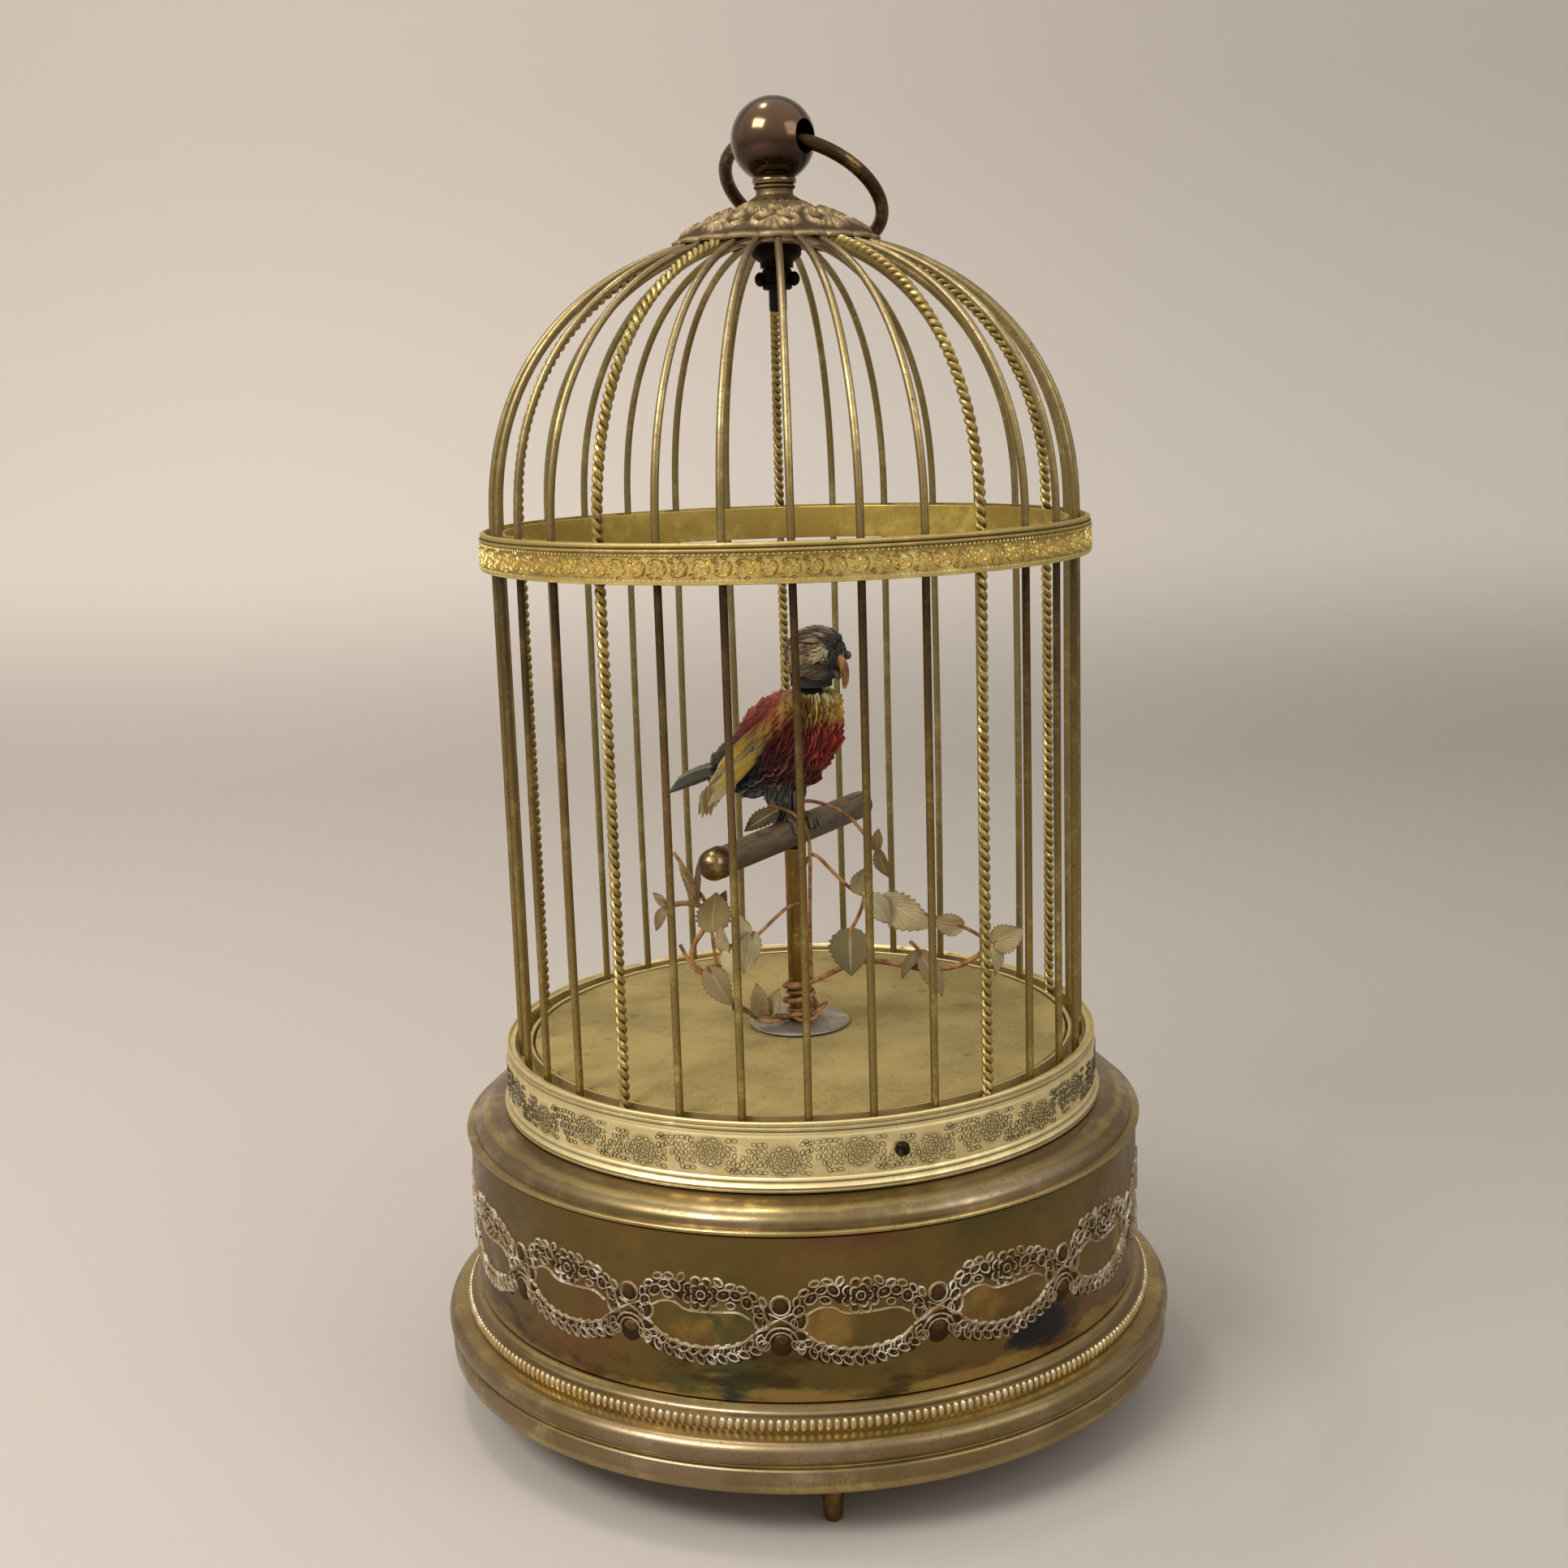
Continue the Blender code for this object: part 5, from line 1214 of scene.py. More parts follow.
def felt_press(angle, radius, height):
    """Low puckers that run in from the rim, and a slow swell over the whole disc."""
    top = height > FELT_TOP - 0.05
    rim = np.exp(-((radius - 53.0) / 7.0) ** 2)
    waves = np.sin(angle * 11 + 0.10 * radius) * np.sin(angle * 4 + 1.3)
    waves = waves + 0.5 * np.sin(angle * 23 - 0.3 * radius)
    swell = 0.16 * np.sin(radius * 0.16 + angle * 2) * np.clip((radius - 13) / 12, 0, 1)
    pucker = 0.30 * rim * waves + swell
    creases = 0.42 * np.exp(-((radius - 55.5) / 3.5) ** 2)
    creases = creases * np.abs(np.sin(angle * 37 + 2.2 * np.sin(angle * 5)))
    return 0.0, top * np.clip(pucker - creases, -0.6, 0.38), 0.0


felt = turned("cage_floor_felt", felt_profile, 240, felt_finish, felt_press)
dress(felt, ["floor_cloth"])

# %% The plate round the post
disc_profile = [(2.5, 80.9), (11.0, 80.9), (11.2, 81.05), (11.15, 81.3), (10.8, 81.5), (10.0, 81.62),
                (6.0, 81.7), (3.6, 81.7), (2.8, 81.65), (2.5, 81.4)]
dress(turned("post_plate", disc_profile, 120, disc_metal), ["post_escutcheon"])

# %% [markdown]
# ## Post and perch
# The post is a brass tube. The perch is a wooden rod painted taupe, and it ends towards the front
# in a brass ball. Its grain runs along it, so the grain's noise is stretched along the perch.

# %% The post
post_profile = [(1.25, 71.0), (2.1, 71.0), (2.1, 80.0), (2.25, 82.0), (2.25, 100.0), (2.25, 120.9),
                (2.1, 121.0), (1.25, 121.0)]
dress(turned("post_tube", post_profile, 48, post_brass), ["perch_post"])

# %% The perch's own directions
PERCH_HEIGHT = 124.5
BIRD_TURN = radians(-29.2)
facing = Vector((cos(BIRD_TURN), sin(BIRD_TURN), 0))
perch_way = Vector((-sin(BIRD_TURN), cos(BIRD_TURN), 0))
perch_matrix = Matrix((facing, perch_way.cross(facing), perch_way)).transposed().to_4x4()
perch_matrix.translation = Vector((0, 0, PERCH_HEIGHT)) * MM


def on_perch(name, profile, steps, finish, nodes):
    """A piece turned on the perch's line, with its profile's heights measured along the perch."""
    made = spun(name, profile, steps)
    made.data.transform(perch_matrix)
    made.data.materials.append(finish)
    return dress(made, nodes)


# %% The perch rod and its ball
rod_finish, shader, place = finish_tree("taupe_paint", Roughness=0.55)
lengthwise = stretched(place, (1, 1, 1), -BIRD_TURN)
drawn = stretched(lengthwise, (7, 1, 7))
streaks = noise(drawn, 130.0, 5.0)
# The rod's lower half is painted darker: a painted shade on its underside.
unshaded_upper_half = spread(axis(place, "Z"), 0.1228, 0.1262)
taupe = tint(spread(streaks, 0.36, 0.64), paint(60, 46, 33), paint(104, 86, 62))
taupe = tint(spread(noise(place, 70.0, 4.0), 0.44, 0.60, 0.0, 0.7), taupe, paint(92, 76, 52))
taupe = tint(spread(noise(place, 420.0, 3.0), 0.60, 0.70, 0.0, 0.6), taupe, paint(40, 30, 22))
taupe = tint(unshaded_upper_half, tint(0.45, taupe, paint(30, 20, 12)), taupe)
surface(shader, taupe, streaks, 0.12)
rod_profile = [(0, -31.4), (2.85, -31.4), (2.95, -31.2), (3.0, -29.5), (3.08, -24), (3.15, -12), (3.2, 0),
               (3.18, 12), (3.2, 24), (3.18, 30.5), (3.1, 32.3), (2.9, 32.8), (2.4, 33.0), (0, 32.9)]
on_perch("perch_stick", rod_profile, 48, rod_finish, ["perch_rod"])
ball_end = [(0, -37.6)] + round_stretch((0, -34.2), 3.4, -86, 28, 22)
ball_end += [(2.95, -32.45), (3.35, -32.4), (3.45, -32.25), (3.45, -31.9), (3.3, -31.75), (0, -31.75)]
on_perch("perch_ball", ball_end, 64, knob_brass, ["perch_knob"])

# %% [markdown]
# ## The vine
# A wire wound with orange paper climbs from the foot of the post to both sides, with thinner
# twigs that carry the leaves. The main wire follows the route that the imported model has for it.
# Its turns round the post are a helix, which a formula gives better than drawn points.

# %% The paper-wound wire
vine_finish, shader, place = finish_tree("wound_paper", Roughness=0.6)
orange = tint(spread(noise(place, 320, 3), 0.40, 0.60), paint(118, 76, 40), paint(168, 122, 68))
orange = tint(spread(noise(place, 120, 3), 0.56, 0.68, 0, 0.75), orange, paint(78, 44, 26))
surface(shader, orange, noise(place, 900, 3), 0.12)

# %% The main vine wire
right_route = [(40.5, 1, 94.7), (35.9, 0, 92.4), (28.7, -1, 92.2), (23.2, -1.5, 93.6), (16, -2, 95.3),
               (10.5, -2.5, 94.2), (5.6, -3.2, 92)]
left_route = [(-6.2, -4.2, 83.4), (-10.5, -6, 84.6), (-14.9, -8, 88.2), (-17.5, -8.5, 92.6),
              (-20.7, -8.5, 95.2), (-23.6, -8.5, 97.4), (-23, -8.5, 101.6), (-19.8, -8, 105.6),
              (-19.3, -8, 109.4), (-23, -8, 111.2), (-28.3, -8, 110.6)]


def helix(radius, first, sweep, high, low, count):
    """Turns round the post, between two heights."""
    shares = np.linspace(0, 1, count)
    return [(radius * cos(radians(first + sweep * share)),
             radius * sin(radians(first + sweep * share)), high + (low - high) * share)
            for share in shares]


main_route = bend(right_route + helix(3.4, -60, -750, 90.4, 83.4, 19) + left_route)
vine = wires("vine_main", [main_route], 0.6, vine_finish, 0.8, 10)
dress(vine, ["vine_wire"])

# %% The twigs
twig_routes = [
    [(2.0, -2.0, 117.0), (3.4, -3.2, 120.2), (5.2, -4, 119.6), (8.3, -4, 115.9), (12.6, -4, 111.5),
     (15.3, -4, 110.4), (20.6, -3, 109.1), (26.8, -3, 106.1), (32.2, -2, 104.1), (37.5, -2, 102.0),
     (42.8, -1, 98.2), (40.5, 1, 94.9)],
    [(15.0, -4, 110.4), (14.3, -4.4, 107.4), (12.4, -4.8, 103.8), (11.6, -4.9, 102.6)],
    [(-1.0, 0.5, 129.6), (2.5, 1.6, 131.4), (7.9, 2, 129.8), (12.3, 2, 127.3), (15.8, 2, 122.8),
     (18.4, 2, 118.8)],
    [(-5.6, -5, 131.6), (-3.2, -5, 131.0), (-0.4, -5, 129.8), (1.6, -5, 128.0), (3.1, -4.9, 125.0),
     (3.4, -4.2, 120.4), (3.1, -3.0, 112.0), (2.9, -2.6, 104.0), (2.8, -2.6, 96.0), (2.9, -2.2, 90.5)],
    [(-17.2, -8.3, 91.8), (-18.6, -8.6, 94.0), (-20.9, -9.2, 95.0), (-23.2, -9.2, 96.6), (-24.6, -8.8, 99.6),
     (-25.7, -8.6, 101.8)],
    [(-19.3, -8, 109.4), (-20.4, -8.2, 112.6), (-22.6, -8.6, 115.4), (-24.4, -9, 119.8), (-26.3, -9, 122.6)],
    [(-18.6, -9.4, 104.6), (-18.1, -9.6, 99.0), (-17.4, -9.2, 93.0)],
    [(-12.0, -9.9, 101.6), (-8.1, -8, 103.7), (-4.6, -5.4, 106.6), (-1.6, -3, 108.4), (1.0, -2.3, 108.8)],
    [(-17.6, -9, 96.0), (-16.2, -9.8, 99.4), (-13.6, -10, 101.8), (-11.6, -10, 102.6), (-9.6, -10, 104.6)],
    [(-14.9, -8, 88.2), (-16.4, -9.2, 89.6), (-18.4, -9.8, 92.6), (-19.6, -10, 96.4)],
    [(26.0, -2, 93.0), (27.6, -2.8, 95.6), (27.0, -3.2, 97.4), (24.9, -3.4, 99.6)],
]
foot_binding = helix(2.65, 20, -1500, 91.0, 82.4, 60)
stray_ends = [[(-2.8, -1.6, 82.3), (-4.4, -4.6, 82.5), (-8.6, -5.8, 82.6), (-10.8, -4.2, 84.0)],
              [(2.4, -2.0, 83.0), (5.2, -2.4, 84.6), (6.4, 0.4, 85.2), (5.0, 2.6, 83.4), (2.4, 2.2, 82.4)],
              [(-2.2, -2.4, 83.2), (0.4, -5.6, 82.5), (3.8, -4.2, 82.6), (4.6, -1.4, 84.0), (2.6, 0.2, 87.5)]]
twigs = wires("vine_twigs", [bend(route) for route in twig_routes + stray_ends] + [foot_binding], 0.42,
              vine_finish, 0.7, 8)
dress(twigs, ["vine_wire"])

# %% [markdown]
# ## The leaves
# The leaves are stiffened cloth, once green and now faded to beige and grey. Each has a saw-toothed
# edge, a folded midrib and its own curl, so each is drawn from its foot to its tip with a width, a
# roll and a colour. A grid of points gives the curl, and a short stalk ties the leaf to a twig.

# %% The leaf finish
leaf_finish, shader, place = finish_tree("faded_leaf", Roughness=0.8, Specular_IOR_Level=0.25)
own_tint = own(place, "tint", "Color")
flat_place = own(place, "leaf", "Vector")
from_rib = (axis(flat_place, "X") - 0.5).math("ABSOLUTE")
slanted = from_rib * -1.1 + axis(flat_place, "Y")
vein_wave = (slanted * 24).math("SINE").math("ABSOLUTE")
veins = spread(vein_wave, 0.16, 0).math("MAXIMUM", spread(from_rib, 0.05, 0))
faded = tint(spread(noise(place, 160), 0.38, 0.62, 0, 0.75), own_tint,
             tint(0.6, own_tint, paint(122, 104, 70)))
faded = tint(veins * 0.45, faded, paint(206, 190, 150))
faded = tint(spread(from_rib, 0.40, 0.5, 0, 0.6), faded, paint(100, 80, 52))
surface(shader, faded, noise(place, 1500, 2) + veins)

# %% Draw the leaves: foot, tip, width, roll in degrees, curl, colour
BEIGE = paint(186, 168, 122)
PALE = paint(198, 182, 138)
GREY_GREEN = paint(140, 124, 86)
OLIVE = paint(118, 100, 64)
BROWN = paint(92, 70, 44)
leaves = [
    ((-3.4, -5.4, 130.6), (-10.9, -7, 126.6), 4.6, 25, 0.10, paint(64, 48, 30)),
    ((18.3, 2, 119.4), (20.7, 1, 112.9), 3.8, 30, 0.10, OLIVE),
    ((18.2, 2, 119.0), (18.6, 1.4, 124.2), 3.4, -35, 0.12, paint(128, 108, 66)),
    ((12.8, -4, 111.3), (16.4, -5, 118.0), 4.8, 20, -0.12, paint(166, 152, 112)),
    ((15.6, -4, 110.6), (20.6, -6, 104.6), 6.0, -15, 0.14, paint(158, 148, 112)),
    ((18.6, -3, 109.6), (29.4, -5, 102.6), 8.6, 10, 0.16, PALE),
    ((37.0, -2, 102.2), (29.6, -3, 104.2), 5.8, -20, 0.15, BEIGE),
    ((43.0, -1, 98.0), (50.4, -1.6, 100.8), 7.6, 15, 0.15, BEIGE),
    ((43.6, -1, 98.0), (44.6, -1.6, 90.4), 4.2, -40, 0.14, PALE),
    ((11.7, -4.8, 103.4), (11.4, -8.4, 93.6), 9.8, 8, 0.20, paint(112, 102, 68)),
    ((26.8, -3.2, 97.4), (32.2, -5, 87.2), 5.6, -25, 0.16, GREY_GREEN),
    ((26.6, -3.2, 97.4), (22.6, -4.5, 91.6), 3.2, 40, 0.14, OLIVE),
    ((-21.8, -8.4, 111.0), (-24.8, -9, 120.6), 3.4, 35, 0.10, BEIGE),
    ((-21.2, -8.4, 111.6), (-21.2, -9.6, 120.2), 2.6, -50, 0.08, BROWN),
    ((-18.6, -9, 104.8), (-17.4, -11, 114.6), 8.2, 12, -0.18, paint(168, 146, 100)),
    ((-18.4, -8.6, 109.6), (-15.0, -10.4, 113.6), 3.6, 30, 0.20, BROWN),
    ((-28.3, -8, 110.4), (-31.4, -8.4, 105.0), 2.8, 20, 0.30, paint(140, 120, 88)),
    ((-28.2, -8, 110.8), (-31.2, -8.2, 113.4), 2.6, -30, 0.25, paint(156, 132, 94)),
    ((-11.4, -10, 102.6), (-12.8, -11, 109.0), 4.4, 10, 0.12, PALE),
    ((-16.0, -9.8, 99.8), (-16.8, -10.6, 106.2), 3.6, -20, 0.14, BEIGE),
    ((-15.0, -10, 101.4), (-14.4, -11.6, 94.6), 4.8, 12, 0.14, PALE),
    ((-9.6, -10, 104.8), (-11.8, -12, 95.6), 5.4, -12, 0.16, paint(164, 152, 116)),
    ((-19.8, -10, 97.2), (-15.0, -11.8, 88.4), 6.4, 10, 0.15, GREY_GREEN),
    ((-14.6, -8.2, 88.4), (-12.6, -10.4, 86.4), 2.4, 30, 0.2, paint(78, 54, 34)),
    ((-8.6, -5.8, 84.0), (-9.2, -9.6, 92.6), 4.4, 15, 0.12, paint(178, 158, 110)),
    ((-6.4, -5.0, 84.4), (-4.4, -8.6, 91.0), 3.6, -25, 0.12, BEIGE),
]
LEAF_ROWS = 19
LEAF_COLUMNS = 9
LEAF_CLOTH = 0.14


def leaf_points(foot, tip, width, roll, curl, wrinkle):
    """The upper face of one leaf as a grid, and the direction in which its face looks."""
    foot, tip = Vector(foot), Vector(tip)
    length = (tip - foot).length
    run = (tip - foot).normalized()
    side = run.cross(Vector((0, -1, 0.15))).normalized()
    side = Matrix.Rotation(radians(roll), 3, run) @ side
    face = side.cross(run)
    grid = []
    for row in range(LEAF_ROWS):
        share = row / (LEAF_ROWS - 1)
        half = width / 2 * (sin(pi * min(1.0, share + 0.02) ** 0.78) ** 0.75 + 0.02)
        tooth = 1.0 if row % 2 else 0.84
        for column in range(LEAF_COLUMNS):
            across = 2 * column / (LEAF_COLUMNS - 1) - 1
            reach = across * half * (tooth if abs(across) > 0.9 else 1.0)
            lift = 0.22 * abs(reach) - curl * length * (share - 0.35) ** 2 * 1.6
            lift += 0.25 * sin(7 * share + wrinkle + 3 * across) * abs(across)
            grid.append(foot + run * (share * length) + side * reach + face * lift)
    return grid, face


# %% Make the leaves and their stalks
leaf_strands = []
leaf_tints = []
leaf_flat = []
stalks = []
twig_points = [Vector(point) for route in twig_routes + stray_ends + [main_route] for point in route]
across_shares = [column / (LEAF_COLUMNS - 1) for column in range(LEAF_COLUMNS)]
for number, (foot, tip, width, roll, curl, tone) in enumerate(leaves):
    grid, face = leaf_points(foot, tip, width, roll, curl, 1.7 * number)
    rows = [grid[row * LEAF_COLUMNS:(row + 1) * LEAF_COLUMNS] for row in range(LEAF_ROWS)]
    leaf_strands.append(([[point + face * LEAF_CLOTH for point in row] + row[::-1] for row in rows], False))
    for row in range(LEAF_ROWS):
        leaf_flat += [(share, row / (LEAF_ROWS - 1), 0) for share in across_shares + across_shares[::-1]]
        leaf_tints += [tone] * (2 * LEAF_COLUMNS)
    nearest = min(twig_points, key=lambda point: (point - Vector(foot)).length)
    if (nearest - Vector(foot)).length > 0.2:
        stalks.append([tuple(nearest), tuple((nearest + Vector(foot)) / 2 + Vector((0, 0, 0.3))), foot])
    stalks.append([foot, tuple(rows[4][LEAF_COLUMNS // 2] - face * 0.12)])

leaf_piece = skin("vine_leaves", leaf_strands, leaf_finish)
note(leaf_piece.data, "tint", "FLOAT_COLOR", leaf_tints)
note(leaf_piece.data, "leaf", "FLOAT_VECTOR", leaf_flat)
dress(leaf_piece, ["vine_wire"])
dress(wires("leaf_stalks", stalks, 0.3, vine_finish, 0.6, 6), ["vine_wire"])
print("leaves", len(leaves), "faces", len(leaf_piece.data.polygons))

# %% [markdown]
# ## Feathers
# The bird is a carved body covered with real feathers. Here each feather is one small curved blade
# with a raised shaft, and a geometry tree sets a blade on every root point, turned and sized by the
# point's own attributes. The colour rides along as an attribute too, so one finish serves the whole
# bird. Hair strands would be finer, but the export has no use for them.

# %% The feather tree
coat_tree, given, ending = new_group("feather_coat", "GeometryNodeTree", [
    ("Roots", "Geometry"), ("Feather", "Object"), ("Finish", "Material")], [("Geometry", "Geometry")])
roots = field(coat_tree, "GeometryNodeMeshToPoints", {"Mesh": given["Roots"]})
blade = field(coat_tree, "GeometryNodeObjectInfo", {"Object": given["Feather"]}, "Geometry",
              transform_space="ORIGINAL")
own_turn, own_size = [field(coat_tree, "GeometryNodeInputNamedAttribute", {"Name": name},
                            data_type="FLOAT_VECTOR")
                      for name in ("turn", "size")]
own_turn = field(coat_tree, "FunctionNodeEulerToRotation", {0: own_turn})
copies = {"Points": roots, "Instance": blade, "Rotation": own_turn, "Scale": own_size}
end_tree(ending, field(coat_tree, "GeometryNodeInstanceOnPoints", copies), given["Finish"])


# %% The feather blades
def blade_shape(name, widths, rise, droop, ridge):
    """One blade a millimetre long and wide, closed underneath. It rises from its root and then droops."""
    shares = np.linspace(0, 1, len(widths))
    lifts = rise * (shares - droop * shares ** 2)
    rows = [[(share, -width / 2, lift), (share, 0, lift + ridge * width), (share, width / 2, lift),
             (share, 0, lift - ridge * 0.3 * width)] for share, width, lift in zip(shares, widths, lifts)]
    made = skin(name, [(rows, False)])
    barbs = [(side + 0.5, share, 0) for row in rows for share, side, _ in row]
    note(made.data, "barbs", "FLOAT_VECTOR", barbs)
    return made


body_blade = blade_shape("body_blade", (0.30, 0.85, 1.0, 0.92, 0.62, 0.10), 0.22, 2.25, 0.16)
long_blade = blade_shape("long_blade", (0.25, 0.70, 0.95, 1.0, 0.96, 0.80, 0.18), 0.10, 1.15, 0.14)
hair_blade = blade_shape("hair_blade", (0.5, 1.0, 0.6, 0.06), 0.2, 2.0, 0.4)


# %% The plumage finishes
def feather_finish(name, tip, tip_share, barb_share):
    """Barbs that run out from a shaft, darker at the root and with a share of another colour at the tip."""
    finish, shader, place = finish_tree(name, Roughness=0.62, Specular_IOR_Level=0.35, Sheen_Weight=0.15)
    own_tint = own(place, "tint", "Color")
    barb_place = own(place, "barbs", "Vector")
    run = axis(barb_place, "Y")
    from_shaft = (axis(barb_place, "X") - 0.5).math("ABSOLUTE")
    barb_run = from_shaft * -0.9 + run
    barbs = spread((noise(place, 500, 2) * 5 + barb_run * 70).math("SINE"), -1, 1)
    deep = tint(0.55, own_tint, paint(26, 18, 14))
    plume = tint(spread(run, 0, 0.7, 0.35, 1), deep, own_tint)
    plume = tint(barbs * barb_share, plume, deep)
    plume = tint(spread(from_shaft, 0.06, 0, 0, 0.3), plume, paint(220, 200, 160))
    plume = tint(spread(run, 0.45, 0.95, 0, tip_share), plume, tip)
    surface(shader, plume, barbs, 0.08)
    return finish


plumage = feather_finish("plumage", paint(60, 50, 40), 0, 0.30)
wing_plumage = feather_finish("wing_plumage", paint(238, 224, 184), 0.95, 0.35)


# %% Helpers for feathers
def on_bird(forward_way, side_way, height):
    """A place given from the bird: ahead, to its left and up, in millimetres."""
    return facing * forward_way + perch_way * side_way + Vector((0, 0, height))


def bird_way(forward_way, side_way, height):
    """A direction given from the bird."""
    return on_bird(forward_way, side_way, height).normalized()


def coat(name, feathers, blade_object, finish=plumage):
    """Feathers as (root, direction, face, length, width, colour), set on their roots by the tree."""
    mesh = bpy.data.meshes.new(name + "_roots")
    mesh.from_pydata([tuple(feather[0] * MM) for feather in feathers], [], [])
    turns = []
    sizes = []
    tones = []
    for root, way, face, length, width, tone in feathers:
        way = way.normalized()
        side = face.cross(way).normalized()
        turns.append(tuple(Matrix((way, side, way.cross(side))).transposed().to_euler()))
        sizes.append((length, width, length))
        tones.append(tone)
    for title, kind, values in (("turn", "FLOAT_VECTOR", turns), ("size", "FLOAT_VECTOR", sizes),
                                ("tint", "FLOAT_COLOR", tones)):
        note(mesh, title, kind, values)
    made = from_tree(name, coat_tree, mesh, Feather=blade_object, Finish=finish)
    print(name, len(feathers), "feathers,", len(made.data.polygons), "faces")
    return made


def toned(colour, chance, spread_share=0.16):
    """A colour made a little lighter or darker by chance."""
    share = 1 + chance.uniform(-spread_share, spread_share)
    return tuple(max(0.0, min(1.0, channel * share)) for channel in colour[:3]) + (1.0,)


def blended(stops, share):
    """A colour between stops given as (position, colour)."""
    for (low, first), (high, second) in zip(stops, stops[1:]):
        if share <= high:
            part = max(0.0, (share - low) / (high - low))
            return tuple(a + (b - a) * part for a, b in zip(first, second))
    return stops[-1][1]


# %% [markdown]
# ## The bird's body
# The carved core is a loft through seven tilted ovals, and the feathers are rooted on it and lie
# towards the tail. Their colour follows the dyed zones of the real coat: a pale throat, a golden
# breast, a dark red belly, an orange nape that turns red on the back, and grey over the rump.

# %% The body's surface
BODY_RINGS = np.array([(4.6, 157.0, 0, 4.9, 5.0), (5.1, 153.5, 10, 5.2, 6.2), (2.6, 149.2, 24, 8.1, 8.2),
                       (-0.9, 144.6, 42, 9.2, 9.0), (-5.4, 141.3, 54, 8.0, 8.0), (-10.8, 139.2, 62, 6.0, 6.2),
                       (-15.6, 137.8, 66, 3.4, 4.2)])


def body_place(along_share, round_angle, inset=0.0):
    """A place on the carved body: 0 to 6 from neck to rump, and an angle from the breast."""
    ahead, height, tilt, length, width = [np.interp(along_share, range(7), BODY_RINGS[:, column])
                                          for column in range(5)]
    reach = (length - inset) * cos(round_angle)
    lean = radians(tilt)
    return on_bird(ahead + reach * cos(lean), (width - inset) * sin(round_angle),
                   height - reach * sin(lean))


def body_frame(along_share, round_angle):
    """A place just under the coat, the way along it to the tail, and the way it faces."""
    here = body_place(along_share, round_angle, 1.9)
    further, nearer = min(6.0, along_share + 0.05), max(0.0, along_share - 0.05)
    back_way = body_place(further, round_angle) - body_place(nearer, round_angle)
    round_way = body_place(along_share, round_angle + 0.05) - body_place(along_share, round_angle - 0.05)
    face = round_way.cross(back_way).normalized()
    middle = body_place(along_share, 0) * 0.5 + body_place(along_share, pi) * 0.5
    if face.dot(here - middle) < 0:
        face = -face
    return here, back_way.normalized(), face


# %% The carved core
core_rows = [[body_place(along_share, angle, 2.0) for angle in np.linspace(0, 2 * pi, 29)[:-1]]
             for along_share in np.linspace(0, 6, 31)]
rump = sum(core_rows[-1], Vector()) / 28 + on_bird(-2.2, 0, -0.9)
core_rows.append([rump + (point - rump) * 0.1 for point in core_rows[-1]])
core_finish, shader, place = finish_tree("carved_core", Roughness=0.9)
fluff = noise(place, 500.0, 4.0)
# Above the neck line the core is painted near black: a painted shade for the gap under the head.
neck_gap_shade = spread(axis(place, "Z"), 0.1545, 0.1555)
fluff_tone = tint(fluff, paint(58, 20, 16), paint(96, 60, 40))
surface(shader, tint(neck_gap_shade, fluff_tone, paint(14, 11, 10)), fluff, 0.3)
dress(skin("bird_core", [(core_rows, False)], core_finish), ["bird_body"])

# %% The body's feathers
THROAT = paint(206, 190, 124)
GOLD = paint(226, 182, 66)
RED = paint(176, 34, 24)
DARK_RED = paint(96, 10, 12)
ORANGE = paint(204, 134, 62)
ROSY = paint(190, 80, 68)
GREY = paint(118, 108, 96)
BLUE_BLACK = paint(44, 54, 74)
front_stops = [(0.0, THROAT), (0.35, THROAT), (0.7, GOLD), (1.1, GOLD), (1.45, RED), (2.3, RED),
               (3.0, DARK_RED), (3.7, DARK_RED), (4.1, BLUE_BLACK), (6.0, BLUE_BLACK)]
side_stops = [(0.0, THROAT), (0.5, GOLD), (1.2, GOLD), (1.6, RED), (2.5, RED), (3.1, DARK_RED),
              (3.7, paint(70, 44, 48)), (4.1, BLUE_BLACK), (6.0, paint(70, 72, 70))]
back_stops = [(0.0, ORANGE), (0.7, ORANGE), (1.3, ROSY), (2.8, ROSY), (3.6, paint(150, 70, 62)), (4.2, GREY),
              (6.0, paint(84, 84, 74))]
luck = random.Random(21)


def body_tone(along_share, round_angle):
    """The colour of the coat at a place on the body."""
    from_front = abs((math.degrees(round_angle) + 180) % 360 - 180)
    stops = front_stops if from_front < 55 else side_stops if from_front < 110 else back_stops
    return blended(stops, along_share)


def scattered(number, shift=0.0):
    """A place on the body for each number, spread evenly over it."""
    return 0.3 + 5.7 * (number * 0.7548777 % 1.0), 2 * pi * ((number * 0.5698403 + shift) % 1.0)


body_feathers = []
for number in range(1900):
    along_share, round_angle = scattered(number)
    root, way, face = body_frame(along_share, round_angle)
    length = np.interp(along_share, (0, 1.5, 3, 6), (3.6, 5.4, 6.6, 6.4)) * luck.uniform(0.8, 1.2)
    way = way + face * luck.uniform(0.0, 0.12) + face.cross(way) * luck.uniform(-0.25, 0.25)
    tone = toned(body_tone(along_share, round_angle), luck, 0.22)
    body_feathers.append((root, way, face, length, length * 0.25, tone))
dress(coat("body_feathers", body_feathers, body_blade), ["bird_body"])

# %% Fine hairs that soften the coat
hair_feathers = []
for number in range(1700):
    along_share, round_angle = scattered(number, 0.05)
    root, way, face = body_frame(along_share, round_angle)
    way = way + face * luck.uniform(0.0, 0.16) + face.cross(way) * luck.uniform(-0.3, 0.3)
    tone = toned(body_tone(along_share, round_angle), luck, 0.35)
    hair_feathers.append((root + face * 1.2, way, face, luck.uniform(3.0, 6.0), 0.2, tone))
dress(coat("body_hairs", hair_feathers, hair_blade), ["bird_body"])

# %% [markdown]
# ## The wings
# Each wing lies folded along the side in three rows: small golden coverts at the shoulder, longer
# yellow ones below them, and long pale flight feathers that end beyond the body. The rows are
# rooted on straight lines and lie one over another, as roof tiles do.


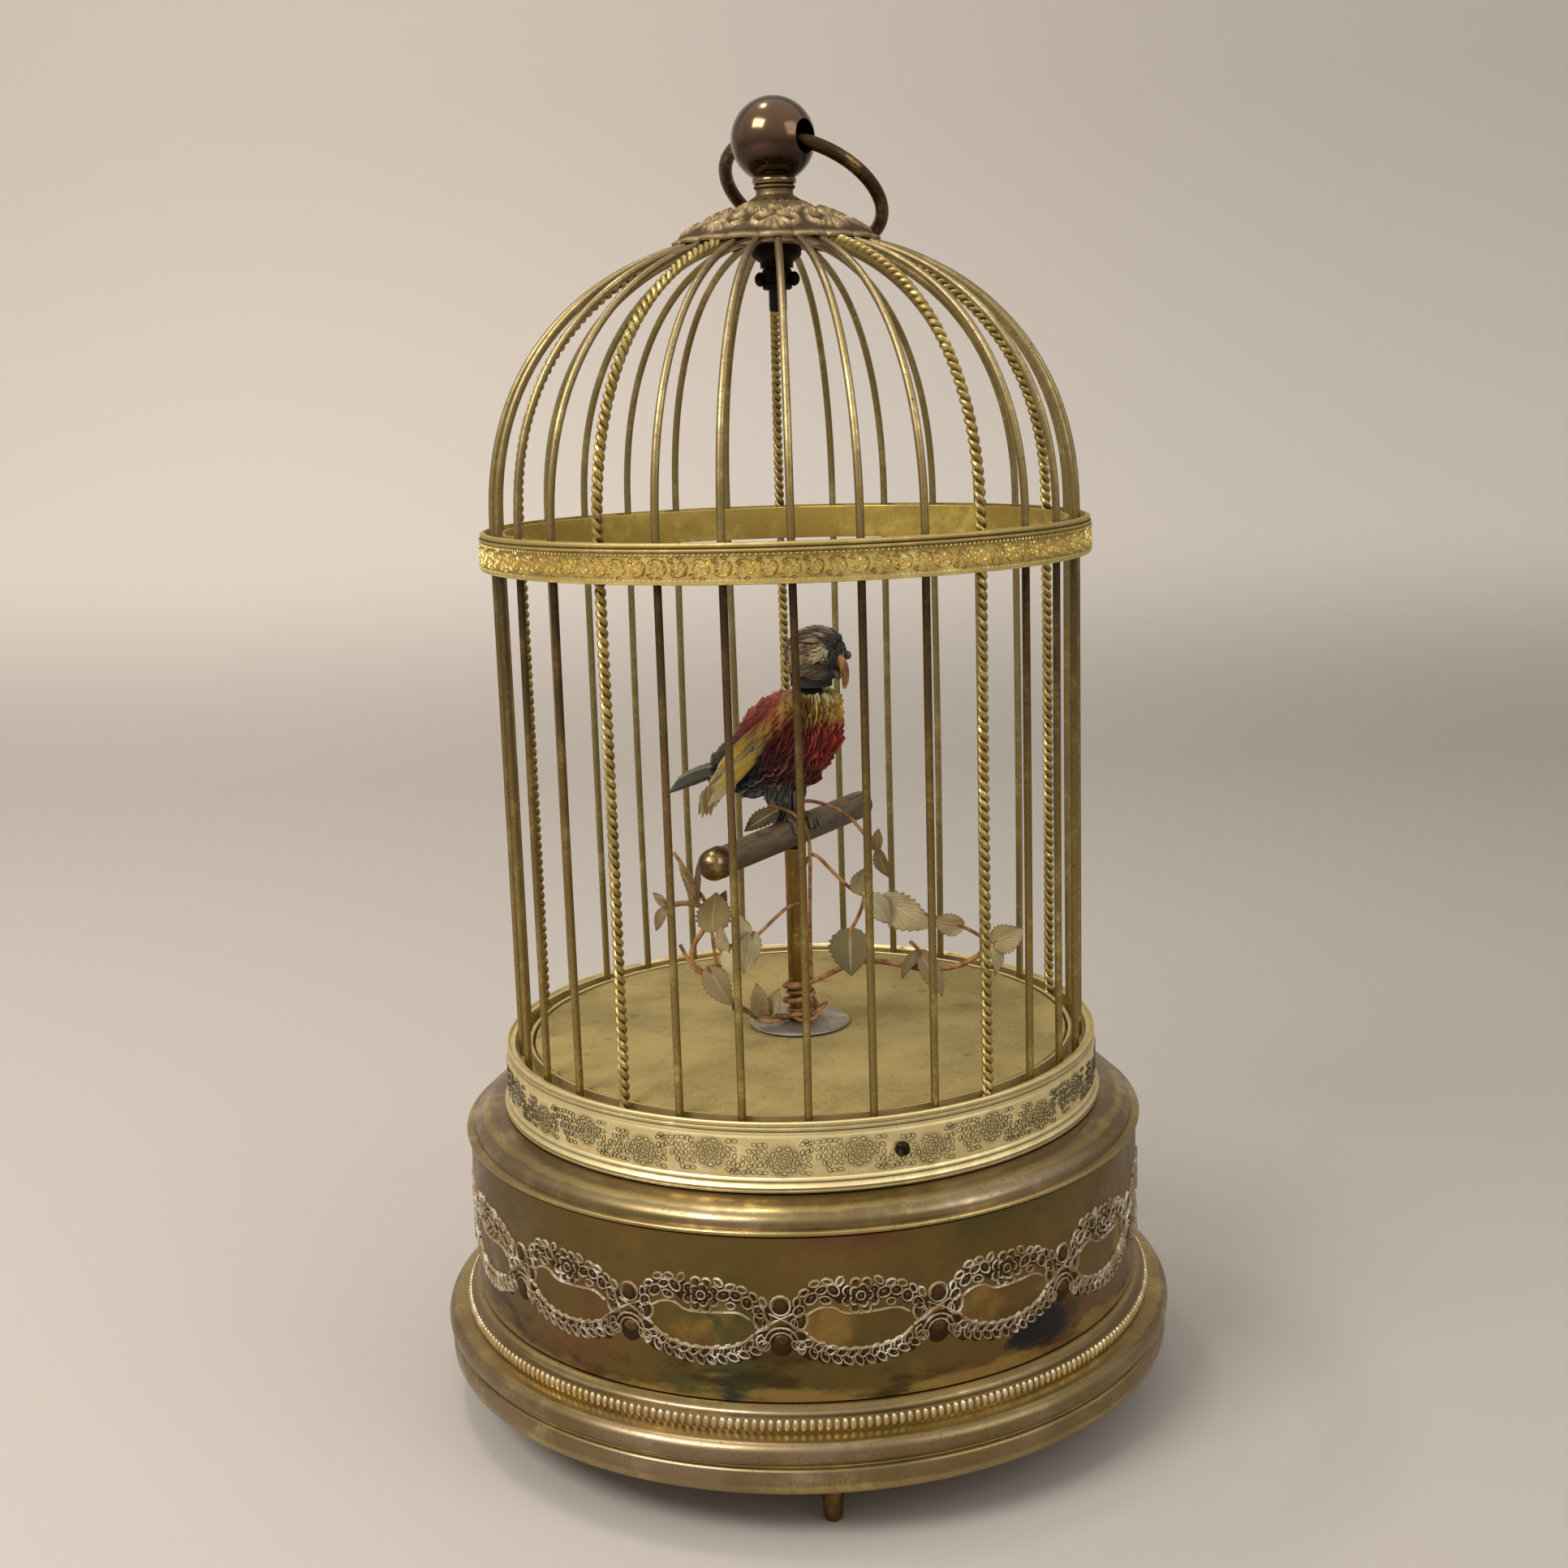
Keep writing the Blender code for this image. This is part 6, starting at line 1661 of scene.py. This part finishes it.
# %% The wings' feathers
def jitter(amount):
    """A small chance turn of a feather's direction."""
    return Vector((luck.uniform(-1, 1), luck.uniform(-1, 1), luck.uniform(-1, 1))) * amount


wing_feathers = []
covert_feathers = []
wisps = []
for side in (-1, 1):
    flight_way = bird_way(-0.70, 0.10 * side, -0.71)
    wing_face = bird_way(-0.25, 1.0 * side, 0.15)
    for number in range(64):
        share = number % 16 / 15
        across = -2.3 + 1.5 * (number // 16)
        root = on_bird(-0.5 - 6.0 * share + 0.7 * across, side * (7.6 + 0.4 * sin(3 * share) + 0.2 * share),
                       149.0 - 6.8 * share - 0.7 * across)
        lean = jitter(0.06) - bird_way(0.71, 0, -0.70) * 0.035 * across
        tone = blended([(0, paint(150, 140, 104)), (0.2, paint(230, 200, 80)), (0.7, paint(238, 204, 62)),
                        (1.0, paint(214, 176, 74))], share)
        length = 15.5 - 1.5 * share - 0.6 * abs(across) + luck.uniform(-2.5, 1.8)
        wing_feathers.append((root, flight_way + lean, wing_face, length, 1.3, toned(tone, luck, 0.12)))
    for number in range(110):
        share = luck.random()
        root = on_bird(-6.5 - 7.5 * share, side * luck.uniform(7.2, 8.6), 142.5 - 7.5 * share)
        tone = luck.choice((paint(226, 212, 172), paint(244, 232, 196), paint(206, 182, 116)))
        wisps.append((root, flight_way + jitter(0.22), wing_face, luck.uniform(5.0, 9.5), 0.42, tone))
    for row, (count, length, start, end, first_tone, last_tone) in enumerate((
            (16, 10.0, (-1.5, 7.6, 150.6), (-2.6, 8.0, 145.2), paint(190, 84, 66), paint(232, 204, 70)),
            (16, 8.5, (0.0, 7.4, 152.2), (-0.7, 8.0, 146.8), paint(196, 88, 66), paint(238, 202, 62)),
            (16, 7.0, (1.2, 6.8, 153.6), (1.2, 7.8, 148.6), paint(206, 120, 70), paint(222, 184, 72)),
            (14, 5.5, (2.4, 6.0, 154.8), (3.0, 7.4, 150.6), paint(214, 146, 80), paint(222, 180, 80)))):
        for share in np.linspace(0, 1, count):
            ahead, out, high = [a + (b - a) * share for a, b in zip(start, end)]
            root = on_bird(ahead, side * (out + 0.2 * row), high)
            tone = toned(blended([(0, first_tone), (0.3, paint(228, 184, 60)), (1.0, last_tone)], share),
                         luck, 0.1)
            covert_feathers.append((root, flight_way + jitter(0.06), wing_face,
                                    length * luck.uniform(0.9, 1.12), 1.15, tone))
flight_coat = coat("wing_flight_feathers", wing_feathers, long_blade, wing_plumage)
covert_coat = coat("wing_covert_feathers", covert_feathers, body_blade)
wisp_coat = coat("wing_wisps", wisps, hair_blade)
for made in (flight_coat, covert_coat, wisp_coat):
    dress(made, ["bird_body"])

# %% The tail
tail_feathers = []
tail_way = bird_way(-0.936, 0, -0.352)
tail_face = bird_way(-0.352, 0, 0.936)
for number in range(9):
    share = number / 4 - 1
    root = on_bird(-15.2, share * 2.0, 137.6 + 0.5 * (1 - abs(share)))
    way = tail_way + bird_way(0, 1, 0) * share * 0.10
    tone = blended([(0, paint(26, 28, 20)), (1, paint(60, 60, 42))], abs(share) * 0.7)
    tail_feathers.append((root, way, tail_face, 17.6 - 1.8 * abs(share), 2.6, toned(tone, luck)))
for number in range(26):
    root = on_bird(-14.6 + luck.uniform(-2.5, 0.5), luck.uniform(-2.2, 2.2),
                   138.0 + luck.uniform(-0.6, 0.9))
    tone = luck.choice((paint(58, 58, 46), paint(96, 92, 76), paint(40, 42, 36)))
    tail_feathers.append((root, tail_way + bird_way(0, luck.uniform(-1, 1), 0.3) * 0.1, tail_face,
                          luck.uniform(6, 9), 1.8, toned(tone, luck)))
tail_coat = coat("tail_feathers", tail_feathers, long_blade)
dress(tail_coat, ["bird_tail"], "tail")

# %% [markdown]
# ## Legs
# Small dark feathers hide the thighs, and thin toes grip the perch, three ahead and one behind.
# The toes follow the rod's own radius, so they lie on it and not in it.

# %% The shanks and toes
claw_finish, shader, place = finish_tree("claw_horn", Roughness=0.5)
scales = noise(place, 900.0, 3.0)
surface(shader, tint(spread(scales, 0.4, 0.6), paint(52, 44, 34), paint(106, 88, 62)), scales,
        0.1)
toe_routes = []
for side in (-1, 1):
    ankle = (-0.2, side * 3.4, 128.8)
    toe_routes.append([(-1.6, side * 3.5, 134.2), (-1.2, side * 3.5, 132.0), ankle])
    for spread_way, reach in ((-1.9, 78), (0.2, 88), (2.1, 78), (0.2, -80)):
        toe = [ankle]
        for step in range(1, 8):
            bow = radians(reach * step / 7)
            toe.append((3.7 * sin(bow), side * 3.4 + spread_way * step / 7, 124.5 + 3.7 * cos(bow)))
        toe_routes.append(toe)
toes = wires("shanks_and_toes", [bend([tuple(on_bird(*point)) for point in route]) for route in toe_routes],
             0.5, claw_finish, 0.6, 8)
dress(toes, ["bird_legs"])

# %% The thigh feathers
thigh_feathers = []
for side in (-1, 1):
    for number in range(75):
        angle = radians(number * 137.508)
        height = 137.5 - 6.0 * (number / 75)
        reach = 2.4 - 0.9 * (number / 75)
        root = on_bird(-1.2 + reach * cos(angle), side * 3.5 + reach * sin(angle) * 0.8, height)
        outward = bird_way(cos(angle), sin(angle), 0.1)
        way = bird_way(-0.25, 0, -1.0) + outward * luck.uniform(0.0, 0.2)
        tone = luck.choice((paint(34, 38, 34), paint(46, 54, 50), paint(40, 44, 58), paint(150, 134, 98)))
        thigh_feathers.append((root, way, outward, luck.uniform(3.4, 5.0), 1.3, toned(tone, luck)))
for number in range(190):
    root, way, face = body_frame(3.3 + 2.1 * (number / 189), luck.uniform(-1.15, 1.15))
    tone = luck.choice((BLUE_BLACK, paint(34, 38, 48), paint(100, 116, 142), paint(126, 136, 150),
                        paint(58, 58, 52), paint(176, 160, 120)))
    way = way * 0.8 + Vector((0, 0, -0.6)) + jitter(0.25)
    thigh_feathers.append((root + face * 0.5, way, face, luck.uniform(4, 7), 1.2, toned(tone, luck)))
thighs = coat("thigh_feathers", thigh_feathers, body_blade)
dress(thighs, ["bird_body"])

# %% [markdown]
# ## The head
# The head turns on its own spindle, so it is a separate piece with a black gap under it. Short
# mottled feathers run back from the beak, the eye is a bead in a cream ring, and the hooked beak is
# a tapered sweep along a curve. The lower beak is its own piece, because it opens.

# %% The head's core and feathers
HEAD_CENTRE = (7.0, 0.0, 164.2)
HEAD_HALF = (7.4, 7.2, 6.6)


def head_place(turn, rise, grow=0.0):
    """A place on the head, from an angle round it (0 ahead) and an angle up, and its outward way."""
    way = (cos(turn) * cos(rise), sin(turn) * cos(rise), sin(rise))
    place = [centre + (half + grow) * part for centre, half, part in zip(HEAD_CENTRE, HEAD_HALF, way)]
    outward = bird_way(*[part / half for part, half in zip(way, HEAD_HALF)])
    return on_bird(*place), outward


head_rows = [[head_place(turn, radians(rise), -1.7)[0] for turn in np.linspace(0, 2 * pi, 29)[:-1]]
             for rise in np.linspace(-50, 86, 15)]
neck_rows = [[on_bird(5.4 + 4.6 * cos(turn), 4.4 * sin(turn), height)
              for turn in np.linspace(0, 2 * pi, 29)[:-1]] for height in (157.3, 158.8)]
# The head's core and its neck are painted near black: the same painted shade for the gap under the head.
dark_core, shader, place = finish_tree("dark_core", Roughness=0.9)
surface(shader, tint(noise(place, 500.0), paint(18, 16, 14), paint(44, 38, 32)))
dress(skin("head_core", [(neck_rows + head_rows, False)], dark_core), ["bird_head"], "head")

EYE_TURN = radians(50)
EYE_RISE = radians(-7)
PATCH_RISE = radians(4)
EYE_RADIUS = 1.0
head_feathers = []
for number in range(1100):
    turn = 2 * pi * (number * 0.7548777 % 1.0)
    rise = math.asin(-0.72 + 1.71 * (number * 0.5698403 % 1.0))
    root, face = head_place(turn, rise, -1.3)
    from_beak = abs((math.degrees(turn) + 180) % 360 - 180)
    if from_beak < 20 and -0.75 < rise < 0.42:
        continue
    eye_gap = math.degrees(math.hypot((abs(radians(from_beak)) - EYE_TURN) * cos(rise), rise - EYE_RISE))
    patch_gap = math.degrees(math.hypot((abs(radians(from_beak)) - EYE_TURN) * cos(rise), rise - PATCH_RISE))
    if eye_gap < 6:
        continue
    backward = bird_way(-1, 0, -0.35)
    way = backward - face * backward.dot(face)
    if way.length < 0.3:
        way = bird_way(-0.3, 0, -1)
    high = math.degrees(rise)
    if from_beak < 37 and high < 36:
        tone = paint(20, 17, 14)
    elif patch_gap < 18:
        tone = paint(255, 236, 180)
        way = way + face * 0.3
    elif high < -12 and from_beak < 100:
        tone = paint(96, 86, 54)
    elif from_beak > 125 and high < 10:
        tone = luck.choice((paint(192, 122, 58), paint(168, 98, 48)))
    elif from_beak < 110 and high < 30:
        tone = luck.choice((paint(168, 134, 72), paint(112, 84, 48), paint(186, 154, 88)))
    else:
        tone = luck.choice((paint(98, 72, 46), paint(62, 44, 30), paint(156, 128, 92), paint(38, 28, 20)))
    length = luck.uniform(2.4, 3.6) if patch_gap > 34 else 1.6
    way = way.normalized() + face.cross(way) * luck.uniform(-0.25, 0.25)
    way = way + face * luck.uniform(0.1, 0.3)
    head_feathers.append((root, way, face, length, length * 0.36, toned(tone, luck, 0.25)))
head_coat = coat("head_feathers", head_feathers, body_blade)
dress(head_coat, ["bird_head"], "head")

# %% The eyes
eye_finish, shader, place = finish_tree("glass_eye", Roughness=0.08, Coat_Weight=0.5)
own_tint = own(place, "tint", "Color")
surface(shader, tint(spread(noise(place, 1200.0), 0.4, 0.6, 0.0, 0.4), own_tint, paint(60, 34, 18)))
eye_strands = []
for side in (-1, 1):
    centre, outward = head_place(side * EYE_TURN, EYE_RISE, -0.3)
    across_eye = outward.cross(Vector((0, 0, 1))).normalized()
    up_eye = across_eye.cross(outward)
    rows = []
    for bow in np.radians((88, 74, 58, 44, 30, 16, 0, -20)):
        seat = centre + outward * EYE_RADIUS * sin(bow)
        rows.append([seat + (across_eye * cos(angle) + up_eye * sin(angle)) * EYE_RADIUS * cos(bow)
                     for angle in np.linspace(0, 2 * pi, 21)[:-1]])
    eye_strands.append((rows, False))
eyes = skin("bird_eyes", eye_strands, eye_finish)
note(eyes.data, "tint", "FLOAT_COLOR", ([paint(10, 8, 8)] * 60 + [paint(84, 50, 28)] * 100) * 2)
dress(eyes, ["bird_head"], "head")


# %% The beak
def tapered_sweep(name, spine, radii, flatten, finish):
    """A closed horn-like sweep along a spine of (ahead, up) points on the bird's middle plane."""
    spine = np.array(bend(spine))
    thick = np.interp(np.linspace(0, 1, len(spine)), np.linspace(0, 1, len(radii)), radii)
    run = np.gradient(spine, axis=0)
    run /= np.linalg.norm(run, axis=1)[:, None]
    rows = []
    for (ahead, up), way, size in zip(spine, run, thick):
        rows.append([on_bird(ahead - way[1] * size * cos(angle), size * flatten * sin(angle),
                             up + way[0] * size * cos(angle)) for angle in np.linspace(0, 2 * pi, 19)[:-1]])
    return skin(name, [(rows, False)], finish)


def horn_finish(name, light, dark):
    """Horn with long streaks and a soft gloss."""
    finish, shader, place = finish_tree(name, Roughness=0.35)
    drawn = stretched(place, (1, 1, 0.3))
    streaks = noise(drawn, 700.0, 4.0)
    surface(shader, tint(spread(streaks, 0.36, 0.64), dark, light), streaks, 0.05)
    return finish


beak_gold = horn_finish("beak_gold", paint(176, 126, 66), paint(104, 66, 36))
beak_grey = horn_finish("beak_grey", paint(104, 98, 78), paint(52, 50, 42))
hook = tapered_sweep("upper_beak", [(10.4, 164.0), (12.6, 163.2), (13.6, 161.2), (13.8, 158.9),
                                    (13.4, 156.9)],
                     [1.1, 1.25, 1.05, 0.75, 0.2], 0.9, beak_gold)
dress(hook, ["bird_head"], "head")
jaw = tapered_sweep("lower_beak", [(10.2, 161.0), (11.4, 160.4), (12.0, 159.6), (12.3, 158.9)],
                    [0.7, 0.8, 0.6, 0.25], 1.3, beak_grey)
dress(jaw, ["bird_beak"], "beak")

# %% Clear the single blades away
for single_blade in (body_blade, long_blade, hair_blade):
    bpy.data.objects.remove(single_blade, do_unlink=True)

# %% [markdown]
# ## The bellows
# Thin kid leather joins the two boards in folds. It is one skin whose rows zigzag in and out, and
# its rows are spread evenly in height from the fixed board up to the tilted underside of the other.

# %% The leather's finish
leather, shader, place = finish_tree("kid_leather", Roughness=0.7)
pores = field(leather.node_tree, "ShaderNodeTexVoronoi", {"Vector": place, "Scale": 2200}, "Distance")
creases = noise(place, 300, 5)
hide = tint(spread(creases, 0.35, 0.65), paint(176, 146, 112), paint(206, 180, 146))
surface(shader, tint(spread(pores, 0, 0.35, 0.35, 0), hide, paint(120, 92, 66)), creases + pores, 0.06)

# %% The folded skin
LEATHER_BOX = (2.6, 37.5, 34.5, 56.5)
LEATHER_FOOT = 22.2
HINGE = (2.0, 24.6)
BOARD_TILT = radians(5)
low_x, high_x, low_y, high_y = LEATHER_BOX
leather_rows = []
for share in np.linspace(0, 1, 13):
    fold = 1.2 * (1 - cos(share * 3 * 2 * pi)) / 2
    row = []
    for corner_x, corner_y, first in ((high_x, low_y, -90), (high_x, high_y, 0), (low_x, high_y, 90),
                                      (low_x, low_y, 180)):
        inward_x = -1 if corner_x == high_x else 1
        inward_y = 1 if corner_y == low_y else -1
        centre = (corner_x + inward_x * (2.0 + fold), corner_y + inward_y * (2.0 + fold))
        for spot_x, spot_y in round_stretch(centre, 2.0, first, first + 90, 6):
            roof = HINGE[1] - 0.05 + (spot_x - HINGE[0]) * math.tan(BOARD_TILT)
            row.append((spot_x, spot_y, LEATHER_FOOT + (roof - LEATHER_FOOT) * share))
    leather_rows.append(row)
bellows_skin = skin("bellows_skin", [(leather_rows, False)], leather)
bellows_skin.data.shade_smooth()
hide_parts("bellows_leather")
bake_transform(bellows_skin)

# %% [markdown]
# ## The movement
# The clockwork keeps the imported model's own shapes, because its teeth and pivots are already true.
# Each piece only gets its finish: polished brass for plates and wheels, blued steel for the spring,
# grey steel for what bears a load, and dark wood for the boards of the bellows.

# %% Finishes for the movement
blued_steel = metal("blued_steel", (70, 84, 128), (44, 52, 84), (24, 24, 34), 0.5, 0.2, 150, 0.2)
plate_brass = metal("plate_brass", (196, 164, 96), (160, 128, 72), (80, 58, 30), 0.5, 0.3, 60, 0.32)
board_wood, shader, place = finish_tree("board_wood", Roughness=0.45)
grain_way = stretched(place, (1, 9, 9))
grain = noise(grain_way, 90.0, 6.0)
surface(shader, tint(spread(grain, 0.36, 0.64), paint(84, 52, 30), paint(140, 94, 58)), grain, 0.1)
movement = {
    clock_brass: ("spring_barrel", "second_wheel", "cam_stack", "fly_governor", "whistle_body",
                  "winding_key"),
    plate_brass: ("lower_plate", "upper_plate", "floor_plate", "bottom_plate"),
    dark_steel: ("barrel_arbor", "click", "cam_lever", "head_spindle", "control_rod", "stop_lever",
                 "whistle_piston"),
    blued_steel: ("mainspring",),
    board_wood: ("bellows_base", "bellows_top"),
}
for finish, names in movement.items():
    for name in names:
        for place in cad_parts[name].material_slots:
            place.material = finish
print("movement", sum(len(names) for names in movement.values()), "pieces with their own finish")
